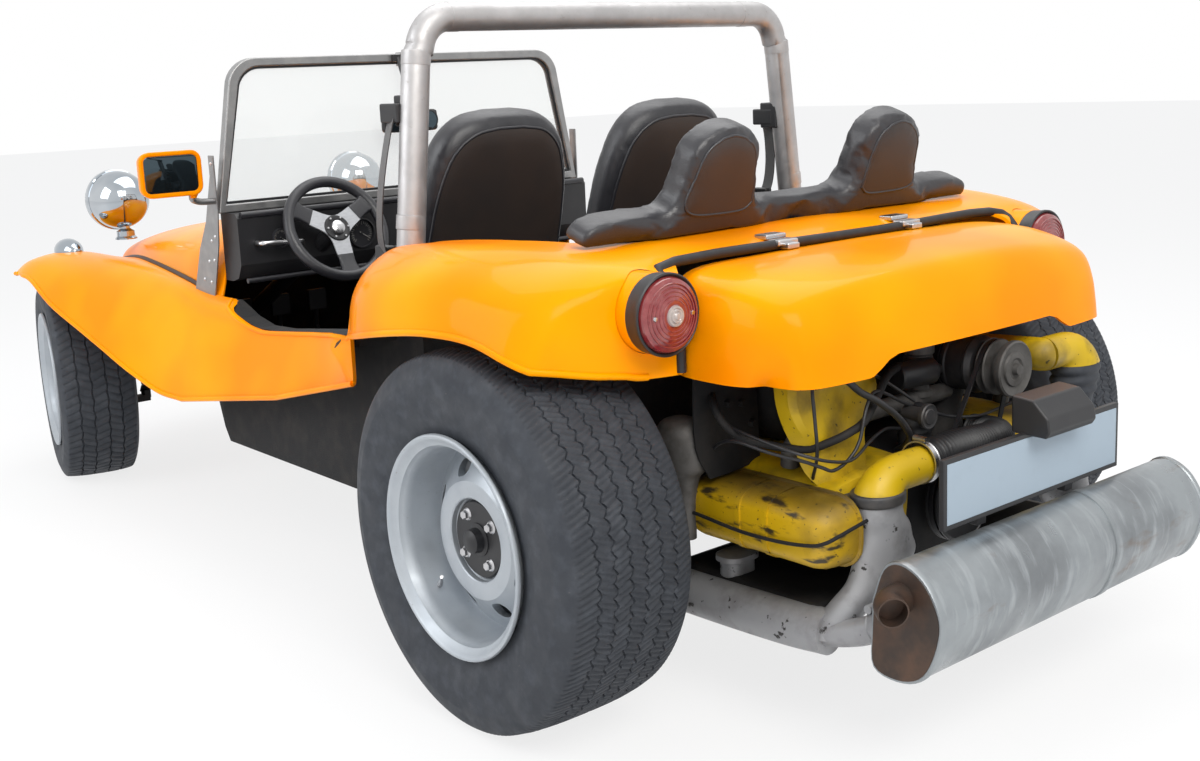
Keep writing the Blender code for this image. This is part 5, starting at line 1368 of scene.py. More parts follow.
def screen_layer(name, inset, half, fold=40.0):
    return prism(name, screen_outline(inset), 1, SCREEN_Y - half, SCREEN_Y + half, fold)


def windscreen():
    half = FRAME_RAIL / 2
    rail = screen_layer("screen_rail", 0, half, 30)
    cut(rail, screen_layer("pane", PANE_INSET, 2 * half))
    folded(rail, 30)
    soften(rail, RAIL_ROUND, 3, 50)
    plates, domes = [], []
    outline = [(SCREEN_Y + y, z_of(z)) for y, z in BRACKET_SHARES]
    outer = SCREEN_BOTTOM_X + BRACKET_OUT
    for sign in (-1, 1):
        low, high = sorted((sign * (SCREEN_BOTTOM_X + BRACKET_GAP), sign * outer))
        plates.append(soften(prism("bracket", outline, 0, low, high), BRACKET_ROUND, 2))
        for along, height in RIVETS:
            domes.append(turned("rivet", RIVET, (sign * outer, SCREEN_Y + along, height), (sign, 0, 0), 16))
    piece(merged("windscreen_frame_look", rail, *plates), "frame_grey", ("windscreen_frame",))
    piece(merged("screen_rivets", *domes), "steel")
    seal = screen_layer("screen_seal", PANE_INSET, SEAL_HALF)
    cut(seal, screen_layer("pane", PANE_INSET + SEAL_WIDE, SEAL_CUT))
    piece(folded(seal, 40), "black")
    glass = screen_layer("windscreen_glass_look", PANE_INSET + GLASS_SUNK, GLASS_HALF)
    piece(glass, "glass", ("windscreen_glass",))
    low = (-CLAMP_HALF, SCREEN_Y - half - CLAMP_PROUD, SCREEN_TOP_Z - CLAMP_LOW)
    high = (CLAMP_HALF, SCREEN_Y + half + CLAMP_PROUD, SCREEN_TOP_Z + CLAMP_HIGH)
    piece(block("screen_clamp", low, high, CLAMP_ROUND), "frame_grey")


BAR_SUNK = 0.02
BAR_LEAN = (BAR_FOOT_X - BAR_TOP_X) / (BAR_TOP_Z - BAR_FOOT_Z)


def bar_path(steps):
    path = [(BAR_FOOT_X, BAR_Y, BAR_FOOT_Z - BAR_SUNK)]
    path.append((BAR_TOP_X + BAR_LEAN * BAR_BEND, BAR_Y, BAR_TOP_Z - BAR_BEND))
    for step in range(1, steps):
        angle = math.pi / 2 * step / steps
        x = BAR_TOP_X - BAR_BEND + BAR_BEND * math.cos(angle)
        z = BAR_TOP_Z - BAR_BEND + BAR_BEND * math.sin(angle)
        path.append((x, BAR_Y, z))
    path.append((BAR_TOP_X - BAR_BEND, BAR_Y, BAR_TOP_Z))
    return path + mirrored(path)[::-1]


# Slip joints of the bar: heights on the legs, place on the top rail, columns of the sleeve
SLEEVE_Z, SLEEVE_X = (1.215, 0.880), 0.430
SLEEVE = ((0.0295, 0), (0.0306, 0.0008), (0.0308, 0.003), (0.0308, 0.026), (0.0306, 0.029), (0.0295, 0.030))


def roll_bar():
    parts = [pipe("bar", bar_path(12), BAR_RADIUS, 40)]
    for sign in (-1, 1):
        for z in SLEEVE_Z:
            x = sign * (BAR_TOP_X + BAR_LEAN * (BAR_TOP_Z - z))
            parts.append(turned("sleeve", SLEEVE, (x, BAR_Y, z), (-sign * BAR_LEAN, 0, 1), 40))
        parts.append(turned("sleeve", SLEEVE, (sign * SLEEVE_X, BAR_Y, BAR_TOP_Z), (1, 0, 0), 40))
    piece(merged("roll_bar_look", *parts), "tube", ("roll_bar",))


# Muffler and plate

MUFFLER_HALF = 0.42
# Muffler section, columns: along, height
MUFFLER_SECTION = (
    (1.825, 0.315), (1.822, 0.250), (1.826, 0.192), (1.875, 0.180), (1.922, 0.195), (1.950, 0.235),
    (1.965, 0.290), (1.957, 0.330), (1.928, 0.371), (1.885, 0.390), (1.850, 0.375),
)


def section_ring(grow, steps=4):
    """The rounded muffler section, grown outwards by this much."""
    closed = list(MUFFLER_SECTION) + [MUFFLER_SECTION[0]]
    ring = through(closed, steps)[:-1]
    middle = ring.mean(axis=0)
    out = ring - middle
    return middle + out * (1 + grow / np.linalg.norm(out, axis=1, keepdims=True))


# Muffler columns: distance along, growth of the section
MUFFLER_STATIONS = (
    (-MUFFLER_HALF, -0.010), (-MUFFLER_HALF, -0.002), (-MUFFLER_HALF + 0.003, -0.0005),
    (-MUFFLER_HALF + 0.012, -0.0005), (-MUFFLER_HALF + 0.014, -0.003), (-0.120, -0.003),
    (-0.119, -0.0005), (-0.100, -0.0005), (-0.099, -0.003), (0.100, -0.003),
    (MUFFLER_HALF - 0.014, -0.003), (MUFFLER_HALF - 0.012, -0.0005), (MUFFLER_HALF - 0.003, -0.0005),
    (MUFFLER_HALF, -0.002), (MUFFLER_HALF, -0.010),
)
END_SHRUNK, END_LOW, END_HIGH = 0.006, 0.004, 0.0015
OUTLET_PATH = (
    (MUFFLER_HALF - 0.01, 1.885, 0.33),
    (MUFFLER_HALF + 0.02, 1.885, 0.33),
    (MUFFLER_HALF + 0.040, 1.893, 0.329),
    (MUFFLER_HALF + 0.055, 1.913, 0.327),
)
BORE_PATH = (
    (MUFFLER_HALF + 0.036, 1.890, 0.329),
    (MUFFLER_HALF + 0.055, 1.913, 0.327),
    (MUFFLER_HALF + 0.075, 1.938, 0.325),
)
OUTLET_RADIUS, BORE_RADIUS = 0.026, 0.0235


def muffler():
    rings = [[(x, y, z) for y, z in section_ring(grow)] for x, grow in MUFFLER_STATIONS]
    piece(loft("muffler_look", rings, 30), "muffler", ("muffler",))
    outline = section_ring(-END_SHRUNK)
    cap = prism("muffler_end", outline, 0, MUFFLER_HALF - END_LOW, MUFFLER_HALF + END_HIGH)
    tube = pipe("outlet", through(OUTLET_PATH, 4), OUTLET_RADIUS, 28)
    cut(tube, pipe("bore", BORE_PATH, BORE_RADIUS, 28))
    folded(tube, 35)
    piece(merged("muffler_end_look", cap, tube), "burnt")


PLATE_HALF = 0.271
PLATE_MIDDLE_X = 0.0155
PLATE_Z = 0.465
PLATE_HIGH = 0.1245
PLATE_Y = 1.870


# Section of the plate lamp, columns: along, height
PLATE_LAMP_SECTION = (
    (1.838, 0.524), (1.908, 0.522), (1.916, 0.534), (1.912, 0.558), (1.882, 0.588), (1.838, 0.592),
)


PLATE_LAMP_X, PLATE_LAMP_ROUND = (-0.100, 0.050), 0.004
PLATE_EDGE, PLATE_FACE_ROUND, PLATE_ROUND = 0.009, 0.0012, 0.002
# Depths behind the face of the plate: frame, face, legs
FRAME_DEPTHS, FACE_DEEP, LEG_DEPTHS = (0.012, 0.001), 0.004, (0.030, 0.012)
LEG_X, LEG_WIDE, LEG_Z = (-0.12, 0.15), 0.025, (0.385, 0.45)


def number_plate():
    x, y = PLATE_MIDDLE_X, PLATE_Y
    low, high = PLATE_Z - PLATE_HIGH / 2, PLATE_Z + PLATE_HIGH / 2
    wide = (x - PLATE_HALF, x + PLATE_HALF)
    deep, front = (y - depth for depth in FRAME_DEPTHS)
    back = block("plate_frame", (wide[0], deep, low), (wide[1], front, high), PLATE_ROUND)
    lamp_box = soften(prism("lamp", PLATE_LAMP_SECTION, 0, *PLATE_LAMP_X), PLATE_LAMP_ROUND, 3)
    legs = []
    for side in LEG_X:
        corner = (side + LEG_WIDE, y - LEG_DEPTHS[1], LEG_Z[1])
        legs.append(block("leg", (side, y - LEG_DEPTHS[0], LEG_Z[0]), corner, PLATE_ROUND))
    piece(merged("plate_frame_look", back, lamp_box, *legs), "black", ("number_plate",))
    corner = (wide[0] + PLATE_EDGE, y - FACE_DEEP, low + PLATE_EDGE)
    face = block("plate_face_look", corner, (wide[1] - PLATE_EDGE, y, high - PLATE_EDGE), PLATE_FACE_ROUND)
    piece(face, "plate", ())


# Lamps and mirrors

HEAD_LAMP = (0.435, -1.217, 0.853)
# Headlight columns: radius, distance towards the front
HEAD_PROFILE = (
    (0, -0.092), (0.018, -0.0905), (0.036, -0.085), (0.053, -0.075), (0.067, -0.063), (0.079, -0.045),
    (0.088, -0.022), (0.092, 0.0), (0.093, 0.022), (0.0965, 0.024), (0.097, 0.030), (0.097, 0.042),
    (0.094, 0.047), (0.084, 0.049), (0.082, 0.044), (0, 0.044),
)
HEAD_LENS = (
    (0, 0.072), (0.030, 0.070), (0.055, 0.063), (0.075, 0.053), (0.083, 0.046), (0.083, 0.042),
    (0, 0.042),
)
HEAD_STALK = (
    (0, 0.0), (0.015, 0.0), (0.015, 0.070), (0.020, 0.074), (0.028, 0.078), (0.028, 0.094),
    (0.034, 0.100), (0.034, 0.104), (0, 0.104),
)


STALK_SHIFT = Vector((0, 0.02, -0.02))


def head_lights():
    for side, sign in SIDES:
        spot = Vector((sign * HEAD_LAMP[0], HEAD_LAMP[1], HEAD_LAMP[2]))
        bowl = turned("bowl", HEAD_PROFILE, spot, (0, -1, 0), 64)
        stalk = turned("stalk", HEAD_STALK, spot + STALK_SHIFT, (0, 0, -1), 32)
        piece(merged(f"headlight_{side}_look", bowl, stalk), "chrome", (f"headlight_{side}",))
        piece(turned(f"headlight_{side}_lens", HEAD_LENS, spot, (0, -1, 0), 64), "lamp_glass")


# Indicator columns: distance along, radius
INDICATOR_STATIONS = (
    (-0.070, 0.004), (-0.068, 0.016), (-0.064, 0.024), (-0.058, 0.030), (-0.044, 0.035),
    (-0.020, 0.0395), (0.0, 0.0395), (0.020, 0.036), (0.036, 0.029), (0.050, 0.019), (0.058, 0.010),
    (0.060, 0.003),
)
INDICATOR_SPOT = (0.600, -1.250, 0.704)


def indicators():
    x, y, z = INDICATOR_SPOT
    for side, sign in SIDES:
        path = [(sign * x, y + along, z) for along, size in INDICATOR_STATIONS]
        bullet = pipe(f"indicator_{side}_look", path, [size for along, size in INDICATOR_STATIONS], 40)
        piece(bullet, "chrome", (f"indicator_{side}",))


LENS_PROFILE = (
    (0, 0.020), (0.016, 0.0195), (0.020, 0.0175), (0.024, 0.0180), (0.040, 0.0150), (0.056, 0.0105),
    (0.063, 0.0070), (0.066, 0.0010), (0.066, -0.006), (0, -0.006),
)
LAMP_COLLAR = (
    (0, -0.098), (0.066, -0.098), (0.0705, -0.094), (0.0708, -0.032), (0.0690, -0.030), (0, -0.030),
)
LAMP_HOUSING = (
    (0, -0.034), (0.066, -0.034), (0.0705, -0.030), (0.0712, -0.010), (0.0725, -0.006),
    (0.0725, 0.0005), (0.0700, 0.0025), (0.0670, 0.0), (0.0660, -0.004), (0, -0.004),
)
BULLSEYE = (
    (0, 0.0265), (0.005, 0.0260), (0.0075, 0.0235), (0.0090, 0.0245), (0.0115, 0.0240),
    (0.0130, 0.0215), (0.0145, 0.0225), (0.0175, 0.0215), (0.0190, 0.0175), (0, 0.0175),
)
LENS_RINGS = (0.027, 0.034, 0.041, 0.048, 0.055)
LENS_SCREWS = ((-0.043, 0.0), (0.043, 0.0))


# Rings on the lens: thickness, rise in the middle, fall towards the edge and its reach
RING_RADIUS, RING_RISE, RING_FALL, RING_REACH = 0.0013, 0.0188, 0.0080, 0.06
LENS_SCREW = ((0, 0.0175), (0.0035, 0.0170), (0.0045, 0.0150), (0.0045, 0.011), (0, 0.011))
# Lamp parts: name, form, parts round, fold, look, solid, slot
LAMP_PARTS = (
    ("tail_lens", LENS_PROFILE, 72, 30, "lens", None, "lens_red"),
    ("tail_bullseye", BULLSEYE, 40, 30, "lens_clear", None, None),
    ("tail_housing", LAMP_HOUSING, 72, 35, "black", "tail_light", None),
    ("tail_collar", LAMP_COLLAR, 72, 35, "gelcoat", None, None),
)


def tail_lights():
    for side, sign in SIDES:
        spot = (sign * LAMP_SPOT[0], LAMP_SPOT[1], LAMP_SPOT[2])
        for name, profile, steps, fold, look, solid, slot in LAMP_PARTS:
            part = turned(f"{name}_{side}", profile, spot, (0, 1, 0), steps, fold)
            piece(part, look, (f"{solid}_{side}",) if solid else ())
        rings = []
        for radius in LENS_RINGS:
            rise = RING_RISE - RING_FALL * (radius / RING_REACH) ** 2
            around_it = np.linspace(0, 2 * math.pi, 9)[:-1]
            profile = [
                (radius + RING_RADIUS * math.cos(t), rise + RING_RADIUS * math.sin(t))
                for t in around_it
            ]
            rings.append(turned("ring", profile, spot, (0, 1, 0), 64))
        piece(merged(f"tail_lens_ridges_{side}", *rings), "lens")
        heads = []
        for x, z in LENS_SCREWS:
            heads.append(turned("screw", LENS_SCREW, (spot[0] + x, spot[1], spot[2] + z), (0, 1, 0), 14))
        piece(merged(f"tail_screws_{side}", *heads), "steel")


# Steering wheel

STEER_HUB = (0.335, -0.008, 0.817)
STEER_RADIUS = 0.133
STEER_GRIP = 0.0145
STEER_TILT = math.radians(27)
STEER_FIRST_ARM = math.radians(30)
STEER_PLATE_REACH, STEER_PLATE_HALF, STEER_PLATE_WAIST = 0.080, 0.022, 0.036
# Black spoke columns: distance out, half-width, half-thickness
STEER_SPOKE = (
    (0.074, 0.0235, 0.0045), (0.092, 0.0220, 0.0060), (0.110, 0.0235, 0.0080), (0.128, 0.0330, 0.0105),
)


# Bright plate of the wheel, columns: level, growth
STEER_PLATE_LEVELS = ((-0.0022, 0.985), (-0.0012, 1.0), (0.0012, 1.0), (0.0022, 0.985))
STEER_BOSS = (
    (0, -0.030), (0.024, -0.030), (0.036, -0.004), (0.036, 0.003), (0.034, 0.006), (0.026, 0.007),
    (0.024, 0.006), (0, 0.006),
)
STEER_CAP = ((0, 0.016), (0.012, 0.0155), (0.018, 0.012), (0.019, 0.005), (0, 0.005))
STEER_BOLT = ((0, 0.010), (0.0028, 0.010), (0.0030, 0.005), (0, 0.005))
STEER_BOLT_REACH = 0.029


def steering_wheel():
    node = "steering_wheel"
    centre = Vector(STEER_HUB)
    way = Vector((0, math.cos(STEER_TILT), math.sin(STEER_TILT)))
    up = Vector((0, -math.sin(STEER_TILT), math.cos(STEER_TILT)))
    across = Vector((1, 0, 0))
    profile = [(STEER_RADIUS + STEER_GRIP * math.cos(a), STEER_GRIP * math.sin(a)) for a in turns(20)]
    piece(turned("steering_grip", profile, centre, way, 96, 60), "vinyl", (node,), body=node)
    arms = [STEER_FIRST_ARM + turn for turn in turns(3)]
    corners = []
    for turn in arms:
        for side in (-1, 1):
            corners.append((turn, STEER_PLATE_REACH, side * STEER_PLATE_HALF))
        corners.append((turn + math.pi / 3, STEER_PLATE_WAIST, 0))
    flat = []
    for turn, reach, half in corners:
        u = reach * math.cos(turn) - half * math.sin(turn)
        flat.append((u, reach * math.sin(turn) + half * math.cos(turn)))
    outline = []
    for i in range(1, 9, 3):
        outline += [tuple(point) for point in through([flat[i], flat[i + 1], flat[(i + 2) % 9]], 8)]
    rings = []
    for level, grow in STEER_PLATE_LEVELS:
        rings.append([centre + (across * u + up * v) * grow + way * level for u, v in outline])
    piece(loft("steering_plate", rings, 30), "brushed_plate", body=node)
    spokes = []
    for turn in arms:
        out = across * math.cos(turn) + up * math.sin(turn)
        side = way.cross(out)
        rings = []
        for along, half, thick in STEER_SPOKE:
            shape = rounded(half, thick, thick * 0.9)
            rings.append([centre + out * along + side * u + way * v for u, v in shape])
        spokes.append(loft("spoke", rings, 60))
    piece(merged("steering_spokes", *spokes), "vinyl", body=node)
    piece(turned("boss", STEER_BOSS, centre, way, 48), "black", body=node)
    bits = [turned("cap", STEER_CAP, centre, way, 32)]
    for turn in turns(6):
        out = across * math.cos(turn) + up * math.sin(turn)
        bits.append(turned("bolt", STEER_BOLT, centre + out * STEER_BOLT_REACH, way, 6))
    piece(merged("steering_bolts", *bits), "steel", body=node)


# Engine bay


def rounded(half_u, half_v, corner, steps=5):
    """The outline of a rounded rectangle round the origin."""
    points = []
    for quarter in range(4):
        u = half_u - corner if quarter in (0, 3) else corner - half_u
        v = half_v - corner if quarter in (0, 1) else corner - half_v
        for step in range(steps + 1):
            turn = math.pi / 2 * (quarter + step / steps)
            points.append((u + corner * math.cos(turn), v + corner * math.sin(turn)))
    return points


def shaped_box(name, axis, middle, halves, corner, levels, fold=40.0):
    """Rounded outlines stacked along an axis. Levels columns: place along the axis, inset."""
    other = [i for i in range(3) if i != axis]
    rings = []
    for along, inset in levels:
        outline = rounded(halves[0] - inset, halves[1] - inset, max(corner - inset, EPS))
        ring = np.zeros((len(outline), 3))
        ring[:, other] = np.array(outline) + np.array(middle)
        ring[:, axis] = along
        rings.append(ring)
    return loft(name, rings, fold)


def elbow(name, pivot, depth, bend, spans, halves, tail, steps=12, sides=28):
    """A sheet-metal bend round a pivot (x, z) at this depth, its tail drawn on straight."""
    rings = []
    for step in range(steps + 1):
        share = step / steps
        turn = math.radians(bend[0] + (bend[1] - bend[0]) * share)
        ease = math.sin(math.pi / 2 * share)
        span = spans[0] + (spans[1] - spans[0]) * ease
        half = halves[0] + (halves[1] - halves[0]) * ease
        way = np.array([math.cos(turn), 0, math.sin(turn)])
        middle = np.array([pivot[0], depth, pivot[1]]) + way * (span / 2 + EPS)
        ring = [
            middle + way * math.cos(a) * span / 2 + np.array([0, math.sin(a) * half, 0])
            for a in turns(sides)
        ]
        rings.append(np.array(ring))
    along = np.cross([0, 1, 0], way) * math.copysign(1, bend[0] - bend[1])
    rings.append(rings[-1] + along * tail)
    return loft(name, rings, 60)


def oval_stack(name, rows, sides=28):
    """A tube through level ovals. Rows: middle x, y, z, half-width, half-depth."""
    rings = []
    for x, y, z, a, b in through(rows, 4):
        rings.append([(x + a * math.cos(t), y + b * math.sin(t), z) for t in turns(sides)])
    return loft(name, rings, 60)


CLAMP_RISE = 0.003


def clamp_band(name, spot, axis, radius, width, rise=CLAMP_RISE):
    """A hose clamp: a band with rolled edges and its screw on top."""
    lip = rise / 2
    profile = [(radius, 0), (radius + rise, 0), (radius + lip, lip)]
    profile += [(radius + lip, width - lip), (radius + rise, width), (radius, width)]
    band = turned("band", profile, spot, axis, 40)
    way, side, up = around(axis)
    head = Vector(spot) + side * (radius + 2 * rise) + way * width / 2 - up * width
    ends = ((0, 0), (2 * rise, 0), (2 * rise, 2 * width), (0, 2 * width))
    return merged(name, band, turned("screw", ends, head, up, 12))


def belt(name, wheels_at, low, high, thick):
    """A closed belt round pulleys in an upright plane. Pulley columns: x, z, radius."""
    rings = []
    for turn in turns(96):
        u, v = math.cos(turn), math.sin(turn)
        x, z, radius = max(wheels_at, key=lambda w: w[0] * u + w[1] * v + w[2])
        outer = (x + u * (radius + thick), z + v * (radius + thick))
        inner = (x + u * radius, z + v * radius)
        edge = [(outer, low), (outer, high), (inner, (low + 2 * high) / 3), (inner, (2 * low + high) / 3)]
        rings.append([(spot[0], y, spot[1]) for spot, y in edge])
    rings.append(rings[0])
    return loft(name, rings, 40, False)


BANK_SIZES = {"fin": 0.0022, "pitch": 0.0085, "first": 0.150, "last": 0.300}
FIN_MIDDLE, FIN_HALVES, FIN_CORNER = (1.525, 0.372), (0.160, 0.068), 0.05
HEAD_LEVELS = ((0.296, 0.012), (0.300, 0.004), (0.340, 0.002), (0.352, 0.0), (0.356, 0.002))
HEAD_MIDDLE, HEAD_HALVES, HEAD_CORNER = (1.560, 0.385), (0.175, 0.060), 0.022
COVER_MIDDLE, COVER_HALVES, COVER_CORNER = (1.568, 0.3875), (0.184, 0.0665), 0.052
# Rocker cover columns: place outwards, inset
COVER_LEVELS = (
    (0.352, 0.0), (0.3565, 0.0), (0.358, 0.0055), (0.380, 0.006), (0.405, 0.0085), (0.422, 0.014),
    (0.433, 0.022), (0.4385, 0.032), (0.4405, 0.044),
)
# Section of the raised band over the cover, columns: out, height over the middle
BAND_PATH = (
    (0.359, 0.0610), (0.381, 0.0615), (0.406, 0.0590), (0.424, 0.0535), (0.4355, 0.0450),
    (0.4415, 0.0340), (0.4435, 0.0200), (0.4435, 0.0),
)
BAND_Y, BAND_WIDE, BAND_THICK = (1.532, 1.598), 0.013, 0.006
BAIL_RADIUS = 0.0034
BAIL_PATH = (
    (0.350, 1.380, 0.396), (0.410, 1.381, 0.390), (0.440, 1.386, 0.386), (0.4475, 1.400, 0.384),
    (0.4480, 1.448, 0.3815), (0.4480, 1.555, 0.3735), (0.4480, 1.646, 0.3760), (0.4475, 1.717, 0.385),
    (0.4450, 1.748, 0.396), (0.4300, 1.760, 0.405), (0.3900, 1.762, 0.412), (0.3500, 1.758, 0.415),
)
TIN_TOP_ROWS = (
    ((0.145, 1.345, 0.470), (0.235, 1.345, 0.472), (0.325, 1.345, 0.462), (0.352, 1.345, 0.446)),
    ((0.145, 1.500, 0.478), (0.235, 1.500, 0.480), (0.325, 1.500, 0.468), (0.352, 1.500, 0.448)),
    ((0.145, 1.660, 0.470), (0.235, 1.660, 0.470), (0.325, 1.660, 0.460), (0.352, 1.660, 0.446)),
    ((0.148, 1.684, 0.455), (0.235, 1.686, 0.455), (0.325, 1.686, 0.450), (0.352, 1.684, 0.440)),
    ((0.150, 1.688, 0.395), (0.235, 1.692, 0.395), (0.325, 1.692, 0.392), (0.352, 1.688, 0.392)),
    ((0.155, 1.684, 0.338), (0.235, 1.688, 0.338), (0.325, 1.688, 0.338), (0.350, 1.684, 0.340)),
)
TIN_UPRIGHT_ROWS = (
    ((0.150, 1.600, 0.640), (0.265, 1.618, 0.652), (0.384, 1.634, 0.648), (0.396, 1.590, 0.640)),
    ((0.150, 1.618, 0.598), (0.270, 1.630, 0.612), (0.392, 1.642, 0.606), (0.396, 1.596, 0.598)),
    ((0.182, 1.632, 0.560), (0.286, 1.640, 0.572), (0.378, 1.648, 0.566), (0.388, 1.606, 0.556)),
    ((0.214, 1.642, 0.528), (0.288, 1.648, 0.534), (0.350, 1.652, 0.532), (0.372, 1.616, 0.516)),
    ((0.222, 1.650, 0.496), (0.272, 1.654, 0.500), (0.322, 1.656, 0.498), (0.360, 1.628, 0.476)),
    ((0.236, 1.662, 0.456), (0.272, 1.662, 0.458), (0.309, 1.662, 0.458), (0.340, 1.648, 0.446)),
)
TIN_WALL = 0.0035


def sheet_between(name, rows, sign, steps=3, fold=24.0):
    grid = grid_of([[(sign * x, y, z) for x, y, z in row] for row in rows], steps, steps)
    return folded(skin(name, grid, TIN_WALL), fold)


FIN_INSET = 0.001
CORE_START, CORE_INSET = 0.1355, 0.022
BAND_ROUND = 0.0015


def fins(sign):
    """The cooling fins of one bank with the cylinders behind them and the head."""
    size = BANK_SIZES
    count = int((size["last"] - size["first"]) / size["pitch"])
    stacks = []
    for i in range(count):
        x = sign * (size["first"] + i * size["pitch"])
        stacks.append(((x, FIN_INSET), (x + sign * size["fin"], FIN_INSET)))
    stacks.append(((sign * CORE_START, CORE_INSET), (sign * size["last"], CORE_INSET)))
    made = [shaped_box("fin", 0, FIN_MIDDLE, FIN_HALVES, FIN_CORNER, levels) for levels in stacks]
    levels = [(sign * x, inset) for x, inset in HEAD_LEVELS]
    return made + [shaped_box("head", 0, HEAD_MIDDLE, HEAD_HALVES, HEAD_CORNER, levels)]


def cylinder_banks():
    for side, sign in SIDES:
        piece(merged(f"cylinders_{side}", *fins(sign)), "casting", (f"cylinder_bank_{side}",))
        levels = [(sign * x, inset) for x, inset in COVER_LEVELS]
        cover = shaped_box("cover", 0, COVER_MIDDLE, COVER_HALVES, COVER_CORNER, levels, 50)
        path = through([(x, COVER_MIDDLE[1] + z) for x, z in BAND_PATH], 4)
        path = np.vstack([path, [(x, 2 * COVER_MIDDLE[1] - z) for x, z in path[::-1]]])
        outline = [tuple(p) for p in path] + [(x - BAND_THICK, z) for x, z in path[::-1]]
        bands = []
        for y in BAND_Y:
            strip = prism("band", [(sign * x, z) for x, z in outline], 1, y, y + BAND_WIDE, 50)
            bands.append(soften(strip, BAND_ROUND, 2, 60))
        piece(merged(f"rocker_cover_{side}", cover, *bands), "cover")
        path = through([(sign * x, y, z) for x, y, z in BAIL_PATH], 4)
        piece(merged(f"rocker_bail_{side}", pipe("bail", path, BAIL_RADIUS, 10)), "dirty")
        tins = [sheet_between("tin", TIN_TOP_ROWS, sign)]
        if sign > 0:
            tins.append(sheet_between("tin", TIN_UPRIGHT_ROWS, sign))
        piece(merged(f"cylinder_tin_{side}", *tins), "tin")


SHROUD_X, SHROUD_LOW, SHROUD_HIGH = 0.300, 0.4705, 0.733
SHROUD_LEVELS = (
    (1.334, 0.030), (1.337, 0.012), (1.350, 0.001), (1.4, 0.0), (1.480, 0.001), (1.493, 0.012),
    (1.496, 0.030),
)
SHROUD_RIBS = (1.392, 1.438)
FAN_SPOT = (-0.105, 1.497, 0.600)
FAN_LOOK = ((0.100, 0), (0.112, 0), (0.116, 0.004), (0.116, 0.010), (0.106, 0.016), (0.100, 0.010))


SHROUD_CORNER = 0.110
# Raised ribs, columns: distance along, rise
SHROUD_RIB = ((0, 0.0), (0.003, 0.003), (0.008, 0.003), (0.011, 0.0))
CASE_RIB = ((0, 0.0), (0.002, 0.0018), (0.006, 0.0018), (0.008, 0.0))


def ribs(places, section, middle, halves, corner, fold):
    made = []
    for y in places:
        levels = [(y + along, -rise) for along, rise in section]
        made.append(shaped_box("rib", 1, middle, halves, corner, levels, fold))
    return made


def fan_shroud():
    middle = (0, (SHROUD_LOW + SHROUD_HIGH) / 2)
    halves = (SHROUD_X, (SHROUD_HIGH - SHROUD_LOW) / 2)
    parts = [shaped_box("shroud", 1, middle, halves, SHROUD_CORNER, SHROUD_LEVELS, 50)]
    parts += ribs(SHROUD_RIBS, SHROUD_RIB, middle, halves, SHROUD_CORNER, 50)
    parts.append(turned("fan_ring", FAN_LOOK, FAN_SPOT, (0, 1, 0), 48))
    piece(merged("fan_shroud_look", *parts), "dirty", ("fan_shroud",))


CASE_LEVELS = (
    (1.292, 0.030), (1.296, 0.010), (1.310, 0.0), (1.560, 0.0), (1.585, 0.008), (1.630, 0.014),
    (1.652, 0.020), (1.658, 0.034),
)
CASE_MIDDLE, CASE_HALVES, CASE_CORNER = (0, 0.348), (0.133, 0.120), 0.040
CASE_RIBS = (1.340, 1.400, 1.460, 1.520)
CRANK_PULLEY = (
    (0, 0.0), (0.030, 0.0), (0.030, 0.050), (0.082, 0.052), (0.086, 0.055), (0.086, 0.059),
    (0.076, 0.065), (0.076, 0.071), (0.086, 0.077), (0.086, 0.081), (0.080, 0.083), (0.070, 0.080),
    (0.034, 0.078), (0.030, 0.084), (0.018, 0.088), (0, 0.088),
)
CRANK_SPOT = (0, 1.6235, 0.365)
BELT_WHEELS = ((0, 0.365, 0.078), (-0.112, 0.598, 0.045))
BELT_Y = (1.687, 1.696)
CASE_BOLTS = (
    (-0.105, 0.262), (0.105, 0.262), (-0.112, 0.352), (0.112, 0.352), (-0.085, 0.440), (0.085, 0.440),
)
MANIFOLD_PATH = (
    (0.325, 1.560, 0.470), (0.325, 1.566, 0.505), (0.300, 1.576, 0.528), (0.240, 1.588, 0.536),
    (0.120, 1.596, 0.541), (0, 1.598, 0.542),
)
# Carburettor columns: radius, height over its foot
CARBURETTOR = (
    (0, 0.0), (0.026, 0.0), (0.026, 0.010), (0.020, 0.014), (0.020, 0.030), (0.030, 0.034),
    (0.033, 0.062), (0.030, 0.066), (0.026, 0.080), (0.030, 0.084), (0.030, 0.100), (0.024, 0.104),
    (0, 0.104),
)
COIL_PROFILE = (
    (0, 0.0), (0.024, 0.0), (0.0265, 0.003), (0.0265, 0.088), (0.024, 0.092), (0.014, 0.098),
    (0.010, 0.112), (0, 0.114),
)
COIL_SPOT = (0.088, 1.612, 0.600)
CAP_SPOT = (0.070, 1.640, 0.478)
CAP_PROFILE = (
    (0, 0.0), (0.030, 0.0), (0.032, 0.010), (0.030, 0.030), (0.034, 0.036), (0.034, 0.050),
    (0.028, 0.060), (0.012, 0.064), (0.009, 0.078), (0, 0.079),
)
BREATHER_SPOT = (0.094, 1.680, 0.538)
BREATHER_PROFILE = (
    (0, -0.040), (0.014, -0.040), (0.014, 0.004), (0.0235, 0.006), (0.0240, 0.014), (0.0220, 0.0165),
    (0.0190, 0.0150), (0.0150, 0.0150), (0.0130, 0.0170), (0, 0.0170),
)


CASE_BOLT = ((0, 0.010), (0.007, 0.010), (0.008, 0.008), (0.008, 0), (0, 0))
CASE_BOLT_Y = 1.640
BELT_THICK, MANIFOLD_RADIUS = 0.008, 0.017
CARBURETTOR_SPOT = (0, 1.598, 0.548)


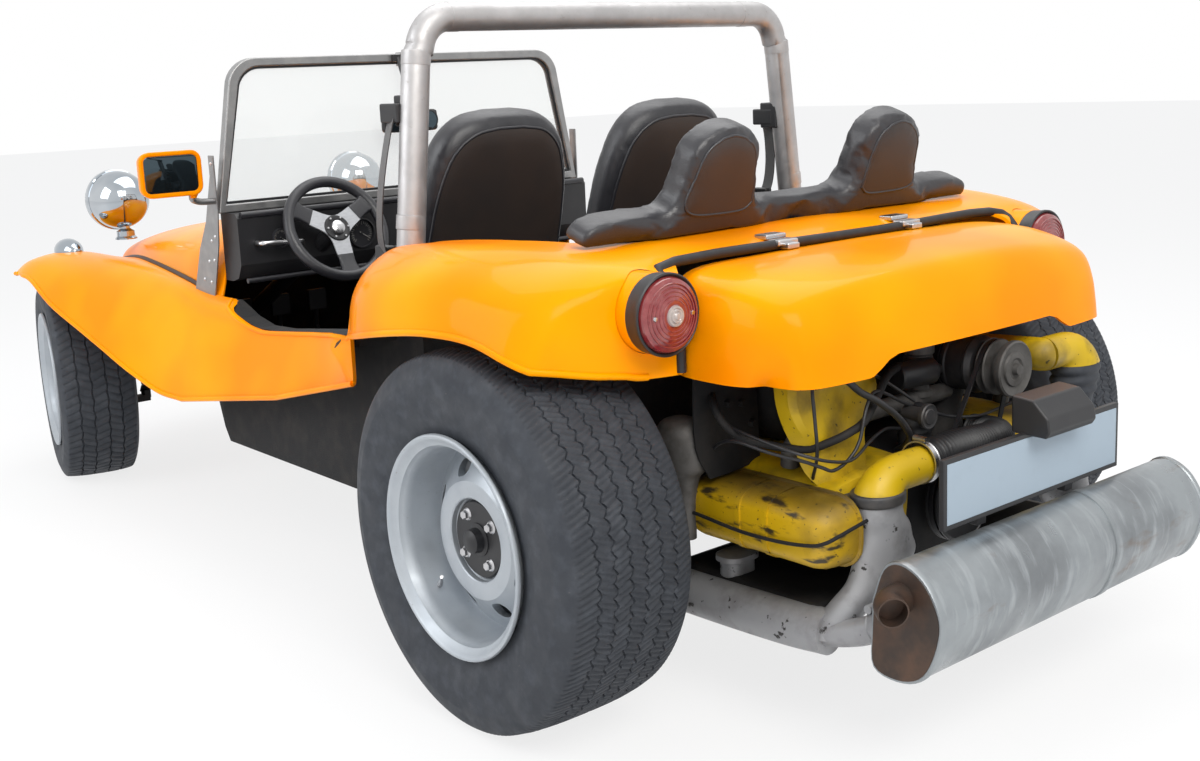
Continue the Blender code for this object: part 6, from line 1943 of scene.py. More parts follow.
def engine_case():
    case = (CASE_MIDDLE, CASE_HALVES, CASE_CORNER)
    parts = [shaped_box("case", 1, *case, CASE_LEVELS, 40)]
    parts += ribs(CASE_RIBS, CASE_RIB, *case, 40)
    for x, z in CASE_BOLTS:
        parts.append(turned("bolt", CASE_BOLT, (x, CASE_BOLT_Y, z), (0, 1, 0), 6, 20))
    piece(merged("engine_case_look", *parts), "dirty", ("engine_case",))
    piece(turned("crank_pulley", CRANK_PULLEY, CRANK_SPOT, (0, 1, 0), 64), "black")
    piece(belt("fan_belt", BELT_WHEELS, BELT_Y[0], BELT_Y[1], BELT_THICK), "black")
    path = list(MANIFOLD_PATH) + mirrored(MANIFOLD_PATH)[-2::-1]
    tubes = [pipe("manifold", through(path, 5), MANIFOLD_RADIUS, 18)]
    tubes.append(turned("carburettor", CARBURETTOR, CARBURETTOR_SPOT, (0, 0, 1), 32))
    piece(merged("intake_look", *tubes), "casting")
    coil = turned("coil", COIL_PROFILE, COIL_SPOT, (-1, 0.15, 0), 32)
    cap = turned("cap", CAP_PROFILE, CAP_SPOT, (0.1, 0.25, 1), 32)
    breather = turned("breather", BREATHER_PROFILE, BREATHER_SPOT, (0, 1, 0), 32)
    piece(merged("ignition_look", coil, cap), "black")
    piece(breather, "casting_dark")


ALTERNATOR_SPOT = (-0.112, 1.502, 0.598)
ALTERNATOR_PROFILE = (
    (0, 0.0), (0.048, 0.0), (0.054, 0.006), (0.054, 0.050), (0.0565, 0.053), (0.0565, 0.060),
    (0.054, 0.063), (0.054, 0.100), (0.0565, 0.103), (0.0565, 0.110), (0.054, 0.113), (0.054, 0.150),
    (0.0565, 0.153), (0.0565, 0.158), (0.050, 0.168), (0.030, 0.176), (0.014, 0.180), (0.014, 0.206),
    (0, 0.206),
)
DISC_PROFILE = (
    (0, 0.178), (0.026, 0.178), (0.0525, 0.180), (0.0545, 0.183), (0.0445, 0.187), (0.0445, 0.194),
    (0.0545, 0.199), (0.0525, 0.202), (0.030, 0.205), (0.028, 0.218), (0.0525, 0.223), (0.0545, 0.227),
    (0.0545, 0.236), (0.051, 0.2385), (0.046, 0.235), (0.034, 0.233), (0.032, 0.237), (0.022, 0.238),
    (0.018, 0.235), (0.012, 0.236), (0.010, 0.246), (0, 0.247),
)
PEDESTAL_ROWS = (
    (-0.075, 1.580, 0.455, 0.060, 0.055),
    (-0.085, 1.580, 0.480, 0.050, 0.045),
    (-0.100, 1.580, 0.510, 0.036, 0.036),
    (-0.108, 1.580, 0.545, 0.040, 0.040),
)


# Strap round the alternator: its place along, radius and width
STRAP_Y, STRAP_RADIUS, STRAP_WIDE = 1.585, 0.0567, 0.016


def alternator():
    body = turned("alternator_look", ALTERNATOR_PROFILE, ALTERNATOR_SPOT, (0, 1, 0), 56, 30)
    piece(body, "casting_dark", ("alternator",))
    piece(turned("alternator_disc", DISC_PROFILE, ALTERNATOR_SPOT, (0, 1, 0), 64, 30), "casting")
    foot = oval_stack("pedestal", PEDESTAL_ROWS)
    spot = (ALTERNATOR_SPOT[0], STRAP_Y, ALTERNATOR_SPOT[2])
    ring = clamp_band("strap", spot, (0, 1, 0), STRAP_RADIUS, STRAP_WIDE)
    piece(merged("alternator_mount", foot, ring), "dirty")


DUCT_Y = 1.735
HOSE_PATH = (
    (0.168, 1.735, 0.4765), (0.130, 1.739, 0.4810), (0.090, 1.742, 0.4830), (0.040, 1.741, 0.4810),
    (-0.010, 1.738, 0.4760), (-0.060, 1.728, 0.4700), (-0.098, 1.704, 0.4660), (-0.112, 1.668, 0.4620),
    (-0.114, 1.640, 0.4600),
)
HOSE_RADIUS, HOSE_RIDGE, HOSE_PITCH = 0.0335, 0.0022, 0.0085
RIGHT_FEED = (
    (-0.216, 1.735, 0.611), (-0.208, 1.731, 0.611), (-0.205, 1.716, 0.611), (-0.207, 1.690, 0.609),
    (-0.218, 1.650, 0.605), (-0.240, 1.600, 0.598), (-0.262, 1.550, 0.592), (-0.262, 1.490, 0.590),
)
BOOT_ROWS = (
    (-0.321, 1.735, 0.578, 0.0590, 0.040), (-0.322, 1.735, 0.566, 0.0625, 0.043),
    (-0.322, 1.735, 0.556, 0.0560, 0.039), (-0.320, 1.735, 0.546, 0.0610, 0.042),
    (-0.318, 1.735, 0.534, 0.0550, 0.038), (-0.314, 1.735, 0.524, 0.0590, 0.041),
    (-0.310, 1.735, 0.512, 0.0520, 0.037), (-0.305, 1.735, 0.492, 0.0520, 0.037),
)


# Elbows: pivot, depth, turns, spans, half-depths, tail
LEFT_ELBOW = ((0.243, 0.438), DUCT_Y, (0, 90), (0.098, 0.067), (0.042, 0.0325), 0.078)
RIGHT_ELBOW = ((-0.262, 0.578), DUCT_Y, (180, 90), (0.118, 0.066), (0.042, 0.033), 0.052)
HOSE_CLAMP = ((0.166, DUCT_Y, 0.4765), (1, 0, 0), 0.0365, 0.014)
FEED_RADIUS = 0.0325


def heater_ducts():
    piece(elbow("elbow", *LEFT_ELBOW), "tin", ("heater_duct_left",))
    piece(spiral("heater_hose", HOSE_PATH, HOSE_RADIUS, HOSE_RIDGE, HOSE_PITCH, 28), "black")
    piece(clamp_band("hose_clamp", *HOSE_CLAMP), "steel")
    feed = pipe("feed", through(RIGHT_FEED, 6), FEED_RADIUS, 28)
    piece(merged("heater_elbow_right", elbow("elbow", *RIGHT_ELBOW), feed), "tin", ("heater_duct_right",))
    piece(oval_stack("heater_boot", BOOT_ROWS), "rubber")


# Heat pipe columns: middle x, y, z, half-width, half-depth
RISER_ROWS = (
    (0.375, 1.690, 0.200, 0.040, 0.036), (0.362, 1.702, 0.226, 0.042, 0.036),
    (0.3415, 1.722, 0.260, 0.0465, 0.036), (0.305, 1.735, 0.292, 0.062, 0.036),
    (0.280, 1.738, 0.330, 0.073, 0.037), (0.281, 1.738, 0.358, 0.066, 0.037),
    (0.2825, 1.738, 0.385, 0.0585, 0.037), (0.293, 1.736, 0.410, 0.051, 0.038),
    (0.2925, 1.735, 0.442, 0.0485, 0.0405),
)
RIGHT_RISER_TOP = (
    (0.295, 1.735, 0.455, 0.045, 0.037),
    (0.305, 1.735, 0.500, 0.045, 0.035),
)
COLLAR_ROWS = (
    (0.2925, 1.735, 0.430, 0.0515, 0.0435),
    (0.2925, 1.735, 0.434, 0.0535, 0.0455),
    (0.2925, 1.735, 0.446, 0.0535, 0.0455),
    (0.2925, 1.735, 0.450, 0.0515, 0.0435),
)
EXCHANGER_PATH = (
    (0.395, 1.020, 0.195),
    (0.395, 1.200, 0.196),
    (0.394, 1.400, 0.198),
    (0.388, 1.600, 0.202),
    (0.382, 1.700, 0.206),
)
EXCHANGER_SIZES = (0.030, 0.041, 0.042, 0.042, 0.040)
LINK_PATH = (
    (0.385, 1.665, 0.205), (0.384, 1.705, 0.208), (0.374, 1.760, 0.222), (0.362, 1.800, 0.240),
    (0.360, 1.822, 0.250),
)
LINK_RADIUS = 0.0245
STUB_MIDDLE, STUB_HALVES = (0.350, 1.445), (0.034, 0.024)
STUB_LEVELS = ((0.195, 0.0), (0.270, 0.0), (0.274, -0.008), (0.284, -0.008), (0.290, 0.004))
PIPE_BANDS = (1.060, 1.330)
EXCHANGER_MIDDLE, EXCHANGER_HALVES = (0.266, 0.222), (0.124, 0.026)
EXCHANGER_LEVELS = (
    (1.310, 0.012), (1.318, 0.002), (1.330, 0.0), (1.655, 0.0), (1.668, 0.002), (1.676, 0.012),
)


# Bands of the pipes: place across and height, radius and width
PIPE_BAND_X, PIPE_BAND_Z, PIPE_BAND_RADIUS, PIPE_BAND_WIDE = 0.3935, 0.1985, 0.0405, 0.014
JOINT_SPOT, JOINT_AXIS, JOINT_SIZES = (0.364, 1.792, 0.236), (0, 0.85, 0.45), (0.0265, 0.018, 0.004)
STUB_CORNER, TIN_CORNER = 0.02, 0.018


def heat_pipes():
    for side, sign in SIDES:
        rows = list(RISER_ROWS)
        if sign < 0:
            rows += RIGHT_RISER_TOP
        rows = [(sign * x, y, z, a, b) for x, y, z, a, b in rows]
        parts = [oval_stack("riser", rows)]
        sizes = through([(size, 0) for size in EXCHANGER_SIZES], 6)[:, 0]
        path = through([(sign * x, y, z) for x, y, z in EXCHANGER_PATH], 6)
        parts.append(pipe("exchanger", path, list(sizes), 28))
        path = through([(sign * x, y, z) for x, y, z in LINK_PATH], 5)
        parts.append(pipe("link", path, LINK_RADIUS, 24))
        spot = (sign * STUB_MIDDLE[0], STUB_MIDDLE[1])
        parts.append(shaped_box("stub", 2, spot, STUB_HALVES, STUB_CORNER, STUB_LEVELS))
        x, y, z = JOINT_SPOT
        parts.append(clamp_band("joint", (sign * x, y, z), JOINT_AXIS, *JOINT_SIZES))
        for y in PIPE_BANDS:
            spot = (sign * PIPE_BAND_X, y, PIPE_BAND_Z)
            parts.append(clamp_band("band", spot, (0, 1, 0), PIPE_BAND_RADIUS, PIPE_BAND_WIDE))
        piece(merged(f"heat_pipe_{side}_look", *parts), "pipe_grey", (f"heat_pipe_{side}",))
        # A dark lower tin under the cylinders; it also fills the shaded gap between the tyre and the engine
        # with painted shade
        spot = (sign * EXCHANGER_MIDDLE[0], EXCHANGER_MIDDLE[1])
        name = f"lower_tin_and_shade_{side}"
        piece(shaped_box(name, 1, spot, EXCHANGER_HALVES, TIN_CORNER, EXCHANGER_LEVELS, 50), "dirty")
        if sign > 0:
            piece(oval_stack("riser_collar", COLLAR_ROWS), "casting_dark")


# Hoses and leads of the engine: name, radius, look, route
LEADS = (
    (
        "breather_hose",
        0.0075,
        "dirty",
        (
            (0.400, 1.440, 0.610), (0.437, 1.481, 0.600), (0.448, 1.502, 0.582), (0.443, 1.523, 0.557),
            (0.429, 1.544, 0.539), (0.406, 1.575, 0.529), (0.380, 1.610, 0.522), (0.359, 1.640, 0.522),
            (0.335, 1.664, 0.533), (0.303, 1.680, 0.546), (0.262, 1.682, 0.560), (0.200, 1.660, 0.590),
            (0.130, 1.630, 0.615), (0.060, 1.612, 0.620), (0.020, 1.604, 0.615),
        ),
    ),
    (
        "fuel_hose",
        0.0065,
        "black",
        (
            (0.310, 1.640, 0.655), (0.300, 1.668, 0.642), (0.271, 1.680, 0.614), (0.240, 1.690, 0.595),
            (0.205, 1.698, 0.568), (0.182, 1.702, 0.545), (0.158, 1.700, 0.515), (0.140, 1.675, 0.490),
            (0.120, 1.640, 0.470),
        ),
    ),
    (
        "spark_lead_a",
        0.0032,
        "black",
        (
            (0.330, 1.620, 0.450), (0.352, 1.640, 0.470), (0.372, 1.668, 0.520), (0.384, 1.674, 0.590),
            (0.382, 1.668, 0.640), (0.340, 1.640, 0.665), (0.240, 1.625, 0.655), (0.150, 1.628, 0.610),
            (0.086, 1.655, 0.560),
        ),
    ),
    (
        "spark_lead_b",
        0.0032,
        "black",
        (
            (0.350, 1.420, 0.445), (0.420, 1.460, 0.500), (0.452, 1.540, 0.538), (0.440, 1.620, 0.528),
            (0.413, 1.670, 0.517), (0.385, 1.690, 0.503), (0.362, 1.696, 0.494), (0.325, 1.698, 0.506),
            (0.295, 1.698, 0.534), (0.265, 1.690, 0.590), (0.200, 1.660, 0.600), (0.120, 1.650, 0.565),
            (0.078, 1.650, 0.545),
        ),
    ),
    (
        "earth_lead",
        0.0030,
        "black",
        (
            (0.400, 1.450, 0.560), (0.440, 1.540, 0.556), (0.440, 1.640, 0.542), (0.416, 1.686, 0.528),
            (0.374, 1.698, 0.513), (0.328, 1.700, 0.504), (0.297, 1.698, 0.510), (0.255, 1.685, 0.520),
            (0.180, 1.660, 0.525), (0.110, 1.640, 0.510),
        ),
    ),
    (
        "spark_lead_c",
        0.0032,
        "black",
        (
            (-0.330, 1.620, 0.450), (-0.340, 1.660, 0.480), (-0.280, 1.680, 0.520),
            (-0.190, 1.660, 0.500), (-0.090, 1.668, 0.500), (0.010, 1.668, 0.520),
            (0.064, 1.652, 0.545),
        ),
    ),
)
SIDE_PLATE_ROWS = (
    ((0.318, 1.470, 0.720), (0.395, 1.470, 0.716), (0.470, 1.470, 0.700)),
    ((0.316, 1.472, 0.620), (0.395, 1.472, 0.618), (0.472, 1.468, 0.615)),
    ((0.314, 1.474, 0.520), (0.395, 1.474, 0.518), (0.472, 1.470, 0.515)),
    ((0.312, 1.474, 0.462), (0.380, 1.474, 0.455), (0.440, 1.472, 0.452)),
)
PLATE_BOLTS = ((0.335, 0.537), (0.360, 0.580), (0.395, 0.585), (0.430, 0.640), (0.345, 0.650))
LUMP_ROWS = (
    (0.448, 1.408, 0.330, 0.020, 0.024), (0.449, 1.408, 0.400, 0.022, 0.026),
    (0.450, 1.408, 0.446, 0.028, 0.036), (0.450, 1.408, 0.470, 0.040, 0.054),
    (0.450, 1.408, 0.520, 0.042, 0.058), (0.448, 1.408, 0.548, 0.034, 0.044),
    (0.446, 1.408, 0.558, 0.018, 0.024),
)


PLATE_BOLT = ((0, 0.012), (0.006, 0.012), (0.0075, 0.009), (0.0075, 0), (0, 0))
PLATE_BOLT_Y = 1.472


def engine_leads():
    for name, radius, look, route in LEADS:
        piece(pipe(name, through(route, 5), radius, 12), look)
    bits = [sheet_between("side_plate", SIDE_PLATE_ROWS, 1)]
    for x, z in PLATE_BOLTS:
        bits.append(turned("bolt", PLATE_BOLT, (x, PLATE_BOLT_Y, z), (0, 1, 0), 6, 20))
    piece(merged("engine_side_plate", *bits), "dirty")
    piece(oval_stack("fuel_pump_look", LUMP_ROWS), "casting")


# Mirrors, dash, belts and small trim

MIRROR_MIDDLE, MIRROR_HALVES, MIRROR_CORNER = (0.721, 0.9845), (0.080, 0.0565), 0.026
# Mirror housing columns: place rearwards, inset
MIRROR_LEVELS = (
    (-0.172, 0.034), (-0.168, 0.020), (-0.158, 0.010), (-0.142, 0.004), (-0.126, 0.001), (-0.117, 0.0),
    (-0.1142, 0.002), (-0.1138, 0.005), (-0.1145, 0.0090), (-0.1190, 0.0115),
)
MIRROR_GLASS_LEVELS = ((-0.1205, 0.0112), (-0.1185, 0.0112), (-0.1180, 0.0125))
MIRROR_CHIN = (
    (0.650, -0.140, 0.965, 0.016, 0.020), (0.654, -0.138, 0.945, 0.014, 0.017),
    (0.660, -0.137, 0.928, 0.010, 0.012), (0.663, -0.137, 0.920, 0.009, 0.010),
)
MIRROR_ARM = (
    (0.664, -0.138, 0.926), (0.662, -0.140, 0.916), (0.645, -0.148, 0.909), (0.622, -0.158, 0.906),
    (0.5965, -0.162, 0.905),
)
INNER_MIRROR_MIDDLE, INNER_MIRROR_HALVES = (0.030, 1.078), (0.083, 0.0245)
INNER_GLASS_LEVELS = ((-0.0945, 0.0), (-0.0925, 0.0), (-0.0920, 0.002))
INNER_RIM_LEVELS = (
    (-0.100, -0.004), (-0.0935, -0.0045), (-0.0915, -0.003), (-0.0912, -0.0005), (-0.0925, 0.0),
)


MIRROR_ARM_RADIUS = 0.0085


def mirrors():
    spot = (MIRROR_MIDDLE, MIRROR_HALVES, MIRROR_CORNER)
    shell = shaped_box("housing", 1, *spot, MIRROR_LEVELS, 50)
    piece(merged("side_mirror_look", shell, oval_stack("chin", MIRROR_CHIN)), "gelcoat", ("side_mirror",))
    piece(shaped_box("side_mirror_glass", 1, *spot, MIRROR_GLASS_LEVELS, 50), "silvered")
    piece(pipe("side_mirror_arm", through(MIRROR_ARM, 6), MIRROR_ARM_RADIUS, 16), "frame_grey")
    spot = (INNER_MIRROR_MIDDLE, INNER_MIRROR_HALVES, INNER_MIRROR_HALVES[1])
    piece(shaped_box("inner_mirror_rim", 1, *spot, INNER_RIM_LEVELS, 50), "black")
    piece(shaped_box("inner_mirror_glass", 1, *spot, INNER_GLASS_LEVELS, 50), "silvered")


DASH_Y = -0.0905
GAUGES = ((0.217, 0.788, 0.041), (0.455, 0.800, 0.026))
# Gauge columns: share of its radius, distance out of the dash
GAUGE_RIM = (
    (0, -0.004), (1.0, -0.004), (1.0, 0.006), (0.97, 0.009), (0.91, 0.0095), (0.88, 0.006),
    (0.87, 0.002), (0, 0.002),
)
GAUGE_TICKS = 24
GRAB_PATH = (
    (0.406, -0.088, 0.786), (0.408, -0.064, 0.788), (0.430, -0.056, 0.790), (0.500, -0.056, 0.793),
    (0.522, -0.064, 0.794), (0.525, -0.088, 0.794),
)
DASH_ROLL_Z, DASH_ROLL_RADIUS, DASH_ROLL_X = 0.868, 0.0085, 0.562
SHELF = ((-0.560, -0.085, 0.700), (0.560, -0.085, 0.700))
SWITCHES = (0.110, 0.140, 0.265)
LEVER_PATH = (
    (-0.080, -0.086, 0.800), (-0.076, -0.070, 0.802), (0.060, -0.066, 0.803), (0.064, -0.086, 0.803),
)


# Marks of a gauge as shares of its radius: inner ends of a small and a large mark, outer end, thickness
TICK_SMALL, TICK_LARGE, TICK_END, TICK_THICK = 0.62, 0.54, 0.78, 0.014
TICK_OUT, NEEDLE_OUT = 0.0028, 0.004
# Needle as shares of the radius, columns: across, up, thickness
NEEDLE = ((0.12, 0.08, 0.03), (-0.55, -0.35, 0.012))
# Boss of the needle, columns: share of the radius, distance out
NEEDLE_BOSS = ((0, 0.006), (0.10, 0.005), (0.11, 0.002), (0, 0.002))
KNOB = ((0, 0.018), (0.006, 0.018), (0.008, 0.014), (0.006, 0.006), (0.009, 0.004), (0.009, 0), (0, 0))
SWITCH_Z, HANDLE_RADIUS = 0.735, 0.0065


def gauge_tick(x, z, radius, tick):
    turn = math.radians(-45 + 270 * tick / (GAUGE_TICKS - 1))
    ends = []
    for share in (TICK_SMALL if tick % 3 else TICK_LARGE, TICK_END):
        reach = radius * share
        ends.append((x + reach * math.cos(turn), DASH_Y + TICK_OUT, z + reach * math.sin(turn)))
    return pipe("tick", ends, radius * TICK_THICK, 6)


def dash_details():
    rims, faces, marks = [], [], []
    for x, z, radius in GAUGES:
        spot = (x, DASH_Y, z)
        rims.append(turned("rim", [(share * radius, out) for share, out in GAUGE_RIM], spot, (0, 1, 0), 48))
        marks += [gauge_tick(x, z, radius, tick) for tick in range(GAUGE_TICKS)]
        ends = [(x + radius * u, DASH_Y + NEEDLE_OUT, z + radius * v) for u, v, thick in NEEDLE]
        marks.append(pipe("needle", ends, [radius * thick for u, v, thick in NEEDLE], 8))
        boss = [(radius * share, out) for share, out in NEEDLE_BOSS]
        faces.append(turned("boss", boss, spot, (0, 1, 0), 20))
    for x in SWITCHES:
        faces.append(turned("knob", KNOB, (x, DASH_Y, SWITCH_Z), (0, 1, 0), 20))
    roll = [(-DASH_ROLL_X, DASH_Y, DASH_ROLL_Z), (DASH_ROLL_X, DASH_Y, DASH_ROLL_Z)]
    faces.append(pipe("roll", roll, DASH_ROLL_RADIUS, 16))
    faces.append(pipe("roll", SHELF, DASH_ROLL_RADIUS * 0.8, 14))
    piece(merged("dash_black_trim", *rims, *faces), "vinyl")
    piece(merged("gauge_marks", *marks), "marks")
    bars = [pipe("grab", through(route, 5), HANDLE_RADIUS, 14) for route in (GRAB_PATH, LEVER_PATH)]
    piece(merged("dash_bright_trim", *bars), "steel")


STRAP_WIDTH, STRAP_THICK = 0.046, 0.0022
STRAP_WAY = (0.30, 0.954, 0)
LEFT_STRAP = (
    (0.580, 0.700, 1.120), (0.592, 0.697, 1.075), (0.602, 0.690, 1.020), (0.607, 0.678, 0.960),
    (0.605, 0.662, 0.900), (0.594, 0.644, 0.850), (0.572, 0.622, 0.808),
)
RIGHT_STRAP = (
    (-0.535, 0.700, 1.055), (-0.549, 0.700, 1.010), (-0.553, 0.700, 0.943), (-0.548, 0.695, 0.885),
    (-0.534, 0.685, 0.842),
)
BUCKLE_SIZE = (0.012, 0.026, 0.030)
GUIDE_SIZE = (0.010, 0.034, 0.020)


def strap(name, path, width, thick, way):
    """A flat band along a path, as wide as given along one direction."""
    path = through(path, 8)
    way = Vector(way).normalized()
    across = [(share, 1) for share in np.linspace(-1, 1, 9)]
    across += [(share, -1) for share in np.linspace(1, -1, 9)]
    rings = []
    for i, point in enumerate(path):
        along = Vector(path[min(i + 1, len(path) - 1)] - path[max(i - 1, 0)]).normalized()
        wide = (way - along * way.dot(along)).normalized()
        flat = wide.cross(along)
        rings.append([Vector(point) + wide * u * width / 2 + flat * v * thick / 2 for u, v in across])
    long = float(np.linalg.norm(np.diff(path, axis=0), axis=1).sum())
    return loft(name, rings, 40), long


FITTING_ROUND = 0.004
# Bracket of a belt: distance inside the bar's foot, half-width, front, proud of the bar, below, above
BRACKET_INSIDE, BRACKET_HALF, BRACKET_FRONT = 0.040, 0.022, 0.692
BRACKET_PROUD, BRACKET_LOW, BRACKET_HIGH = 0.006, 0.028, 0.036


def belts():
    for side, route in (("left", LEFT_STRAP), ("right", RIGHT_STRAP)):
        band, long = strap(f"belt_{side}", route, STRAP_WIDTH, STRAP_THICK, STRAP_WAY)
        low, high = Vector(route[-1]), Vector(route[0])
        ends = []
        for spot, size in ((low, BUCKLE_SIZE), (high, GUIDE_SIZE)):
            half = Vector(size)
            ends.append(block("fitting", spot - half, spot + half, FITTING_ROUND))
        middle = math.copysign(BAR_FOOT_X - BRACKET_INSIDE, high.x)
        first = (middle - BRACKET_HALF, BRACKET_FRONT, high.z - BRACKET_LOW)
        last = (middle + BRACKET_HALF, BAR_Y + BRACKET_PROUD, high.z + BRACKET_HIGH)
        ends.append(block("bracket", first, last, FITTING_ROUND))
        fittings = merged(f"belt_{side}_fittings", *ends)
        piece(fittings, "black")
        piece(band, "webbing")


SEAL_RADIUS = 0.0095
SEAL_X, SEAL_TURN_Y = 0.5055, 1.440
SEAL_HEIGHTS = (0.815, 0.800, 0.780, 0.750, 0.715, 0.685, 0.662)


SEAL_LIFT = 0.001


def lid_seal(body):
    """The rubber strip between the lid and the body: along the front edge and down both sides."""
    top = [(x, y) for x, y in both_sides(LID_SHARES)[1:-1] if y < SEAL_TURN_Y]
    path = [dropped(body, x, y, SEAL_LIFT) for x, y in through(top, 5)]
    ends = []
    for sign in (1, -1):
        down = []
        for z in SEAL_HEIGHTS:
            hit = body.ray_cast(Vector((sign * SEAL_X, 3, z)), Vector((0, -1, 0)))[0]
            down.append((hit.x, hit.y + SEAL_LIFT, hit.z))
        ends.append(down)
    whole = through(ends[0][::-1] + path[::3] + [path[-1]] + ends[1], 4)
    piece(pipe("lid_seal", whole, SEAL_RADIUS, 10, 60), "rubber_seal")


# Carried-over solids get a material of their own

NODE_LOOKS = {
    "floor_tub": "carpet",
    "dashboard": "black",
    "steering_column": "black",
    "tunnel_controls": "black",
    "pedals": "black",
    "interior_mirror": "black",
    "knuckle_left": "dirty",
    "knuckle_right": "dirty",
    "front_beam": "dirty",
    "rear_axle": "dirty",
}


def dress_nodes():
    for name, look in NODE_LOOKS.items():
        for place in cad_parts[name].material_slots:
            place.material = LOOKS[look]


# Camera and studio


def camera():
    made = bpy.data.cameras.new("photo_camera")
    obj = added("photo_camera", made)
    yaw, pitch, roll = CAMERA_YAW, CAMERA_PITCH, CAMERA_ROLL
    ahead = Vector((-math.sin(yaw) * math.cos(pitch), -math.cos(yaw) * math.cos(pitch), math.sin(pitch)))
    right = ahead.cross(Vector((0, 0, 1))).normalized()
    up = right.cross(ahead)
    across = right * math.cos(roll) + up * math.sin(roll)
    over = up * math.cos(roll) - right * math.sin(roll)
    turn = Matrix((across, over, -ahead)).transposed().to_4x4()
    spot = Vector(CAMERA_SPOT) - Vector((0, MIDDLE_Y, 0))
    obj.matrix_world = Matrix.Translation(spot) @ turn
    made.sensor_width = SENSOR
    made.lens = CAMERA_FOCUS * SENSOR / PHOTO_WIDE
    made.shift_x = (PHOTO_WIDE / 2 - CAMERA_MIDDLE[0]) / PHOTO_WIDE
    made.shift_y = (CAMERA_MIDDLE[1] - PHOTO_HIGH / 2) / PHOTO_WIDE
    made.clip_start, made.clip_end = CLIP
    bpy.context.scene.camera = obj


def lamp(name, spot, aim, size, power, colour):
    made = bpy.data.lights.new(name, "AREA")
    made.shape = "RECTANGLE"
    made.size, made.size_y = size
    made.energy = power
    made.color = colour
    obj = added(name, made)
    obj.location = spot
    obj.rotation_euler = (Vector(aim) - Vector(spot)).to_track_quat("-Z", "Y").to_euler()


FLOOR_GLOW = 0.80


def glow(ground):
    """Lifts the floor to white where the camera or a reflection sees it, keeping some of its shadow."""
    nodes, links = ground.nodes, ground.links
    share = nodes.new("ShaderNodeMath")
    share.operation = "MULTIPLY"
    share.inputs[1].default_value = FLOOR_GLOW
    links.new(any_ray(nodes, links, "Is Camera Ray", "Is Glossy Ray"), share.inputs[0])
    shine = nodes.new("ShaderNodeEmission")
    both = nodes.new("ShaderNodeMixShader")
    links.new(share.outputs["Value"], both.inputs["Fac"])
    links.new(ground.bsdf.outputs["BSDF"], both.inputs[1])
    links.new(shine.outputs["Emission"], both.inputs[2])
    links.new(both.outputs["Shader"], nodes["Material Output"].inputs["Surface"])


WORLD_STRENGTH = 0.62
# World gradient from the ground to the sky, columns: place, colour
WORLD_STOPS = ((0.42, (0.34, 0.32, 0.30, 1)), (0.56, (0.92, 0.95, 1.0, 1)))
# Lamps: name, place, aim, size, power, colour
LAMPS = (
    ("key", (1.5, 4.5, 4.2), (0, 0.4, 0.5), (3.5, 2.5), 190, (1, 0.98, 0.94)),
    ("fill", (4.5, -1.0, 3.0), (0, -0.2, 0.5), (3, 3), 90, (0.94, 0.97, 1)),
    ("top", (-1.0, -0.5, 4.6), (0, 0, 0.5), (4, 4), 120, (1, 1, 1)),
)
FLOOR_HALF, FLOOR_LOW, FLOOR_HIGH, FLOOR_GREY = 30, -0.02, -0.001, 0.90


def gradient(nodes, links):
    """The colour of the world from below to above."""
    ramp = nodes.new("ShaderNodeValToRGB")
    for stop, (place, colour) in zip(ramp.color_ramp.elements, WORLD_STOPS):
        stop.color = colour
        stop.position = place
    split = nodes.new("ShaderNodeSeparateXYZ")
    coords = nodes.new("ShaderNodeTexCoord")
    lift = nodes.new("ShaderNodeMapRange")
    lift.inputs["From Min"].default_value = -1
    links.new(coords.outputs["Generated"], split.inputs[0])
    links.new(split.outputs["Z"], lift.inputs["Value"])
    links.new(lift.outputs["Result"], ramp.inputs["Fac"])
    return ramp.outputs["Color"]


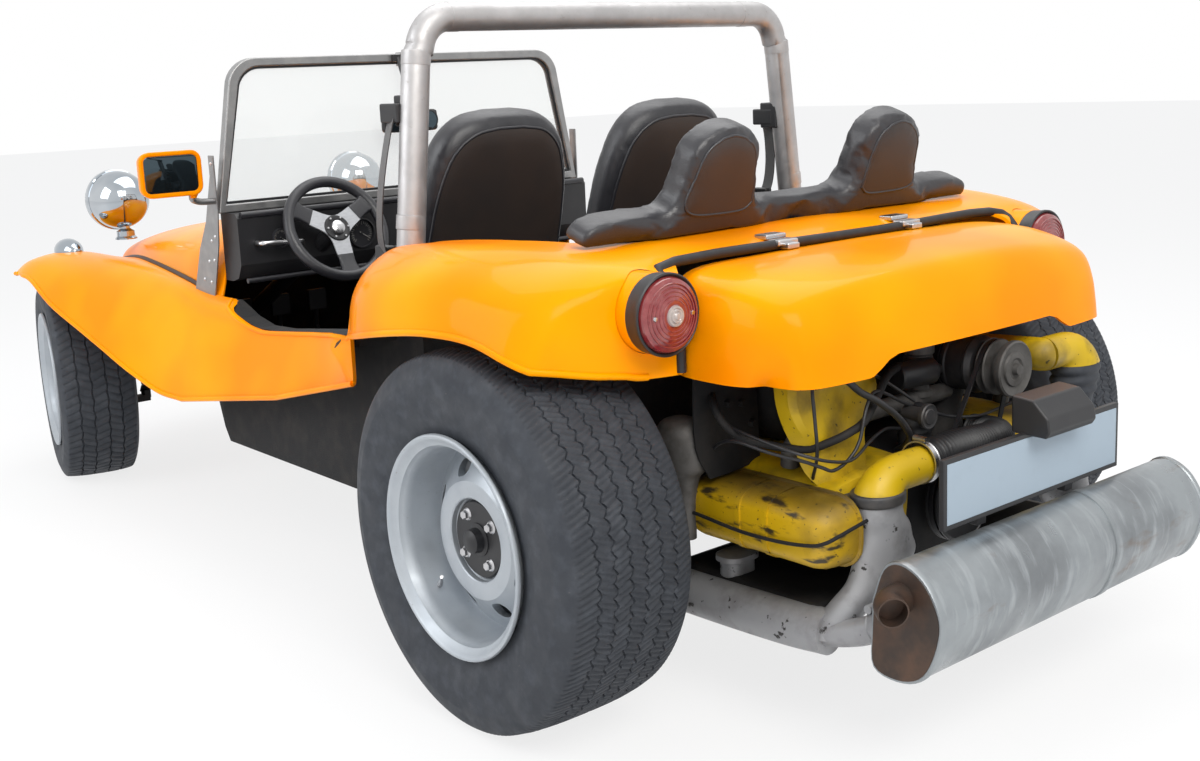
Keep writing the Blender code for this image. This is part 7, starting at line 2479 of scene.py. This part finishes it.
def any_ray(nodes, links, *rays):
    """One where the ray is of any of these kinds."""
    paths = nodes.new("ShaderNodeLightPath")
    seen = paths.outputs[rays[0]]
    for ray in rays[1:]:
        either = nodes.new("ShaderNodeMath")
        either.operation = "MAXIMUM"
        links.new(seen, either.inputs[0])
        links.new(paths.outputs[ray], either.inputs[1])
        seen = either.outputs["Value"]
    return seen


def studio():
    world = bpy.data.worlds.new("studio")
    scene = bpy.context.scene
    scene.world = world
    world.use_nodes = True
    nodes, links = world.node_tree.nodes, world.node_tree.links
    back = nodes["Background"]
    back.inputs["Strength"].default_value = WORLD_STRENGTH
    links.new(gradient(nodes, links), back.inputs["Color"])
    # White wherever the camera, a reflection or glass looks past the object
    seen = any_ray(nodes, links, "Is Camera Ray", "Is Glossy Ray", "Is Transmission Ray")
    white = nodes.new("ShaderNodeBackground")
    white.inputs["Color"].default_value = (1, 1, 1, 1)
    both = nodes.new("ShaderNodeMixShader")
    links.new(seen, both.inputs["Fac"])
    links.new(back.outputs["Background"], both.inputs[1])
    links.new(white.outputs["Background"], both.inputs[2])
    links.new(both.outputs["Shader"], nodes["World Output"].inputs["Surface"])
    for values in LAMPS:
        lamp(*values)
    half = FLOOR_HALF
    outline = [(-half, -half), (half, -half), (half, half), (-half, half)]
    floor = prism("studio_floor", outline, 2, FLOOR_LOW, FLOOR_HIGH)
    ground = Look("studio_floor", (FLOOR_GREY, FLOOR_GREY, FLOOR_GREY), 0.9, Specular_IOR_Level=0.1)
    glow(ground)
    floor.data.materials.append(ground.made)
    scene.view_settings.view_transform = "Standard"
    scene.view_settings.look = "None"


camera()
studio()
LOOKS = make_looks()
BODY_TREE = body_shell()
bonnet()
engine_lid(BODY_TREE)
wheels()
front_seats()
rear_bench()
windscreen()
roll_bar()
muffler()
number_plate()
head_lights()
indicators()
tail_lights()
steering_wheel()
cylinder_banks()
fan_shroud()
engine_case()
alternator()
heater_ducts()
heat_pipes()
engine_leads()
mirrors()
dash_details()
belts()
lid_seal(BODY_TREE)
dress_nodes()
